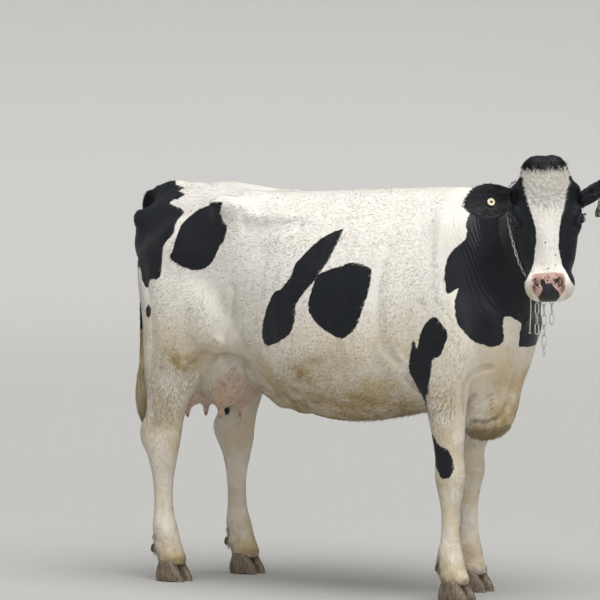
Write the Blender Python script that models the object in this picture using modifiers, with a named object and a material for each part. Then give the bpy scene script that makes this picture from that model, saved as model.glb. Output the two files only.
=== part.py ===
"""A life-size dairy cow that stands square and turns her head to her right, with ear tags and a neck chain.

The flesh is modelled whole, from lofted trunk, neck, head and legs with muscle and bone forms fused on.
Thin cuts then part it into trunk, neck, head and four legs. The udder, tail, ears, eyes, claws, tags and
chain are pieces of their own, each fitted against what carries it.

Metres, +Z up, +X towards the brisket, +Y to the cow's left. While modelling, x is 0 at the back of the rump
and the whole model is centred over the origin at the end.
"""

import math
from typing import NamedTuple

import bmesh
import bpy
import numpy as np
from mathutils import Matrix, Vector
from mathutils.bvhtree import BVHTree

FIT_GAP = 0.0004  # air between two pieces that meet
FUSE_VOXEL = 0.010
RING_POINTS = 40

LOOK_AZIMUTH = math.radians(37.0)  # how far the face is turned from the cow's right towards her front
FACE_TILT = math.radians(16.0)  # how far the muzzle stands out in front of the poll
HEAD_ROLL = math.radians(1.9)
POLL = Vector((1.889, -0.2025, 1.588))

RIGHT, LEFT = -1, 1
HEAD_CUT, HEAD_CUT_FACES = Vector((1.750, -0.090, 1.340)), Vector((0.60, -0.78, 0.17))
FORE_CUT, FORE_INSIDE = 0.620, 0.108  # height of the forelegs' cut, and how far across their inner cut is
HIND_CUT, HIND_FRONT = 0.855, 0.530  # height of the hind legs' cut, and how far forward it goes


class Section(NamedTuple):
    """An upright section of the trunk, across the body at x."""

    x: float
    top: float
    bottom: float
    half_width: float
    widest: float
    square_top: float
    square_bottom: float


TRUNK = (
    Section(-0.004, 1.360, 1.190, 0.070, 1.27, 2.0, 2.0),
    Section(0.025, 1.418, 1.060, 0.128, 1.25, 2.2, 2.0),
    Section(0.090, 1.462, 0.980, 0.182, 1.22, 1.9, 2.0),
    Section(0.200, 1.484, 0.930, 0.232, 1.20, 1.8, 2.0),
    Section(0.350, 1.483, 0.890, 0.262, 1.18, 2.2, 2.2),
    Section(0.480, 1.470, 0.858, 0.280, 1.14, 3.2, 2.2),
    Section(0.570, 1.460, 0.800, 0.293, 1.08, 4.0, 2.2),
    Section(0.680, 1.453, 0.692, 0.322, 1.00, 3.3, 2.2),
    Section(0.820, 1.454, 0.624, 0.358, 0.96, 2.5, 2.2),
    Section(0.970, 1.459, 0.612, 0.377, 0.95, 2.1, 2.2),
    Section(1.110, 1.464, 0.630, 0.370, 0.96, 2.0, 2.2),
    Section(1.250, 1.469, 0.655, 0.337, 0.99, 1.9, 2.1),
    Section(1.380, 1.472, 0.660, 0.292, 1.03, 1.8, 2.0),
    Section(1.500, 1.462, 0.660, 0.250, 1.05, 1.8, 1.8),
    Section(1.580, 1.430, 0.680, 0.208, 1.06, 1.8, 1.7),
    Section(1.634, 1.370, 0.752, 0.156, 1.06, 1.9, 1.8),
    Section(1.672, 1.290, 0.848, 0.108, 1.07, 2.0, 1.9),
    Section(1.694, 1.200, 0.968, 0.052, 1.08, 2.0, 2.0),
)


class LegSection(NamedTuple):
    """A level section of a leg: how far it reaches back and forward, and where its middle is across."""

    z: float
    back: float
    front: float
    across: float
    half_width: float


FORELEG = (
    LegSection(1.150, 1.330, 1.560, 0.170, 0.070),
    LegSection(1.000, 1.318, 1.610, 0.185, 0.090),
    LegSection(0.880, 1.318, 1.600, 0.190, 0.088),
    LegSection(0.800, 1.330, 1.565, 0.190, 0.080),
    LegSection(0.700, 1.372, 1.535, 0.187, 0.068),
    LegSection(0.600, 1.390, 1.520, 0.184, 0.057),
    LegSection(0.510, 1.400, 1.510, 0.180, 0.050),
    LegSection(0.440, 1.398, 1.516, 0.178, 0.053),
    LegSection(0.385, 1.408, 1.503, 0.176, 0.045),
    LegSection(0.310, 1.421, 1.490, 0.175, 0.035),
    LegSection(0.220, 1.417, 1.492, 0.175, 0.035),
    LegSection(0.165, 1.404, 1.503, 0.175, 0.047),
    LegSection(0.118, 1.413, 1.516, 0.175, 0.044),
    LegSection(0.085, 1.419, 1.529, 0.175, 0.050),
    LegSection(0.058, 1.424, 1.526, 0.175, 0.048),
)
HINDLEG = (
    LegSection(1.300, 0.110, 0.400, 0.130, 0.100),
    LegSection(1.220, 0.050, 0.450, 0.150, 0.112),
    LegSection(1.150, 0.052, 0.480, 0.165, 0.116),
    LegSection(1.080, 0.068, 0.510, 0.178, 0.116),
    LegSection(1.000, 0.090, 0.520, 0.188, 0.114),
    LegSection(0.920, 0.102, 0.500, 0.195, 0.109),
    LegSection(0.840, 0.106, 0.445, 0.202, 0.097),
    LegSection(0.760, 0.110, 0.372, 0.204, 0.081),
    LegSection(0.680, 0.119, 0.312, 0.203, 0.065),
    LegSection(0.620, 0.110, 0.280, 0.201, 0.056),
    LegSection(0.565, 0.076, 0.266, 0.198, 0.050),
    LegSection(0.515, 0.080, 0.254, 0.197, 0.051),
    LegSection(0.450, 0.116, 0.236, 0.196, 0.046),
    LegSection(0.360, 0.136, 0.218, 0.195, 0.036),
    LegSection(0.260, 0.140, 0.220, 0.195, 0.035),
    LegSection(0.190, 0.136, 0.238, 0.195, 0.048),
    LegSection(0.140, 0.149, 0.254, 0.195, 0.044),
    LegSection(0.090, 0.163, 0.274, 0.195, 0.050),
    LegSection(0.058, 0.168, 0.272, 0.195, 0.048),
)
STEP_TOP, STEP_REACHED = 0.95, 0.50  # a leg leans forward or back between these heights


class Leg(NamedTuple):
    """One leg: its table of sections, its side, and how far its foot stands forward of the table's."""

    name: str
    sections: tuple
    side: int
    step: float


LEGS = (
    Leg("leg_fore_right", FORELEG, RIGHT, 0.018),
    Leg("leg_fore_left", FORELEG, LEFT, -0.146),
    Leg("leg_hind_right", HINDLEG, RIGHT, 0.008),
    Leg("leg_hind_left", HINDLEG, LEFT, 0.050),
)


class NeckSection(NamedTuple):
    """A section across the neck's line, at its middle point."""

    x: float
    y: float
    z: float
    up: float
    down: float
    half_width: float


NECK = (
    NeckSection(1.300, 0.000, 1.130, 0.320, 0.340, 0.215),
    NeckSection(1.470, -0.008, 1.160, 0.295, 0.322, 0.180),
    NeckSection(1.610, -0.037, 1.215, 0.250, 0.246, 0.138),
    NeckSection(1.715, -0.084, 1.285, 0.205, 0.197, 0.113),
    NeckSection(1.790, -0.135, 1.360, 0.165, 0.165, 0.100),
    NeckSection(1.838, -0.178, 1.420, 0.125, 0.130, 0.090),
)


class HeadSection(NamedTuple):
    """A section of the head in its own frame: x runs down the face from the poll, z out of the forehead."""

    x: float
    front: float
    back: float
    half_width: float
    widest: float
    square_front: float
    square_back: float


HEAD = (
    HeadSection(0.006, -0.040, -0.085, 0.036, -0.062, 2.0, 2.0),
    HeadSection(0.020, -0.014, -0.120, 0.066, -0.060, 2.2, 2.0),
    HeadSection(0.045, 0.000, -0.160, 0.083, -0.058, 2.5, 1.9),
    HeadSection(0.090, 0.005, -0.200, 0.096, -0.056, 2.8, 1.9),
    HeadSection(0.150, 0.008, -0.232, 0.107, -0.058, 3.0, 1.9),
    HeadSection(0.205, 0.005, -0.250, 0.112, -0.072, 2.9, 1.9),
    HeadSection(0.260, -0.001, -0.246, 0.111, -0.110, 2.1, 2.0),
    HeadSection(0.320, -0.007, -0.218, 0.104, -0.122, 1.7, 2.0),
    HeadSection(0.375, -0.012, -0.182, 0.094, -0.116, 1.6, 2.1),
    HeadSection(0.420, -0.014, -0.160, 0.084, -0.098, 1.9, 2.2),
    HeadSection(0.458, -0.018, -0.147, 0.086, -0.082, 2.4, 2.3),
    HeadSection(0.490, -0.034, -0.131, 0.080, -0.078, 2.4, 2.2),
    HeadSection(0.510, -0.062, -0.108, 0.052, -0.082, 2.0, 2.0),
)


class Form(NamedTuple):
    """A rounded muscle or bone that stands out of the body: its middle, its radii and its turn in degrees."""

    middle: tuple
    radii: tuple
    pitch: float = 0.0
    yaw: float = 0.0


# Each of these is on both sides, at +y and -y.
PAIRED_FORMS = (
    Form((0.036, 0.116, 1.338), (0.050, 0.044, 0.048)),  # pin bone
    Form((0.066, 0.118, 1.250), (0.070, 0.054, 0.110)),  # seat
    Form((0.550, 0.244, 1.388), (0.112, 0.045, 0.048), 12.0, -16.0),  # hook bone
    Form((0.310, 0.205, 1.200), (0.170, 0.075, 0.150), 20.0),  # thurl
    Form((0.420, 0.225, 0.985), (0.125, 0.085, 0.160), -10.0),  # front of the thigh
    Form((0.560, 0.225, 0.945), (0.150, 0.050, 0.105), 24.0),  # flank fold
    Form((1.410, 0.158, 1.125), (0.135, 0.082, 0.275), 14.0),  # shoulder blade
    Form((1.508, 0.148, 0.985), (0.126, 0.096, 0.130)),  # point of the shoulder
    Form((1.390, 0.212, 0.850), (0.105, 0.068, 0.120), -25.0),  # upper arm
)
SINGLE_FORMS = (
    Form((1.508, 0.000, 0.712), (0.128, 0.105, 0.150), 12.0),  # brisket
    Form((1.560, 0.000, 0.850), (0.085, 0.070, 0.190), -16.0),  # dewlap
    Form((0.120, 0.000, 1.436), (0.110, 0.050, 0.045), -4.0),  # tail head
    Form((1.380, 0.000, 1.410), (0.170, 0.085, 0.062)),  # withers
)


class Hollow(NamedTuple):
    """A shallow dip pressed into the skin on both sides: its middle, its reach each way and its depth."""

    middle: tuple
    reach: tuple
    depth: float


HOLLOWS = (
    Hollow((0.700, 0.320, 1.270), (0.110, 0.140, 0.100), 0.022),  # behind the last rib
    Hollow((0.330, 0.230, 1.300), (0.130, 0.120, 0.060), 0.010),  # between hook and thurl
    Hollow((0.130, 0.060, 1.400), (0.090, 0.035, 0.060), 0.014),  # beside the tail head
    Hollow((1.235, 0.320, 0.980), (0.045, 0.150, 0.220), 0.012),  # behind the shoulder
    Hollow((1.560, 0.170, 1.250), (0.060, 0.120, 0.160), 0.014),  # in front of the shoulder
    Hollow((0.175, 0.245, 0.640), (0.025, 0.040, 0.090), 0.008),  # above the hock
    Hollow((0.200, 0.235, 0.300), (0.012, 0.030, 0.110), 0.004),  # along the hind shank's tendon
)
# In the head's own frame, on both sides.
HEAD_FORMS = (
    Form((0.200, 0.097, -0.042), (0.040, 0.030, 0.030), 0.0, 10.0),  # brow above the eye
    Form((0.238, 0.099, -0.068), (0.046, 0.026, 0.030)),  # rim below the eye
    Form((0.235, 0.078, -0.150), (0.095, 0.038, 0.080), -12.0),  # cheek
    Form((0.280, 0.070, -0.080), (0.095, 0.022, 0.026), -6.0),  # cheek bone
    Form((0.446, 0.049, -0.070), (0.050, 0.040, 0.052)),  # muzzle pad
    Form((0.122, 0.094, -0.080), (0.042, 0.036, 0.040)),  # root of the ear
    Form((0.450, 0.022, -0.128), (0.044, 0.036, 0.028)),  # chin
    Form((0.022, 0.026, -0.034), (0.026, 0.046, 0.038)),  # poll and its hair
)
HEAD_HOLLOWS = (
    Hollow((0.148, 0.120, -0.050), (0.028, 0.030, 0.026), 0.008),  # temple
    Hollow((0.310, 0.075, -0.030), (0.070, 0.030, 0.028), 0.008),  # beside the bridge of the nose
    Hollow((0.395, 0.085, -0.110), (0.035, 0.040, 0.030), 0.006),  # in front of the cheek
    Hollow((0.480, 0.060, -0.105), (0.035, 0.060, 0.008), 0.005),  # line of the mouth
    Hollow((0.462, 0.036, -0.022), (0.012, 0.011, 0.020), 0.006),  # nostril
)

EYE_RADIUS = 0.0205
EYE_STANDS_OUT = 0.0080
EYE_PLACE = (0.225, 0.046, -0.076)  # in the head's frame, where its line of sight starts
EYE_LINE = (0.02, 0.90, 0.44)

EAR_LENGTH = 0.178
EAR_THICK = (0.0090, 0.0060)  # along its middle and at its rim
# Each of these is by the share of the ear's length: its width along the curl, its curl in degrees, and how
# far its back lies under its axis.
EAR_OUTLINE = ((0.0, 0.108), (0.15, 0.124), (0.35, 0.136), (0.55, 0.136), (0.75, 0.114), (0.9, 0.072), (1.0, 0.024))
EAR_CURL = ((0.0, 225.0), (0.15, 170.0), (0.35, 110.0), (0.55, 80.0), (0.75, 62.0), (0.90, 50.0), (1.0, 45.0))
EAR_SINKS = ((0.0, 0.023), (0.3, 0.024), (0.6, 0.014), (0.8, 0.006), (1.0, 0.0))


class Ear(NamedTuple):
    """An ear's root and the way it points, in the head's frame, and how far it opens upwards, in degrees."""

    name: str
    root: tuple
    points: tuple
    turned_up: float


EARS = (
    Ear("ear_right", (0.140, -0.104, -0.068), (0.12, -1.0, 0.05), 0.0),
    Ear("ear_left", (0.166, 0.104, -0.070), (-0.55, 1.0, -0.05), 62.0),
)
BUTTON_PLACE = 0.50  # along the right ear
PANEL_PLACE, PANEL_ACROSS = 0.44, -0.004  # along the left ear, and towards its lower rim
STUD_RADIUS, STUD_SLACK = 0.0030, 0.0006
BUTTON_RADIUS, DISC_THICK = 0.0135, 0.0028
TAG_CLEAR, TAG_BEHIND = 0.0038, 0.0014  # air between a disc and the ear, in its opening and behind it
PANEL_SIZE, PANEL_THICK = (0.058, 0.058), 0.0022  # its height is from the stud down
PANEL_NECK, PANEL_SHOULDER = 0.012, 0.038  # from the stud down to where the panel starts to widen, and stops
PANEL_DROP = 0.012  # from the back of the ear to the panel, along the stud

UDDER_HEIGHT = 0.788  # of its middle
TEAT_LENGTH, TEAT_RADIUS = 0.052, 0.0125
TEAT_SPREAD = ((0.190, 0.055), (0.348, 0.060))  # x and half the distance apart, rear pair and front pair

TAIL = (  # x, z and radius down the tail
    (0.130, 1.462, 0.033),
    (0.055, 1.454, 0.035),
    (-0.004, 1.412, 0.033),
    (-0.034, 1.330, 0.029),
    (-0.055, 1.220, 0.024),
    (-0.062, 1.060, 0.020),
    (-0.066, 0.900, 0.017),
    (-0.068, 0.800, 0.015),
)
SWITCH = (  # z and radius down the hair at the end of the tail
    (0.790, 0.020),
    (0.740, 0.031),
    (0.680, 0.036),
    (0.620, 0.033),
    (0.575, 0.021),
    (0.545, 0.006),
)

CLAW_GAP = 0.005  # between the two claws of a foot
CLAW_WIDTH = 0.052
CLAW_PROFILE = (  # z, back, front and share of the width, from the sole up
    (0.000, -0.046, 0.072, 0.94),
    (0.022, -0.051, 0.064, 1.02),
    (0.056, -0.044, 0.040, 0.94),
    (0.074, -0.034, 0.027, 0.80),
    (0.084, -0.018, 0.014, 0.50),
)
CLAW_MIDDLE = 0.052  # from the back of the foot's lowest section to the middle of the claws
DEWCLAW_RADIUS, DEWCLAW_LENGTH = 0.0145, 0.034
DEWCLAW_PLACE = (0.016, 0.025, 0.124)  # forward of the fetlock's back, across and up

CHAIN_RADIUS, CHAIN_CLEAR = 0.0050, 0.0050
CHAIN_TOP, CHAIN_LOW = Vector((1.688, -0.075, 1.500)), Vector((1.800, -0.105, 1.120))
CHAIN_SIDE = Vector((0.22, -0.975, 0.0))
CHAIN_ENDS = (  # name, steps round the ring from its lowest point, length and radius
    ("chain_end_short", -0.6, 0.128, 0.0045),
    ("chain_end_long", 0.9, 0.207, 0.0045),
)
STRING_STEPS, STRING_LENGTH, STRING_DIAMETER, STRING_SWAY = -1.9, 0.160, 0.0040, 0.004
KNOT_RADIUS = 0.0052

COAT_WHITE, COAT_BLACK = (0.80, 0.76, 0.68), (0.018, 0.019, 0.022)
PINK, HORN, DARK_HORN = (0.72, 0.48, 0.42), (0.42, 0.34, 0.22), (0.10, 0.08, 0.06)
EYE_COLOUR, TAG_YELLOW = (0.012, 0.010, 0.012), (0.80, 0.74, 0.42)
STEEL, TWINE = (0.56, 0.57, 0.58), (0.78, 0.76, 0.70)


# ---------------------------------------------------------------- tools


def eased(table, count):
    """Rows of a table read at evenly spaced places along it, on a smooth curve through every row."""
    rows = np.array(table, float)
    ends = np.vstack([2 * rows[0] - rows[1], rows, 2 * rows[-1] - rows[-2]])
    at = np.linspace(0, len(rows) - 1, count)
    low = np.minimum(at.astype(int), len(rows) - 2)
    t = (at - low)[:, None]
    a, b, c, d = (ends[low + i] for i in range(4))
    return 0.5 * (2 * b + (c - a) * t + (2 * a - 5 * b + 4 * c - d) * t**2 + (3 * b - a - 3 * c + d) * t**3)


def read_off(table, at):
    """Values of a (place, value) table at each place asked for, eased between its rows."""
    fine = eased(table, 200)
    return np.interp(at, fine[:, 0], fine[:, 1])


def superellipse(half_width, up, down, square_up, square_down, count=RING_POINTS):
    """(across, up) of points round a section whose upper and lower halves differ."""
    turn = np.arange(count) / count * 2 * math.pi
    c, s = np.cos(turn), np.sin(turn)
    power = 2 / np.where(s > 0, square_up, square_down)
    across = half_width * np.sign(c) * np.abs(c) ** power
    return across, np.where(s > 0, up, down) * np.sign(s) * np.abs(s) ** power


def loft(name, rings):
    """A closed object through rings of equally many points, with a flat cap at each end."""
    shape = bmesh.new()
    made = [[shape.verts.new(p) for p in ring] for ring in rings]
    count = len(made[0])
    for near, far in zip(made, made[1:]):
        for i in range(count):
            j = (i + 1) % count
            shape.faces.new((near[i], near[j], far[j], far[i]))
    shape.faces.new(made[0][::-1])
    shape.faces.new(made[-1])
    bmesh.ops.recalc_face_normals(shape, faces=shape.faces)
    return finish_mesh(name, shape)


def finish_mesh(name, shape):
    """Makes an object of this bmesh in the working collection."""
    mesh = bpy.data.meshes.new(name)
    shape.to_mesh(mesh)
    shape.free()
    obj = bpy.data.objects.new(name, mesh)
    cow.objects.link(obj)
    return obj


def rounded(name, form, side=1, frame=None, subdivisions=3):
    """A stretched ball for a muscle or a bone, on one side of the body."""
    shape = bmesh.new()
    bmesh.ops.create_icosphere(shape, subdivisions=subdivisions, radius=1.0)
    x, y, z = form.middle
    yaw = Matrix.Rotation(math.radians(form.yaw) * side, 4, "Z")
    pitch = Matrix.Rotation(math.radians(form.pitch), 4, "Y")
    placed = Matrix.Translation((x, y * side, z)) @ yaw @ pitch @ Matrix.Diagonal((*form.radii, 1.0))
    bmesh.ops.transform(shape, matrix=(frame or Matrix()) @ placed, verts=shape.verts)
    return finish_mesh(name, shape)


def as_evaluated(obj):
    """Gives obj the mesh that its modifiers make, and removes them."""
    graph = bpy.context.evaluated_depsgraph_get()
    mesh = bpy.data.meshes.new_from_object(obj.evaluated_get(graph))
    obj.modifiers.clear()
    obj.data = mesh
    return obj


def mesh_of_curve(obj):
    """Turns a bevelled curve into a mesh object of the same name and place, with its caps welded on."""
    graph = bpy.context.evaluated_depsgraph_get()
    mesh = bpy.data.meshes.new_from_object(obj.evaluated_get(graph))
    shape = bmesh.new()
    shape.from_mesh(mesh)
    bmesh.ops.remove_doubles(shape, verts=shape.verts, dist=0.00001)
    bmesh.ops.recalc_face_normals(shape, faces=shape.faces)
    bmesh.ops.transform(shape, matrix=obj.matrix_world, verts=shape.verts)
    name = obj.name
    bpy.data.objects.remove(obj)
    return finish_mesh(name, shape)


def joined(name, pieces):
    """One object that holds these pieces' meshes, as they overlap."""
    shape = bmesh.new()
    for piece in pieces:
        shape.from_mesh(piece.data)
        bpy.data.objects.remove(piece)
    return finish_mesh(name, shape)


def fused(obj, voxel, smooth_rounds, smooth_factor=0.5):
    """Melts an object's overlapping shells into one skin and eases the creases between them."""
    remesh = obj.modifiers.new("fuse", "REMESH")
    remesh.mode = "VOXEL"
    remesh.voxel_size = voxel
    smooth = obj.modifiers.new("ease", "SMOOTH")
    smooth.factor = smooth_factor
    smooth.iterations = smooth_rounds
    return as_evaluated(obj)


def thinned(obj, chosen, ratio):
    """Leaves about this share of the triangles among the vertices for which chosen(place) holds."""
    bpy.context.view_layer.objects.active = obj
    for vertex in obj.data.vertices:
        vertex.select = chosen(vertex.co)
    for edge in obj.data.edges:
        edge.select = all(obj.data.vertices[i].select for i in edge.vertices)
    for face in obj.data.polygons:
        face.select = all(obj.data.vertices[i].select for i in face.vertices)
    bpy.ops.object.mode_set(mode="EDIT")
    bpy.ops.mesh.decimate(ratio=ratio)
    bpy.ops.object.mode_set(mode="OBJECT")


def triangulated(obj):
    """Splits every face of obj into triangles."""
    shape = bmesh.new()
    shape.from_mesh(obj.data)
    bmesh.ops.triangulate(shape, faces=shape.faces)
    shape.to_mesh(obj.data)
    shape.free()
    return obj


def swollen(obj, by):
    """A helper copy of obj that stands out from it by this much all round."""
    copy = bpy.data.objects.new(obj.name + "_swollen", obj.data.copy())
    cutters.objects.link(copy)
    push = copy.modifiers.new("push", "DISPLACE")
    push.mid_level = 0.0
    push.strength = by
    as_evaluated(copy)
    return copy


def carve(obj, cutter, operation="DIFFERENCE"):
    """Cuts obj by cutter, or joins them, and keeps the result as its mesh."""
    boolean = obj.modifiers.new("carve", "BOOLEAN")
    boolean.operation = operation
    boolean.object = cutter
    boolean.solver = "EXACT"
    return as_evaluated(obj)


def as_cutter(obj):
    """Moves obj to the cutters, which aren't part of the model."""
    cow.objects.unlink(obj)
    cutters.objects.link(obj)
    obj.hide_render = True
    obj.display_type = "WIRE"
    return obj


def largest_piece(obj):
    """Keeps only the largest of an object's separate shells."""
    shape = bmesh.new()
    shape.from_mesh(obj.data)
    islands = shells(shape)
    islands.sort(key=lambda faces: sum(f.calc_area() for f in faces))
    for faces in islands[:-1]:
        bmesh.ops.delete(shape, geom=faces, context="FACES")
    bmesh.ops.delete(shape, geom=[v for v in shape.verts if not v.link_faces], context="VERTS")
    shape.to_mesh(obj.data)
    shape.free()
    return obj


def shells(shape):
    """The faces of a bmesh in groups that hang together."""
    seen, found = set(), []
    for start in shape.faces:
        if start in seen:
            continue
        seen.add(start)
        group, todo = [], [start]
        while todo:
            face = todo.pop()
            group.append(face)
            for edge in face.edges:
                for other in edge.link_faces:
                    if other not in seen:
                        seen.add(other)
                        todo.append(other)
        found.append(group)
    return found


def material(name, colour, roughness, metallic=0.0):
    """A plain Principled finish."""
    made = bpy.data.materials.new(name)
    made.use_nodes = True
    made.diffuse_color = (*colour, 1.0)
    shader = made.node_tree.nodes["Principled BSDF"]
    shader.inputs["Base Color"].default_value = (*colour, 1.0)
    shader.inputs["Roughness"].default_value = roughness
    shader.inputs["Metallic"].default_value = metallic
    return made


def dress(obj, finish, smooth_angle=60.0):
    """Gives obj its one material and smooth shading up to an angle."""
    obj.data.materials.clear()
    obj.data.materials.append(finish)
    obj.data.shade_smooth()
    obj.data.set_sharp_from_angle(angle=math.radians(smooth_angle))
    return obj


# ---------------------------------------------------------------- flesh


def head_frame():
    """Places the head's own frame: x down the face, y to the cow's left, z out of the forehead."""
    towards = Vector((math.sin(LOOK_AZIMUTH), -math.cos(LOOK_AZIMUTH), 0.0))
    down = (Vector((0, 0, -1)) * math.cos(FACE_TILT) + towards * math.sin(FACE_TILT)).normalized()
    across = Vector((math.cos(LOOK_AZIMUTH), math.sin(LOOK_AZIMUTH), 0.0))
    out = down.cross(across).normalized()
    turn = Matrix((down, across, out)).transposed().to_4x4()
    return Matrix.Translation(POLL) @ turn @ Matrix.Rotation(HEAD_ROLL, 4, "Z")


def trunk_loft():
    """The barrel, from the back of the rump to the breast."""
    rings = []
    for x, top, bottom, half_width, widest, square_top, square_bottom in eased(TRUNK, 60):
        across, up = superellipse(half_width, top - widest, widest - bottom, square_top, square_bottom)
        rings.append([(x, a, widest + u) for a, u in zip(across, up)])
    return loft("trunk_loft", rings)


def neck_loft():
    """The neck, which bends to the cow's right as it rises to the poll."""
    table = eased(NECK, 28)
    middles = table[:, :3]
    heading = np.gradient(middles, axis=0)
    rings = []
    for middle, along, (up, down, half_width) in zip(middles, heading, table[:, 3:]):
        along = Vector(along).normalized()
        across = Vector((0, 0, 1)).cross(along).normalized()
        upward = along.cross(across)
        a, u = superellipse(half_width, up, down, 1.9, 1.8)
        rings.append([Vector(middle) + across * i + upward * j for i, j in zip(a, u)])
    return loft("neck_loft", rings)


def head_loft(frame):
    """The head without its ears, from the poll to the lips."""
    rings = []
    for x, front, back, half_width, widest, square_front, square_back in eased(HEAD, 44):
        across, up = superellipse(half_width, front - widest, widest - back, square_front, square_back)
        rings.append([frame @ Vector((x, a, widest + u)) for a, u in zip(across, up)])
    return loft("head_loft", rings)


def leaned(leg, z):
    """How far forward of its table a leg stands at this height."""
    share = min(1.0, max(0.0, (STEP_TOP - z) / (STEP_TOP - STEP_REACHED)))
    return leg.step * share


def leg_loft(leg):
    """One leg, from inside the trunk to inside the claws."""
    rings = []
    for z, back, front, across, half_width in eased(leg.sections, 50):
        turn = np.arange(RING_POINTS) / RING_POINTS * 2 * math.pi
        x = (back + front) / 2 + leaned(leg, z) + (front - back) / 2 * np.cos(turn)
        y = leg.side * across + half_width * np.sin(turn)
        rings.append([(i, j, z) for i, j in zip(x, y)])
    return loft(leg.name + "_loft", rings)


def flesh(frame):
    """Trunk, neck, head and legs melted into one closed skin."""
    pieces = [trunk_loft(), neck_loft(), head_loft(frame)]
    pieces += [leg_loft(leg) for leg in LEGS]
    pieces += [rounded("form", form) for form in SINGLE_FORMS]
    for side in (RIGHT, LEFT):
        pieces += [rounded("form", form, side) for form in PAIRED_FORMS]
        pieces += [rounded("form", form, side, frame) for form in HEAD_FORMS]
    body = fused(joined("flesh", pieces), FUSE_VOXEL, 8)
    ease_barrel(body, frame)
    press(body, HOLLOWS, Matrix())
    press(body, HEAD_HOLLOWS, frame)
    return body


def ease_barrel(body, frame):
    """Smooths the trunk and neck more than the head and the legs."""
    into_head = frame.inverted()
    group = body.vertex_groups.new(name="barrel")
    for vertex in body.data.vertices:
        from_head = (vertex.co - POLL).length / 0.45
        height = (vertex.co.z - 0.62) / 0.12
        share = min(1.0, max(0.0, height)) * min(1.0, max(0.0, from_head - 0.6) * 2.5)
        if (into_head @ vertex.co).z < -0.27 and share > 0.0:
            group.add([vertex.index], share, "REPLACE")
    ease = body.modifiers.new("ease_barrel", "SMOOTH")
    ease.factor = 0.5
    ease.iterations = 30
    ease.vertex_group = "barrel"
    as_evaluated(body)


def press(body, hollows, frame):
    """Presses each hollow into the skin on both sides, fading out with distance from its middle."""
    count = len(body.data.vertices)
    places, normals = np.empty(count * 3), np.empty(count * 3)
    body.data.vertices.foreach_get("co", places)
    body.data.vertex_normals.foreach_get("vector", normals)
    places, normals = places.reshape(-1, 3), normals.reshape(-1, 3)
    back = np.array(frame.inverted())
    local = places @ back[:3, :3].T + back[:3, 3]
    push = np.zeros(count)
    for hollow in hollows:
        for side in (RIGHT, LEFT):
            middle = np.array(hollow.middle) * (1, side, 1)
            away = np.sum(((local - middle) / hollow.reach) ** 2, axis=1)
            push -= hollow.depth * np.exp(-away)
    body.data.vertices.foreach_set("co", (places + normals * push[:, None]).ravel())
    body.data.update()


def thin_by_region(body, frame):
    """Spends triangles where the form is fine: most on the head, fewer on the legs, fewest on the barrel."""
    into_head = frame.inverted()
    triangulated(body)

    def on_head(place):
        local = into_head @ place
        return local.z > -0.26 and abs(local.y) < 0.16

    thinned(body, lambda p: not on_head(p) and p.z > 0.62, 0.0146)
    thinned(body, lambda p: p.z <= 0.62, 0.0432)
    thinned(body, on_head, 0.084)
    return body


def block(name, middle, size, turn=None):
    """A cutter that is a plain block."""
    shape = bmesh.new()
    bmesh.ops.create_cube(shape, size=1.0)
    placed = Matrix.Translation(middle) @ (turn or Matrix()) @ Matrix.Diagonal((*size, 1.0))
    bmesh.ops.transform(shape, matrix=placed, verts=shape.verts)
    return as_cutter(finish_mesh(name, shape))


def part_flesh(body, frame):
    """Cuts the one skin into trunk, neck, head and four legs, each its own object."""
    neck_leans = Matrix.Rotation(math.radians(-19.0), 4, "Y")
    head_leans = HEAD_CUT_FACES.to_track_quat("Z", "Y").to_matrix().to_4x4()
    slits = [
        block("slit_neck", (1.585, 0.0, 1.10), (FIT_GAP, 0.90, 1.30), neck_leans),
        block("slit_head", HEAD_CUT, (0.56, 0.72, FIT_GAP), head_leans),
    ]
    tall = 0.30 + FIT_GAP
    for leg in LEGS:
        if leg.sections is FORELEG:
            inside = leg.side * FORE_INSIDE
            slits.append(block("slit", (1.43, inside + leg.side * 0.2, FORE_CUT), (0.60, 0.40, FIT_GAP)))
            slits.append(block("slit", (1.43, inside, FORE_CUT - 0.15), (0.60, FIT_GAP, tall)))
        else:
            slits.append(block("slit", (HIND_FRONT - 0.35, leg.side * 0.22, HIND_CUT), (0.70, 0.40, FIT_GAP)))
            slits.append(block("slit", (HIND_FRONT, leg.side * 0.22, HIND_CUT - 0.15), (FIT_GAP, 0.40, tall)))
    for slit in slits:
        carve(body, slit)
    probes = {
        "trunk": Vector((0.85, 0.0, 1.05)),
        "neck": Vector((1.68, -0.06, 1.25)),
        "head": frame @ Vector((0.25, 0.0, -0.10)),
    }
    for leg in LEGS:
        x = sum(leg.sections[10][1:3]) / 2 + leg.step
        probes[leg.name] = Vector((x, leg.side * leg.sections[10].across, leg.sections[10].z))
    shape = bmesh.new()
    shape.from_mesh(body.data)
    groups = [g for g in shells(shape) if sum(f.calc_area() for f in g) > 0.01]
    parts = {}
    for name, probe in probes.items():
        near = min(groups, key=lambda g: (box_middle(g) - probe).length)
        piece = bmesh.new()
        copies = {}
        for face in near:
            corners = []
            for vert in face.verts:
                if vert.index not in copies:
                    copies[vert.index] = piece.verts.new(vert.co)
                corners.append(copies[vert.index])
            piece.faces.new(corners)
        parts[name] = finish_mesh(name, piece)
    shape.free()
    bpy.data.objects.remove(body)
    return parts


def box_middle(faces):
    """The middle of the box round these faces."""
    places = np.array([tuple(v.co) for f in faces for v in f.verts])
    return Vector((places.min(axis=0) + places.max(axis=0)) / 2)


# ---------------------------------------------------------------- eyes, ears and tags


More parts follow.
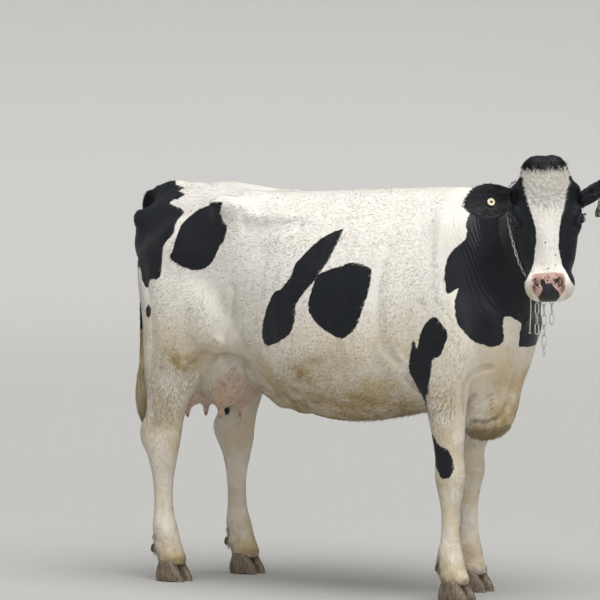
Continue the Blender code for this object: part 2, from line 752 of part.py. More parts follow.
def eyes(body, frame):
    """Two eyeballs in sockets that open outwards. Gives the balls; the sockets are cut in the body."""
    surface = bvh_of(body)
    made = []
    for side, name in ((RIGHT, "eye_right"), (LEFT, "eye_left")):
        start = frame @ Vector((EYE_PLACE[0], EYE_PLACE[1] * side, EYE_PLACE[2]))
        line = (frame.to_3x3() @ Vector((EYE_LINE[0], EYE_LINE[1] * side, EYE_LINE[2]))).normalized()
        hit = surface.ray_cast(start, line)[0]
        middle = hit + line * (EYE_STANDS_OUT - EYE_RADIUS)
        made.append(ball(name, middle, EYE_RADIUS, line, 14, 8))
        socket = as_cutter(ball(name + "_socket", middle, EYE_RADIUS + FIT_GAP, line, 14, 8))
        carve(body, socket)
    return made


def ball(name, middle, radius, pole, around, up):
    """A ball with its pole towards a line."""
    shape = bmesh.new()
    bmesh.ops.create_uvsphere(shape, u_segments=around, v_segments=up, radius=radius)
    turn = pole.to_track_quat("Z", "Y").to_matrix().to_4x4()
    bmesh.ops.transform(shape, matrix=Matrix.Translation(middle) @ turn, verts=shape.verts)
    return finish_mesh(name, shape)


def bvh_of(obj):
    """A tree for casting rays at obj, which has no transform of its own."""
    return BVHTree.FromPolygons([v.co for v in obj.data.vertices], [p.vertices for p in obj.data.polygons])


def ear_axes(ear, frame):
    """An ear's root, its long axis, the way it opens and its width, in the model's frame."""
    along = Vector(ear.points).normalized()
    turn_up = math.radians(ear.turned_up)
    faces = Vector((-math.sin(turn_up), 0, math.cos(turn_up)))
    opens = (faces - along * faces.dot(along)).normalized()
    wide = opens.cross(along)
    turn = frame.to_3x3()
    return frame @ Vector(ear.root), turn @ along, turn @ opens, turn @ wide


def ear_solid(ear, frame, rings=8, points=6):
    """A curled leaf with an open front, thick in its middle and thinner at its rim."""
    root, along, opens, wide = ear_axes(ear, frame)
    made = []
    for t in np.linspace(0.0, 1.0, rings):
        width, curl = read_off(EAR_OUTLINE, t), math.radians(read_off(EAR_CURL, t))
        radius = width / curl
        sink = read_off(EAR_SINKS, t)
        back, front = [], []
        for angle in np.linspace(-curl / 2, curl / 2, points):
            edge = abs(angle) / (curl / 2)
            thick = EAR_THICK[0] * (1 - edge**2) + EAR_THICK[1] * edge**2
            thick *= 0.5 + 0.5 * min(1.0, width / 0.10)
            for ring, reach in ((back, radius), (front, radius - thick)):
                across, out = reach * math.sin(angle), radius - reach * math.cos(angle) - sink
                ring.append(root + along * (EAR_LENGTH * t) + wide * across + opens * out)
        made.append(back + front[::-1])
    return loft(ear.name, made)


def back_of_ear(ear, frame, place, across):
    """A point on the back of an ear and the way out of its opening there."""
    root, along, opens, wide = ear_axes(ear, frame)
    radius = read_off(EAR_OUTLINE, place) / math.radians(read_off(EAR_CURL, place))
    turn = across / radius
    out = radius - radius * math.cos(turn) - read_off(EAR_SINKS, place)
    at = root + along * (EAR_LENGTH * place) + wide * (radius * math.sin(turn)) + opens * out
    return at, opens * math.cos(turn) - wide * math.sin(turn)


def stud_frame(ear, frame, place, across=0.0):
    """A frame on the back of an ear, this far across, with z towards its opening and x along it."""
    at, opens = back_of_ear(ear, frame, place, across)
    nearer, farther = (back_of_ear(ear, frame, place + step, across)[0] for step in (-0.06, 0.06))
    x = (farther - nearer).normalized()
    z = (opens - x * opens.dot(x)).normalized()
    return Matrix.Translation(at) @ Matrix((x, z.cross(x), z)).transposed().to_4x4()


def drum(name, frame, radius, low, high, around=20):
    """A round disc or rod along the frame's z."""
    rings = []
    for z in (low, high):
        rings.append([frame @ Vector((radius * math.cos(a), radius * math.sin(a), z))
                      for a in np.arange(around) / around * 2 * math.pi])
    return loft(name, rings)


def button_tag(ear, frame):
    """A round tag: a disc on each face of the ear and the stud that joins them through it."""
    at = stud_frame(ear, frame, BUTTON_PLACE)
    front = EAR_THICK[0] + TAG_CLEAR
    tag = drum("tag_button_right", at, BUTTON_RADIUS, front, front + DISC_THICK, 16)
    for piece in (
        drum("stud", at, STUD_RADIUS, -TAG_BEHIND - DISC_THICK / 2, front + DISC_THICK / 2, 10),
        drum("back", at, BUTTON_RADIUS, -TAG_BEHIND - DISC_THICK, -TAG_BEHIND, 16),
    ):
        carve(tag, as_cutter(piece), "UNION")
    return tag, as_cutter(drum("stud_hole", at, STUD_RADIUS + STUD_SLACK, -0.02, front + 0.02, 10))


def panel_tag(ear, frame):
    """A panel that hangs straight down from its stud behind the ear, with a small disc in the ear's opening."""
    at = stud_frame(ear, frame, PANEL_PLACE, PANEL_ACROSS)
    front = EAR_THICK[0] + TAG_CLEAR
    faces = at.to_3x3() @ Vector((0, 0, 1))
    faces = Vector((faces.x, faces.y, 0)).normalized()
    down = Vector((0, 0, -1))
    turned = Matrix((down, faces.cross(down), faces)).transposed().to_4x4()
    hung = Matrix.Translation(at @ Vector((0, 0, -PANEL_DROP))) @ turned
    wide, tall = PANEL_SIZE
    outline = [(-0.007, -0.003), (-0.004, -0.007), (PANEL_NECK, -0.009), (PANEL_SHOULDER, -wide / 2),
               (tall - 0.005, -wide / 2), (tall, -wide / 2 + 0.005)]
    outline = outline + [(x, -y) for x, y in reversed(outline)]
    rings = [[hung @ Vector((x, y, z)) for x, y in outline] for z in (-PANEL_THICK / 2, PANEL_THICK / 2)]
    tag = loft("tag_panel_left", rings)
    for piece in (
        drum("stud", at, STUD_RADIUS, -PANEL_DROP, front + DISC_THICK / 2, 10),
        drum("front", at, BUTTON_RADIUS * 0.9, front, front + DISC_THICK, 16),
    ):
        carve(tag, as_cutter(piece), "UNION")
    return tag, as_cutter(drum("stud_hole", at, STUD_RADIUS + STUD_SLACK, -0.02, front + 0.02, 10))


def ears_and_tags(body, frame):
    """The two ears, trimmed against the head, each with its tag through it."""
    made = []
    skin = swollen(body, FIT_GAP)
    skin.hide_render = True
    for ear, tag_for in zip(EARS, (button_tag, panel_tag)):
        solid = ear_solid(ear, frame)
        carve(solid, skin)
        tag, hole = tag_for(ear, frame)
        carve(solid, hole)
        made += [largest_piece(solid), tag]
    return made


# ---------------------------------------------------------------- tail, udder, feet and chain


def tail_and_switch():
    """The tail down to its bone's end, and the bundle of hair below it."""
    table = eased(TAIL, 16)
    path = [Vector((x, 0.0, z)) for x, z, _ in table]
    rings = []
    for i, (x, z, radius) in enumerate(table):
        along = (path[min(i + 1, len(path) - 1)] - path[max(i - 1, 0)]).normalized()
        across = Vector((0, 1, 0))
        out = along.cross(across)
        rings.append([path[i] + (across * math.cos(a) + out * math.sin(a)) * radius
                      for a in np.arange(10) / 10 * 2 * math.pi])
    tail = loft("tail", rings)
    end = table[-1]
    rings = []
    for z, radius in eased(SWITCH, 7):
        rings.append([Vector((end[0] + radius * 0.85 * math.cos(a), radius * math.sin(a), z))
                      for a in np.arange(10) / 10 * 2 * math.pi])
    return tail, loft("tail_switch", rings)


def udder_solid():
    """The udder's four quarters and their teats."""
    pieces = [rounded("front", Form((0.380, 0.0, 0.815), (0.115, 0.120, 0.100), 18.0)),
              rounded("middle", Form((0.250, 0.0, 0.780), (0.150, 0.080, 0.125)))]
    low = UDDER_HEIGHT - 0.142 - TEAT_LENGTH / 2
    radii = (TEAT_RADIUS * 1.25, TEAT_RADIUS * 1.25, TEAT_LENGTH * 0.62)
    for x, across in TEAT_SPREAD:
        quarter = Form((x + 0.010, across * 0.9, UDDER_HEIGHT), (0.110, 0.096, 0.150))
        for side in (RIGHT, LEFT):
            pieces.append(rounded("quarter", quarter, side))
            pieces.append(rounded("teat", Form((x, across, low), radii), side))
    udder = fused(joined("udder", pieces), 0.007, 3)
    triangulated(udder)
    thinned(udder, lambda p: True, 0.018)
    return udder


def claws(leg):
    """The two claws and two dewclaws of a foot."""
    lowest = leg.sections[-1]
    x0 = lowest.back + CLAW_MIDDLE + leaned(leg, 0.0)
    y0 = leg.side * lowest.across
    made = []
    for side, where in ((RIGHT, "right"), (LEFT, "left")):
        middle = y0 + side * (CLAW_WIDTH + CLAW_GAP) / 2
        rings = []
        for z, back, front, share in CLAW_PROFILE:
            across, along = superellipse(CLAW_WIDTH / 2 * share, front, -back, 1.9, 2.6, 10)
            rings.append([Vector((x0 + v, middle + u, z)) for u, v in zip(across, along)])
        made.append(loft(f"claw_{leg.name[4:]}_{where}", rings))
    fetlock = min(leg.sections, key=lambda s: abs(s.z - 0.165))
    for side, where in ((RIGHT, "right"), (LEFT, "left")):
        forward, across, up = DEWCLAW_PLACE
        at = Vector((fetlock.back + leaned(leg, up) + forward, y0 + side * across, up))
        rings = []
        for t, radius in ((0.0, 1.0), (0.55, 0.90), (1.0, 0.35)):
            middle = at + Vector((-0.35, 0, -0.94)) * DEWCLAW_LENGTH * (t - 0.35)
            rings.append([middle + Vector((math.cos(a), math.sin(a) * 0.9, 0)) * DEWCLAW_RADIUS * radius
                          for a in np.arange(8) / 8 * 2 * math.pi])
        made.append(loft(f"dewclaw_{leg.name[4:]}_{where}", rings))
    return made


def neck_chain(body):
    """A closed ring that lies round the neck behind the jaw, with two chain ends and a string below it."""
    surface = bvh_of(body)
    middle = (CHAIN_TOP + CHAIN_LOW) / 2
    up = (CHAIN_TOP - CHAIN_LOW).normalized()
    side = (CHAIN_SIDE - up * CHAIN_SIDE.dot(up)).normalized()
    count = 32
    reach = []
    for a in np.arange(count) / count * 2 * math.pi:
        way = up * math.cos(a) + side * math.sin(a)
        hit = surface.ray_cast(middle, way)[0]
        reach.append((hit - middle).length)
    reach = np.array(reach)
    for _ in range(3):
        reach = np.maximum(reach, (np.roll(reach, 1) + np.roll(reach, -1)) / 2)
    reach += CHAIN_RADIUS + CHAIN_CLEAR
    path = [middle + (up * math.cos(a) + side * math.sin(a)) * r
            for a, r in zip(np.arange(count) / count * 2 * math.pi, reach)]
    normal = up.cross(side)
    rings = []
    for i, at in enumerate(path):
        along = (path[(i + 1) % count] - path[i - 1]).normalized()
        out = along.cross(normal)
        rings.append([at + (out * math.cos(t) + normal * math.sin(t)) * CHAIN_RADIUS
                      for t in np.arange(5) / 5 * 2 * math.pi])
    shape = bmesh.new()
    made = [[shape.verts.new(p) for p in ring] for ring in rings]
    for i in range(count):
        near, far = made[i], made[(i + 1) % count]
        for j in range(5):
            k = (j + 1) % 5
            shape.faces.new((near[j], near[k], far[k], far[j]))
    bmesh.ops.recalc_face_normals(shape, faces=shape.faces)
    chain = finish_mesh("neck_chain", shape)
    low = min(range(count), key=lambda i: path[i].z)
    hanging = []
    for name, steps, length, radius in CHAIN_ENDS:
        top = below_ring(path, low + steps)
        turn = np.arange(8) / 8 * 2 * math.pi
        rings = [[top + Vector((radius * math.cos(a), radius * math.sin(a), -z)) for a in turn]
                 for z in (0.0, length)]
        hanging.append(loft(name, rings))
    return [chain, *hanging], string_and_knot(below_ring(path, low + STRING_STEPS))


def below_ring(path, at):
    """The place just under the neck ring, this many steps along its path."""
    near, share = math.floor(at), at - math.floor(at)
    hook = path[near % len(path)].lerp(path[(near + 1) % len(path)], share)
    return Vector((hook.x, hook.y, hook.z - CHAIN_RADIUS - 0.004))


def string_and_knot(top):
    """A short end of twine that hangs from the ring, and the knot that it ends in."""
    points = 15
    curve = bpy.data.curves.new("collar_string", "CURVE")
    curve.dimensions = "3D"
    curve.bevel_depth = STRING_DIAMETER / 2
    curve.bevel_resolution = 2
    curve.use_fill_caps = True
    spline = curve.splines.new("POLY")
    spline.points.add(points - 1)
    for i, point in enumerate(spline.points):
        t = i / (points - 1)
        sway = STRING_SWAY * math.sin(math.pi * t) ** 2
        point.co = (top.x + sway, top.y, top.z - STRING_LENGTH * t, 1.0)
    string = bpy.data.objects.new("collar_string", curve)
    cow.objects.link(string)
    end = top - Vector((0, 0, STRING_LENGTH + KNOT_RADIUS + FIT_GAP))
    return [string, ball("collar_knot", end, KNOT_RADIUS, Vector((0, 0, 1)), 8, 6)]


# ---------------------------------------------------------------- the cow


def build():
    """Models every piece of the cow."""
    frame = head_frame()
    body = flesh(frame)
    thin_by_region(body, frame)
    balls = eyes(body, frame)
    leaves = ears_and_tags(body, frame)
    feet = [claw for leg in LEGS for claw in claws(leg)]
    room_for = []
    for claw in feet:
        room_for.append(swollen(claw, FIT_GAP))
        room_for[-1].hide_render = True
    for room in room_for:
        carve(body, room)
    skin = swollen(body, FIT_GAP)
    skin.hide_render = True
    tail, switch = tail_and_switch()
    udder = udder_solid()
    for piece in (tail, udder):
        carve(piece, skin)
        largest_piece(piece)
    links, twine = neck_chain(body)
    groove = swollen(links[0], FIT_GAP)
    groove.hide_render = True
    carve(body, groove)
    parts = part_flesh(body, frame)
    everything = [*parts.values(), *balls, *leaves, *feet, tail, switch, udder, *links, twine[1]]
    for obj in everything:
        triangulated(obj)
    centre([*everything, twine[0]], everything)
    finish(parts, balls, leaves, feet, tail, switch, udder, links, twine)


def centre(pieces, measured):
    """Moves every piece so that the box round the measured ones stands on the origin."""
    places = np.vstack([[tuple(v.co) for v in obj.data.vertices] for obj in measured])
    low, high = places.min(axis=0), places.max(axis=0)
    move = Matrix.Translation((-(low[0] + high[0]) / 2, -(low[1] + high[1]) / 2, -low[2]))
    for obj in pieces:
        obj.data.transform(move)


def finish(parts, balls, leaves, feet, tail, switch, udder, links, twine):
    """Gives each piece its finish."""
    white = material("coat_white", COAT_WHITE, 0.7)
    black = material("coat_black", COAT_BLACK, 0.45)
    eye = material("eye", EYE_COLOUR, 0.08)
    horn, dark_horn = material("claw_horn", HORN, 0.5), material("dewclaw_horn", DARK_HORN, 0.5)
    plastic, steel = material("tag_plastic", TAG_YELLOW, 0.4), material("chain_steel", STEEL, 0.3, 1.0)
    string = material("twine", TWINE, 0.9)
    for obj in (*parts.values(), switch):
        dress(obj, white)
    for obj in (leaves[0], leaves[2], tail):
        dress(obj, black)
    dress(udder, material("bare_skin", PINK, 0.55))
    for obj in balls:
        dress(obj, eye)
    for obj in feet:
        dress(obj, dark_horn if obj.name.startswith("dewclaw") else horn, 40.0)
    for obj in (leaves[1], leaves[3]):
        dress(obj, plastic, 30.0)
    for obj in links:
        dress(obj, steel)
    twine[0].data.materials.append(string)
    dress(twine[1], string)


for old in list(bpy.data.objects):
    bpy.data.objects.remove(old)
cow = bpy.data.collections.new("cow")
cutters = bpy.data.collections.new("cutters")
bpy.context.scene.collection.children.link(cow)
bpy.context.scene.collection.children.link(cutters)
cutters.hide_render = True
build()
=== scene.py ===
"""Looks of the dairy cow: one skin over her whole body, a short coat with its markings, and what she wears.

Metres, +Z up, +X towards the brisket and +Y to the cow's left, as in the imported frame. Tables of the body
keep the part's own lengthwise measure, which is 0 at the back of the rump, and SHIFT brings them into the
frame. The camera comes first, then the hide with its markings and coat, the eyes and the horn, and last the
chain, the string and the tags.
"""

from __future__ import annotations

import logging
import math
from dataclasses import dataclass, field
from enum import Enum
from typing import NamedTuple, Sequence

import bmesh
import bpy
import numpy as np
from mathutils import Matrix, Vector
from mathutils.bvhtree import BVHTree


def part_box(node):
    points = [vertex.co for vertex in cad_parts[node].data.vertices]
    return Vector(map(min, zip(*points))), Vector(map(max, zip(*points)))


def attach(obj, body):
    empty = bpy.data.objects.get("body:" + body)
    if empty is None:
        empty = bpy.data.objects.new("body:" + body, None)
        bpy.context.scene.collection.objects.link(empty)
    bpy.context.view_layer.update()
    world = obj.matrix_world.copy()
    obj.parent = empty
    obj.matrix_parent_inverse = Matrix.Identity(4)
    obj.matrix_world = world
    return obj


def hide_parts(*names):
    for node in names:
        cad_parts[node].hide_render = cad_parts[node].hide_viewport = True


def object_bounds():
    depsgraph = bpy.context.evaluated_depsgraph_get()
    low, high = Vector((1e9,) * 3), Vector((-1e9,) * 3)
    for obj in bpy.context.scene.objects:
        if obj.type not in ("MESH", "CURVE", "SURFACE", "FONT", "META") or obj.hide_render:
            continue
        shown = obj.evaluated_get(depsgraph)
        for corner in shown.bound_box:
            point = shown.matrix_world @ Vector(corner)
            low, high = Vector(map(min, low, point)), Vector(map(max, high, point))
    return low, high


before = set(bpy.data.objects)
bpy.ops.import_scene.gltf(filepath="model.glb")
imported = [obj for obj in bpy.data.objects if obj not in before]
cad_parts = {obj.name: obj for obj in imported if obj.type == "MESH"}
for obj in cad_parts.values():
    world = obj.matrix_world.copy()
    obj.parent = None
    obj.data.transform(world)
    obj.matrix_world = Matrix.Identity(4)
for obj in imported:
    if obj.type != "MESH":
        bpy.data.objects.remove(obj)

CAD_BOX = [list(corner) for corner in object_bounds()]
LOG = logging.getLogger("cow")
SHIFT = Vector((-0.99267, 0.0001, 0.0))  # from the tables' measure to the frame
RIGHT, LEFT = -1, 1


# ---------------------------------------------------------------- measures of the body


class Section(NamedTuple):
    """An upright section of the trunk, across the body at x."""

    x: float
    top: float
    bottom: float
    half_width: float
    widest: float
    square_top: float
    square_bottom: float


class LegSection(NamedTuple):
    """A level section of a leg: how far it reaches back and forward, and where its middle is across."""

    z: float
    back: float
    front: float
    across: float
    half_width: float


class NeckSection(NamedTuple):
    """A section across the neck's line, at its middle point."""

    x: float
    y: float
    z: float
    up: float
    down: float
    half_width: float


class HeadSection(NamedTuple):
    """A section of the head in its own frame: x runs down the face from the poll, z out of the forehead."""

    x: float
    front: float
    back: float
    half_width: float
    widest: float
    square_front: float
    square_back: float


class Form(NamedTuple):
    """A rounded muscle or bone that stands out: its middle, radii, and turn about y and z in degrees."""

    middle: tuple
    radii: tuple
    pitch: float = 0.0
    yaw: float = 0.0


class Hollow(NamedTuple):
    """A dip on both sides, or a swelling where its depth is negative: middle, reach each way and depth."""

    middle: tuple
    reach: tuple
    depth: float


TRUNK = (
    Section(-0.004, 1.360, 1.190, 0.070, 1.27, 2.0, 2.0),
    Section(0.025, 1.418, 1.060, 0.128, 1.25, 2.2, 2.0),
    Section(0.090, 1.462, 0.980, 0.182, 1.22, 1.9, 2.0),
    Section(0.200, 1.484, 0.930, 0.232, 1.20, 1.8, 2.0),
    Section(0.350, 1.483, 0.890, 0.262, 1.18, 2.2, 2.2),
    Section(0.480, 1.470, 0.858, 0.280, 1.14, 3.2, 2.2),
    Section(0.570, 1.460, 0.800, 0.293, 1.08, 4.0, 2.2),
    Section(0.680, 1.453, 0.692, 0.322, 1.00, 3.3, 2.2),
    Section(0.820, 1.454, 0.624, 0.358, 0.96, 2.5, 2.2),
    Section(0.970, 1.459, 0.612, 0.377, 0.95, 2.1, 2.2),
    Section(1.110, 1.464, 0.630, 0.370, 0.96, 2.0, 2.2),
    Section(1.250, 1.469, 0.655, 0.337, 0.99, 1.9, 2.1),
    Section(1.380, 1.472, 0.660, 0.292, 1.03, 1.8, 2.0),
    Section(1.500, 1.462, 0.660, 0.250, 1.05, 1.8, 1.8),
    Section(1.580, 1.430, 0.680, 0.208, 1.06, 1.8, 1.7),
    Section(1.634, 1.370, 0.752, 0.156, 1.06, 1.9, 1.8),
    Section(1.672, 1.290, 0.848, 0.108, 1.07, 2.0, 1.9),
    Section(1.694, 1.200, 0.968, 0.052, 1.08, 2.0, 2.0),
)


FORELEG = (
    LegSection(1.150, 1.330, 1.560, 0.170, 0.070),
    LegSection(1.000, 1.318, 1.610, 0.185, 0.090),
    LegSection(0.880, 1.318, 1.600, 0.190, 0.088),
    LegSection(0.800, 1.330, 1.565, 0.190, 0.080),
    LegSection(0.700, 1.372, 1.535, 0.187, 0.068),
    LegSection(0.600, 1.390, 1.520, 0.184, 0.057),
    LegSection(0.510, 1.400, 1.510, 0.180, 0.050),
    LegSection(0.440, 1.398, 1.516, 0.178, 0.053),
    LegSection(0.385, 1.408, 1.503, 0.176, 0.045),
    LegSection(0.310, 1.421, 1.490, 0.175, 0.035),
    LegSection(0.220, 1.417, 1.492, 0.175, 0.035),
    LegSection(0.165, 1.404, 1.503, 0.175, 0.047),
    LegSection(0.118, 1.413, 1.516, 0.175, 0.044),
    LegSection(0.085, 1.419, 1.529, 0.175, 0.050),
    LegSection(0.058, 1.424, 1.526, 0.175, 0.048),
)
HINDLEG = (
    LegSection(1.300, 0.110, 0.400, 0.130, 0.100),
    LegSection(1.220, 0.050, 0.450, 0.150, 0.112),
    LegSection(1.150, 0.052, 0.480, 0.165, 0.116),
    LegSection(1.080, 0.068, 0.510, 0.178, 0.116),
    LegSection(1.000, 0.090, 0.520, 0.188, 0.114),
    LegSection(0.920, 0.102, 0.500, 0.195, 0.109),
    LegSection(0.840, 0.106, 0.445, 0.202, 0.097),
    LegSection(0.760, 0.110, 0.372, 0.204, 0.081),
    LegSection(0.680, 0.119, 0.312, 0.203, 0.065),
    LegSection(0.620, 0.110, 0.280, 0.201, 0.056),
    LegSection(0.565, 0.076, 0.266, 0.198, 0.050),
    LegSection(0.515, 0.080, 0.254, 0.197, 0.051),
    LegSection(0.450, 0.116, 0.236, 0.196, 0.046),
    LegSection(0.360, 0.136, 0.218, 0.195, 0.036),
    LegSection(0.260, 0.140, 0.220, 0.195, 0.035),
    LegSection(0.190, 0.136, 0.238, 0.195, 0.048),
    LegSection(0.140, 0.149, 0.254, 0.195, 0.044),
    LegSection(0.090, 0.163, 0.274, 0.195, 0.050),
    LegSection(0.058, 0.168, 0.272, 0.195, 0.048),
)
STEP_TOP, STEP_REACHED = 0.95, 0.50  # a leg leans forward or back between these heights


class Leg(NamedTuple):
    """One leg: its table of sections, its side, and how far its foot stands forward of the table's."""

    name: str
    sections: tuple
    side: int
    step: float


LEGS = (
    Leg("leg_fore_right", FORELEG, RIGHT, 0.018),
    Leg("leg_fore_left", FORELEG, LEFT, -0.146),
    Leg("leg_hind_right", HINDLEG, RIGHT, 0.008),
    Leg("leg_hind_left", HINDLEG, LEFT, 0.050),
)


NECK = (
    NeckSection(1.300, 0.000, 1.130, 0.320, 0.340, 0.215),
    NeckSection(1.470, -0.008, 1.160, 0.295, 0.322, 0.180),
    NeckSection(1.610, -0.037, 1.215, 0.250, 0.246, 0.138),
    NeckSection(1.715, -0.084, 1.285, 0.205, 0.197, 0.113),
    NeckSection(1.790, -0.135, 1.360, 0.165, 0.165, 0.100),
    NeckSection(1.838, -0.178, 1.420, 0.125, 0.130, 0.090),
)


HEAD = (
    HeadSection(0.006, -0.040, -0.085, 0.036, -0.062, 2.0, 2.0),
    HeadSection(0.020, -0.014, -0.120, 0.066, -0.060, 2.2, 2.0),
    HeadSection(0.045, 0.000, -0.160, 0.083, -0.058, 2.5, 1.9),
    HeadSection(0.090, 0.005, -0.200, 0.096, -0.056, 2.8, 1.9),
    HeadSection(0.150, 0.008, -0.232, 0.107, -0.058, 3.0, 1.9),
    HeadSection(0.205, 0.005, -0.250, 0.112, -0.072, 2.9, 1.9),
    HeadSection(0.260, -0.001, -0.246, 0.111, -0.110, 2.1, 2.0),
    HeadSection(0.320, -0.007, -0.218, 0.104, -0.122, 1.7, 2.0),
    HeadSection(0.375, -0.012, -0.182, 0.094, -0.116, 1.6, 2.1),
    HeadSection(0.420, -0.014, -0.160, 0.084, -0.098, 1.9, 2.2),
    HeadSection(0.458, -0.018, -0.147, 0.086, -0.082, 2.4, 2.3),
    HeadSection(0.490, -0.034, -0.131, 0.080, -0.078, 2.4, 2.2),
    HeadSection(0.510, -0.062, -0.108, 0.052, -0.082, 2.0, 2.0),
)


# Each of these is on both sides, at +y and -y.
PAIRED_FORMS = (
    Form((0.036, 0.116, 1.338), (0.050, 0.044, 0.048)),  # pin bone
    Form((0.066, 0.118, 1.250), (0.070, 0.054, 0.110)),  # seat
    Form((0.550, 0.244, 1.388), (0.112, 0.045, 0.048), 12.0, -16.0),  # hook bone
    Form((0.310, 0.205, 1.200), (0.170, 0.075, 0.150), 20.0),  # thurl
    Form((0.420, 0.225, 0.985), (0.125, 0.085, 0.160), -10.0),  # front of the thigh
    Form((0.560, 0.225, 0.945), (0.150, 0.050, 0.105), 24.0),  # flank fold
    Form((1.410, 0.158, 1.125), (0.135, 0.082, 0.275), 14.0),  # shoulder blade
    Form((1.508, 0.148, 0.985), (0.126, 0.096, 0.130)),  # point of the shoulder
    Form((1.390, 0.212, 0.850), (0.105, 0.068, 0.120), -25.0),  # upper arm
)
SINGLE_FORMS = (
    Form((1.508, 0.000, 0.712), (0.128, 0.105, 0.150), 12.0),  # brisket
    Form((1.560, 0.000, 0.850), (0.085, 0.070, 0.190), -16.0),  # dewlap
    Form((0.120, 0.000, 1.436), (0.110, 0.050, 0.045), -4.0),  # tail head
    Form((1.380, 0.000, 1.410), (0.170, 0.085, 0.062)),  # withers
)


HOLLOWS = (
    Hollow((0.700, 0.320, 1.270), (0.110, 0.140, 0.100), 0.022),  # behind the last rib
    Hollow((0.330, 0.230, 1.300), (0.130, 0.120, 0.060), 0.010),  # between hook and thurl
    Hollow((0.130, 0.060, 1.400), (0.090, 0.035, 0.060), 0.014),  # beside the tail head
    Hollow((1.235, 0.320, 0.980), (0.045, 0.150, 0.220), 0.012),  # behind the shoulder
    Hollow((1.560, 0.170, 1.250), (0.060, 0.120, 0.160), 0.014),  # in front of the shoulder
    Hollow((0.175, 0.245, 0.640), (0.025, 0.040, 0.090), 0.008),  # above the hock
    Hollow((0.200, 0.235, 0.300), (0.012, 0.030, 0.110), 0.004),  # along the hind shank's tendon
)
# In the head's own frame, on both sides.
HEAD_FORMS = (
    Form((0.200, 0.097, -0.042), (0.040, 0.030, 0.030), 0.0, 10.0),  # brow above the eye
    Form((0.238, 0.099, -0.068), (0.046, 0.026, 0.030)),  # rim below the eye
    Form((0.235, 0.078, -0.150), (0.095, 0.038, 0.080), -12.0),  # cheek
    Form((0.280, 0.070, -0.080), (0.095, 0.022, 0.026), -6.0),  # cheek bone
    Form((0.446, 0.049, -0.070), (0.050, 0.040, 0.052)),  # muzzle pad
    Form((0.122, 0.094, -0.080), (0.042, 0.036, 0.040)),  # root of the ear
    Form((0.450, 0.022, -0.128), (0.044, 0.036, 0.028)),  # chin
    Form((0.022, 0.026, -0.034), (0.026, 0.046, 0.038)),  # poll and its hair
)
HEAD_HOLLOWS = (
    Hollow((0.148, 0.120, -0.050), (0.028, 0.030, 0.026), 0.008),  # temple
    Hollow((0.310, 0.075, -0.030), (0.070, 0.030, 0.028), 0.008),  # beside the bridge of the nose
    Hollow((0.395, 0.085, -0.110), (0.035, 0.040, 0.030), 0.006),  # in front of the cheek
    Hollow((0.480, 0.060, -0.105), (0.035, 0.060, 0.008), 0.005),  # line of the mouth
    Hollow((0.462, 0.036, -0.022), (0.012, 0.011, 0.020), 0.006),  # nostril
)

UDDER_HEIGHT = 0.788  # of its middle
TEAT_LENGTH, TEAT_RADIUS = 0.052, 0.0125
TEAT_SPREAD = ((0.190, 0.055), (0.348, 0.060))  # x and half the distance apart, rear pair and front pair

TAIL = (  # x, z and radius down the tail
    (0.130, 1.462, 0.033),
    (0.055, 1.454, 0.035),
    (-0.004, 1.412, 0.033),
    (-0.034, 1.330, 0.029),
    (-0.055, 1.220, 0.024),
    (-0.062, 1.060, 0.020),
    (-0.066, 0.900, 0.017),
    (-0.068, 0.800, 0.015),
)

LOOK_AZIMUTH = math.radians(37.0)  # how far the face is turned from the cow's right towards her front
FACE_TILT = math.radians(16.0)  # how far the muzzle stands out in front of the poll
HEAD_ROLL = math.radians(1.9)
POLL = Vector((1.889, -0.2025, 1.588))

BARREL_LINE = (  # the middle line of trunk and neck
    (-0.12, 0.0, 1.08),
    (0.30, 0.0, 1.08),
    (0.80, 0.0, 1.08),
    (1.25, 0.0, 1.08),
    (1.45, -0.008, 1.15),
    (1.61, -0.035, 1.215),
    (1.715, -0.082, 1.285),
    (1.79, -0.135, 1.36),
    (1.84, -0.178, 1.43),
    (1.87, -0.205, 1.54),
)
LINE_STARTS = -1.12  # the length along it that its first place counts as


# ---------------------------------------------------------------- tools


def eased(table: Sequence[Sequence[float]], count: int) -> np.ndarray:
    """Reads rows of a table at evenly spaced places along it, on a smooth curve through every row.

    Args:
        table: rows of numbers.
        count: how many rows to give back.

    Returns:
        An array of count rows.
    """
    rows = np.array(table, float)
    ends = np.vstack([2 * rows[0] - rows[1], rows, 2 * rows[-1] - rows[-2]])
    at = np.linspace(0, len(rows) - 1, count)
    low = np.minimum(at.astype(int), len(rows) - 2)
    t = (at - low)[:, None]
    a, b, c, d = (ends[low + i] for i in range(4))
    return 0.5 * (2 * b + (c - a) * t + (2 * a - 5 * b + 4 * c - d) * t**2 + (3 * b - a - 3 * c + d) * t**3)


def read_off(table: Sequence[Sequence[float]], at: float | np.ndarray) -> float | np.ndarray:
    """Reads a (place, value) table at each place asked for, eased between its rows.

    Args:
        table: (place, value) rows in rising order of place.
        at: the place or places.

    Returns:
        The values there.
    """
    fine = eased(table, 200)
    return np.interp(at, fine[:, 0], fine[:, 1])


def step(value: np.ndarray, low: float, high: float) -> np.ndarray:
    """Rises smoothly from 0 where value is low to 1 where it is high."""
    t = np.clip((np.asarray(value, float) - low) / (high - low), 0.0, 1.0)
    return t * t * (3 - 2 * t)


def unit(vectors: np.ndarray) -> np.ndarray:
    """Scales each row to length one."""
    return vectors / np.maximum(np.linalg.norm(vectors, axis=-1, keepdims=True), 1e-9)


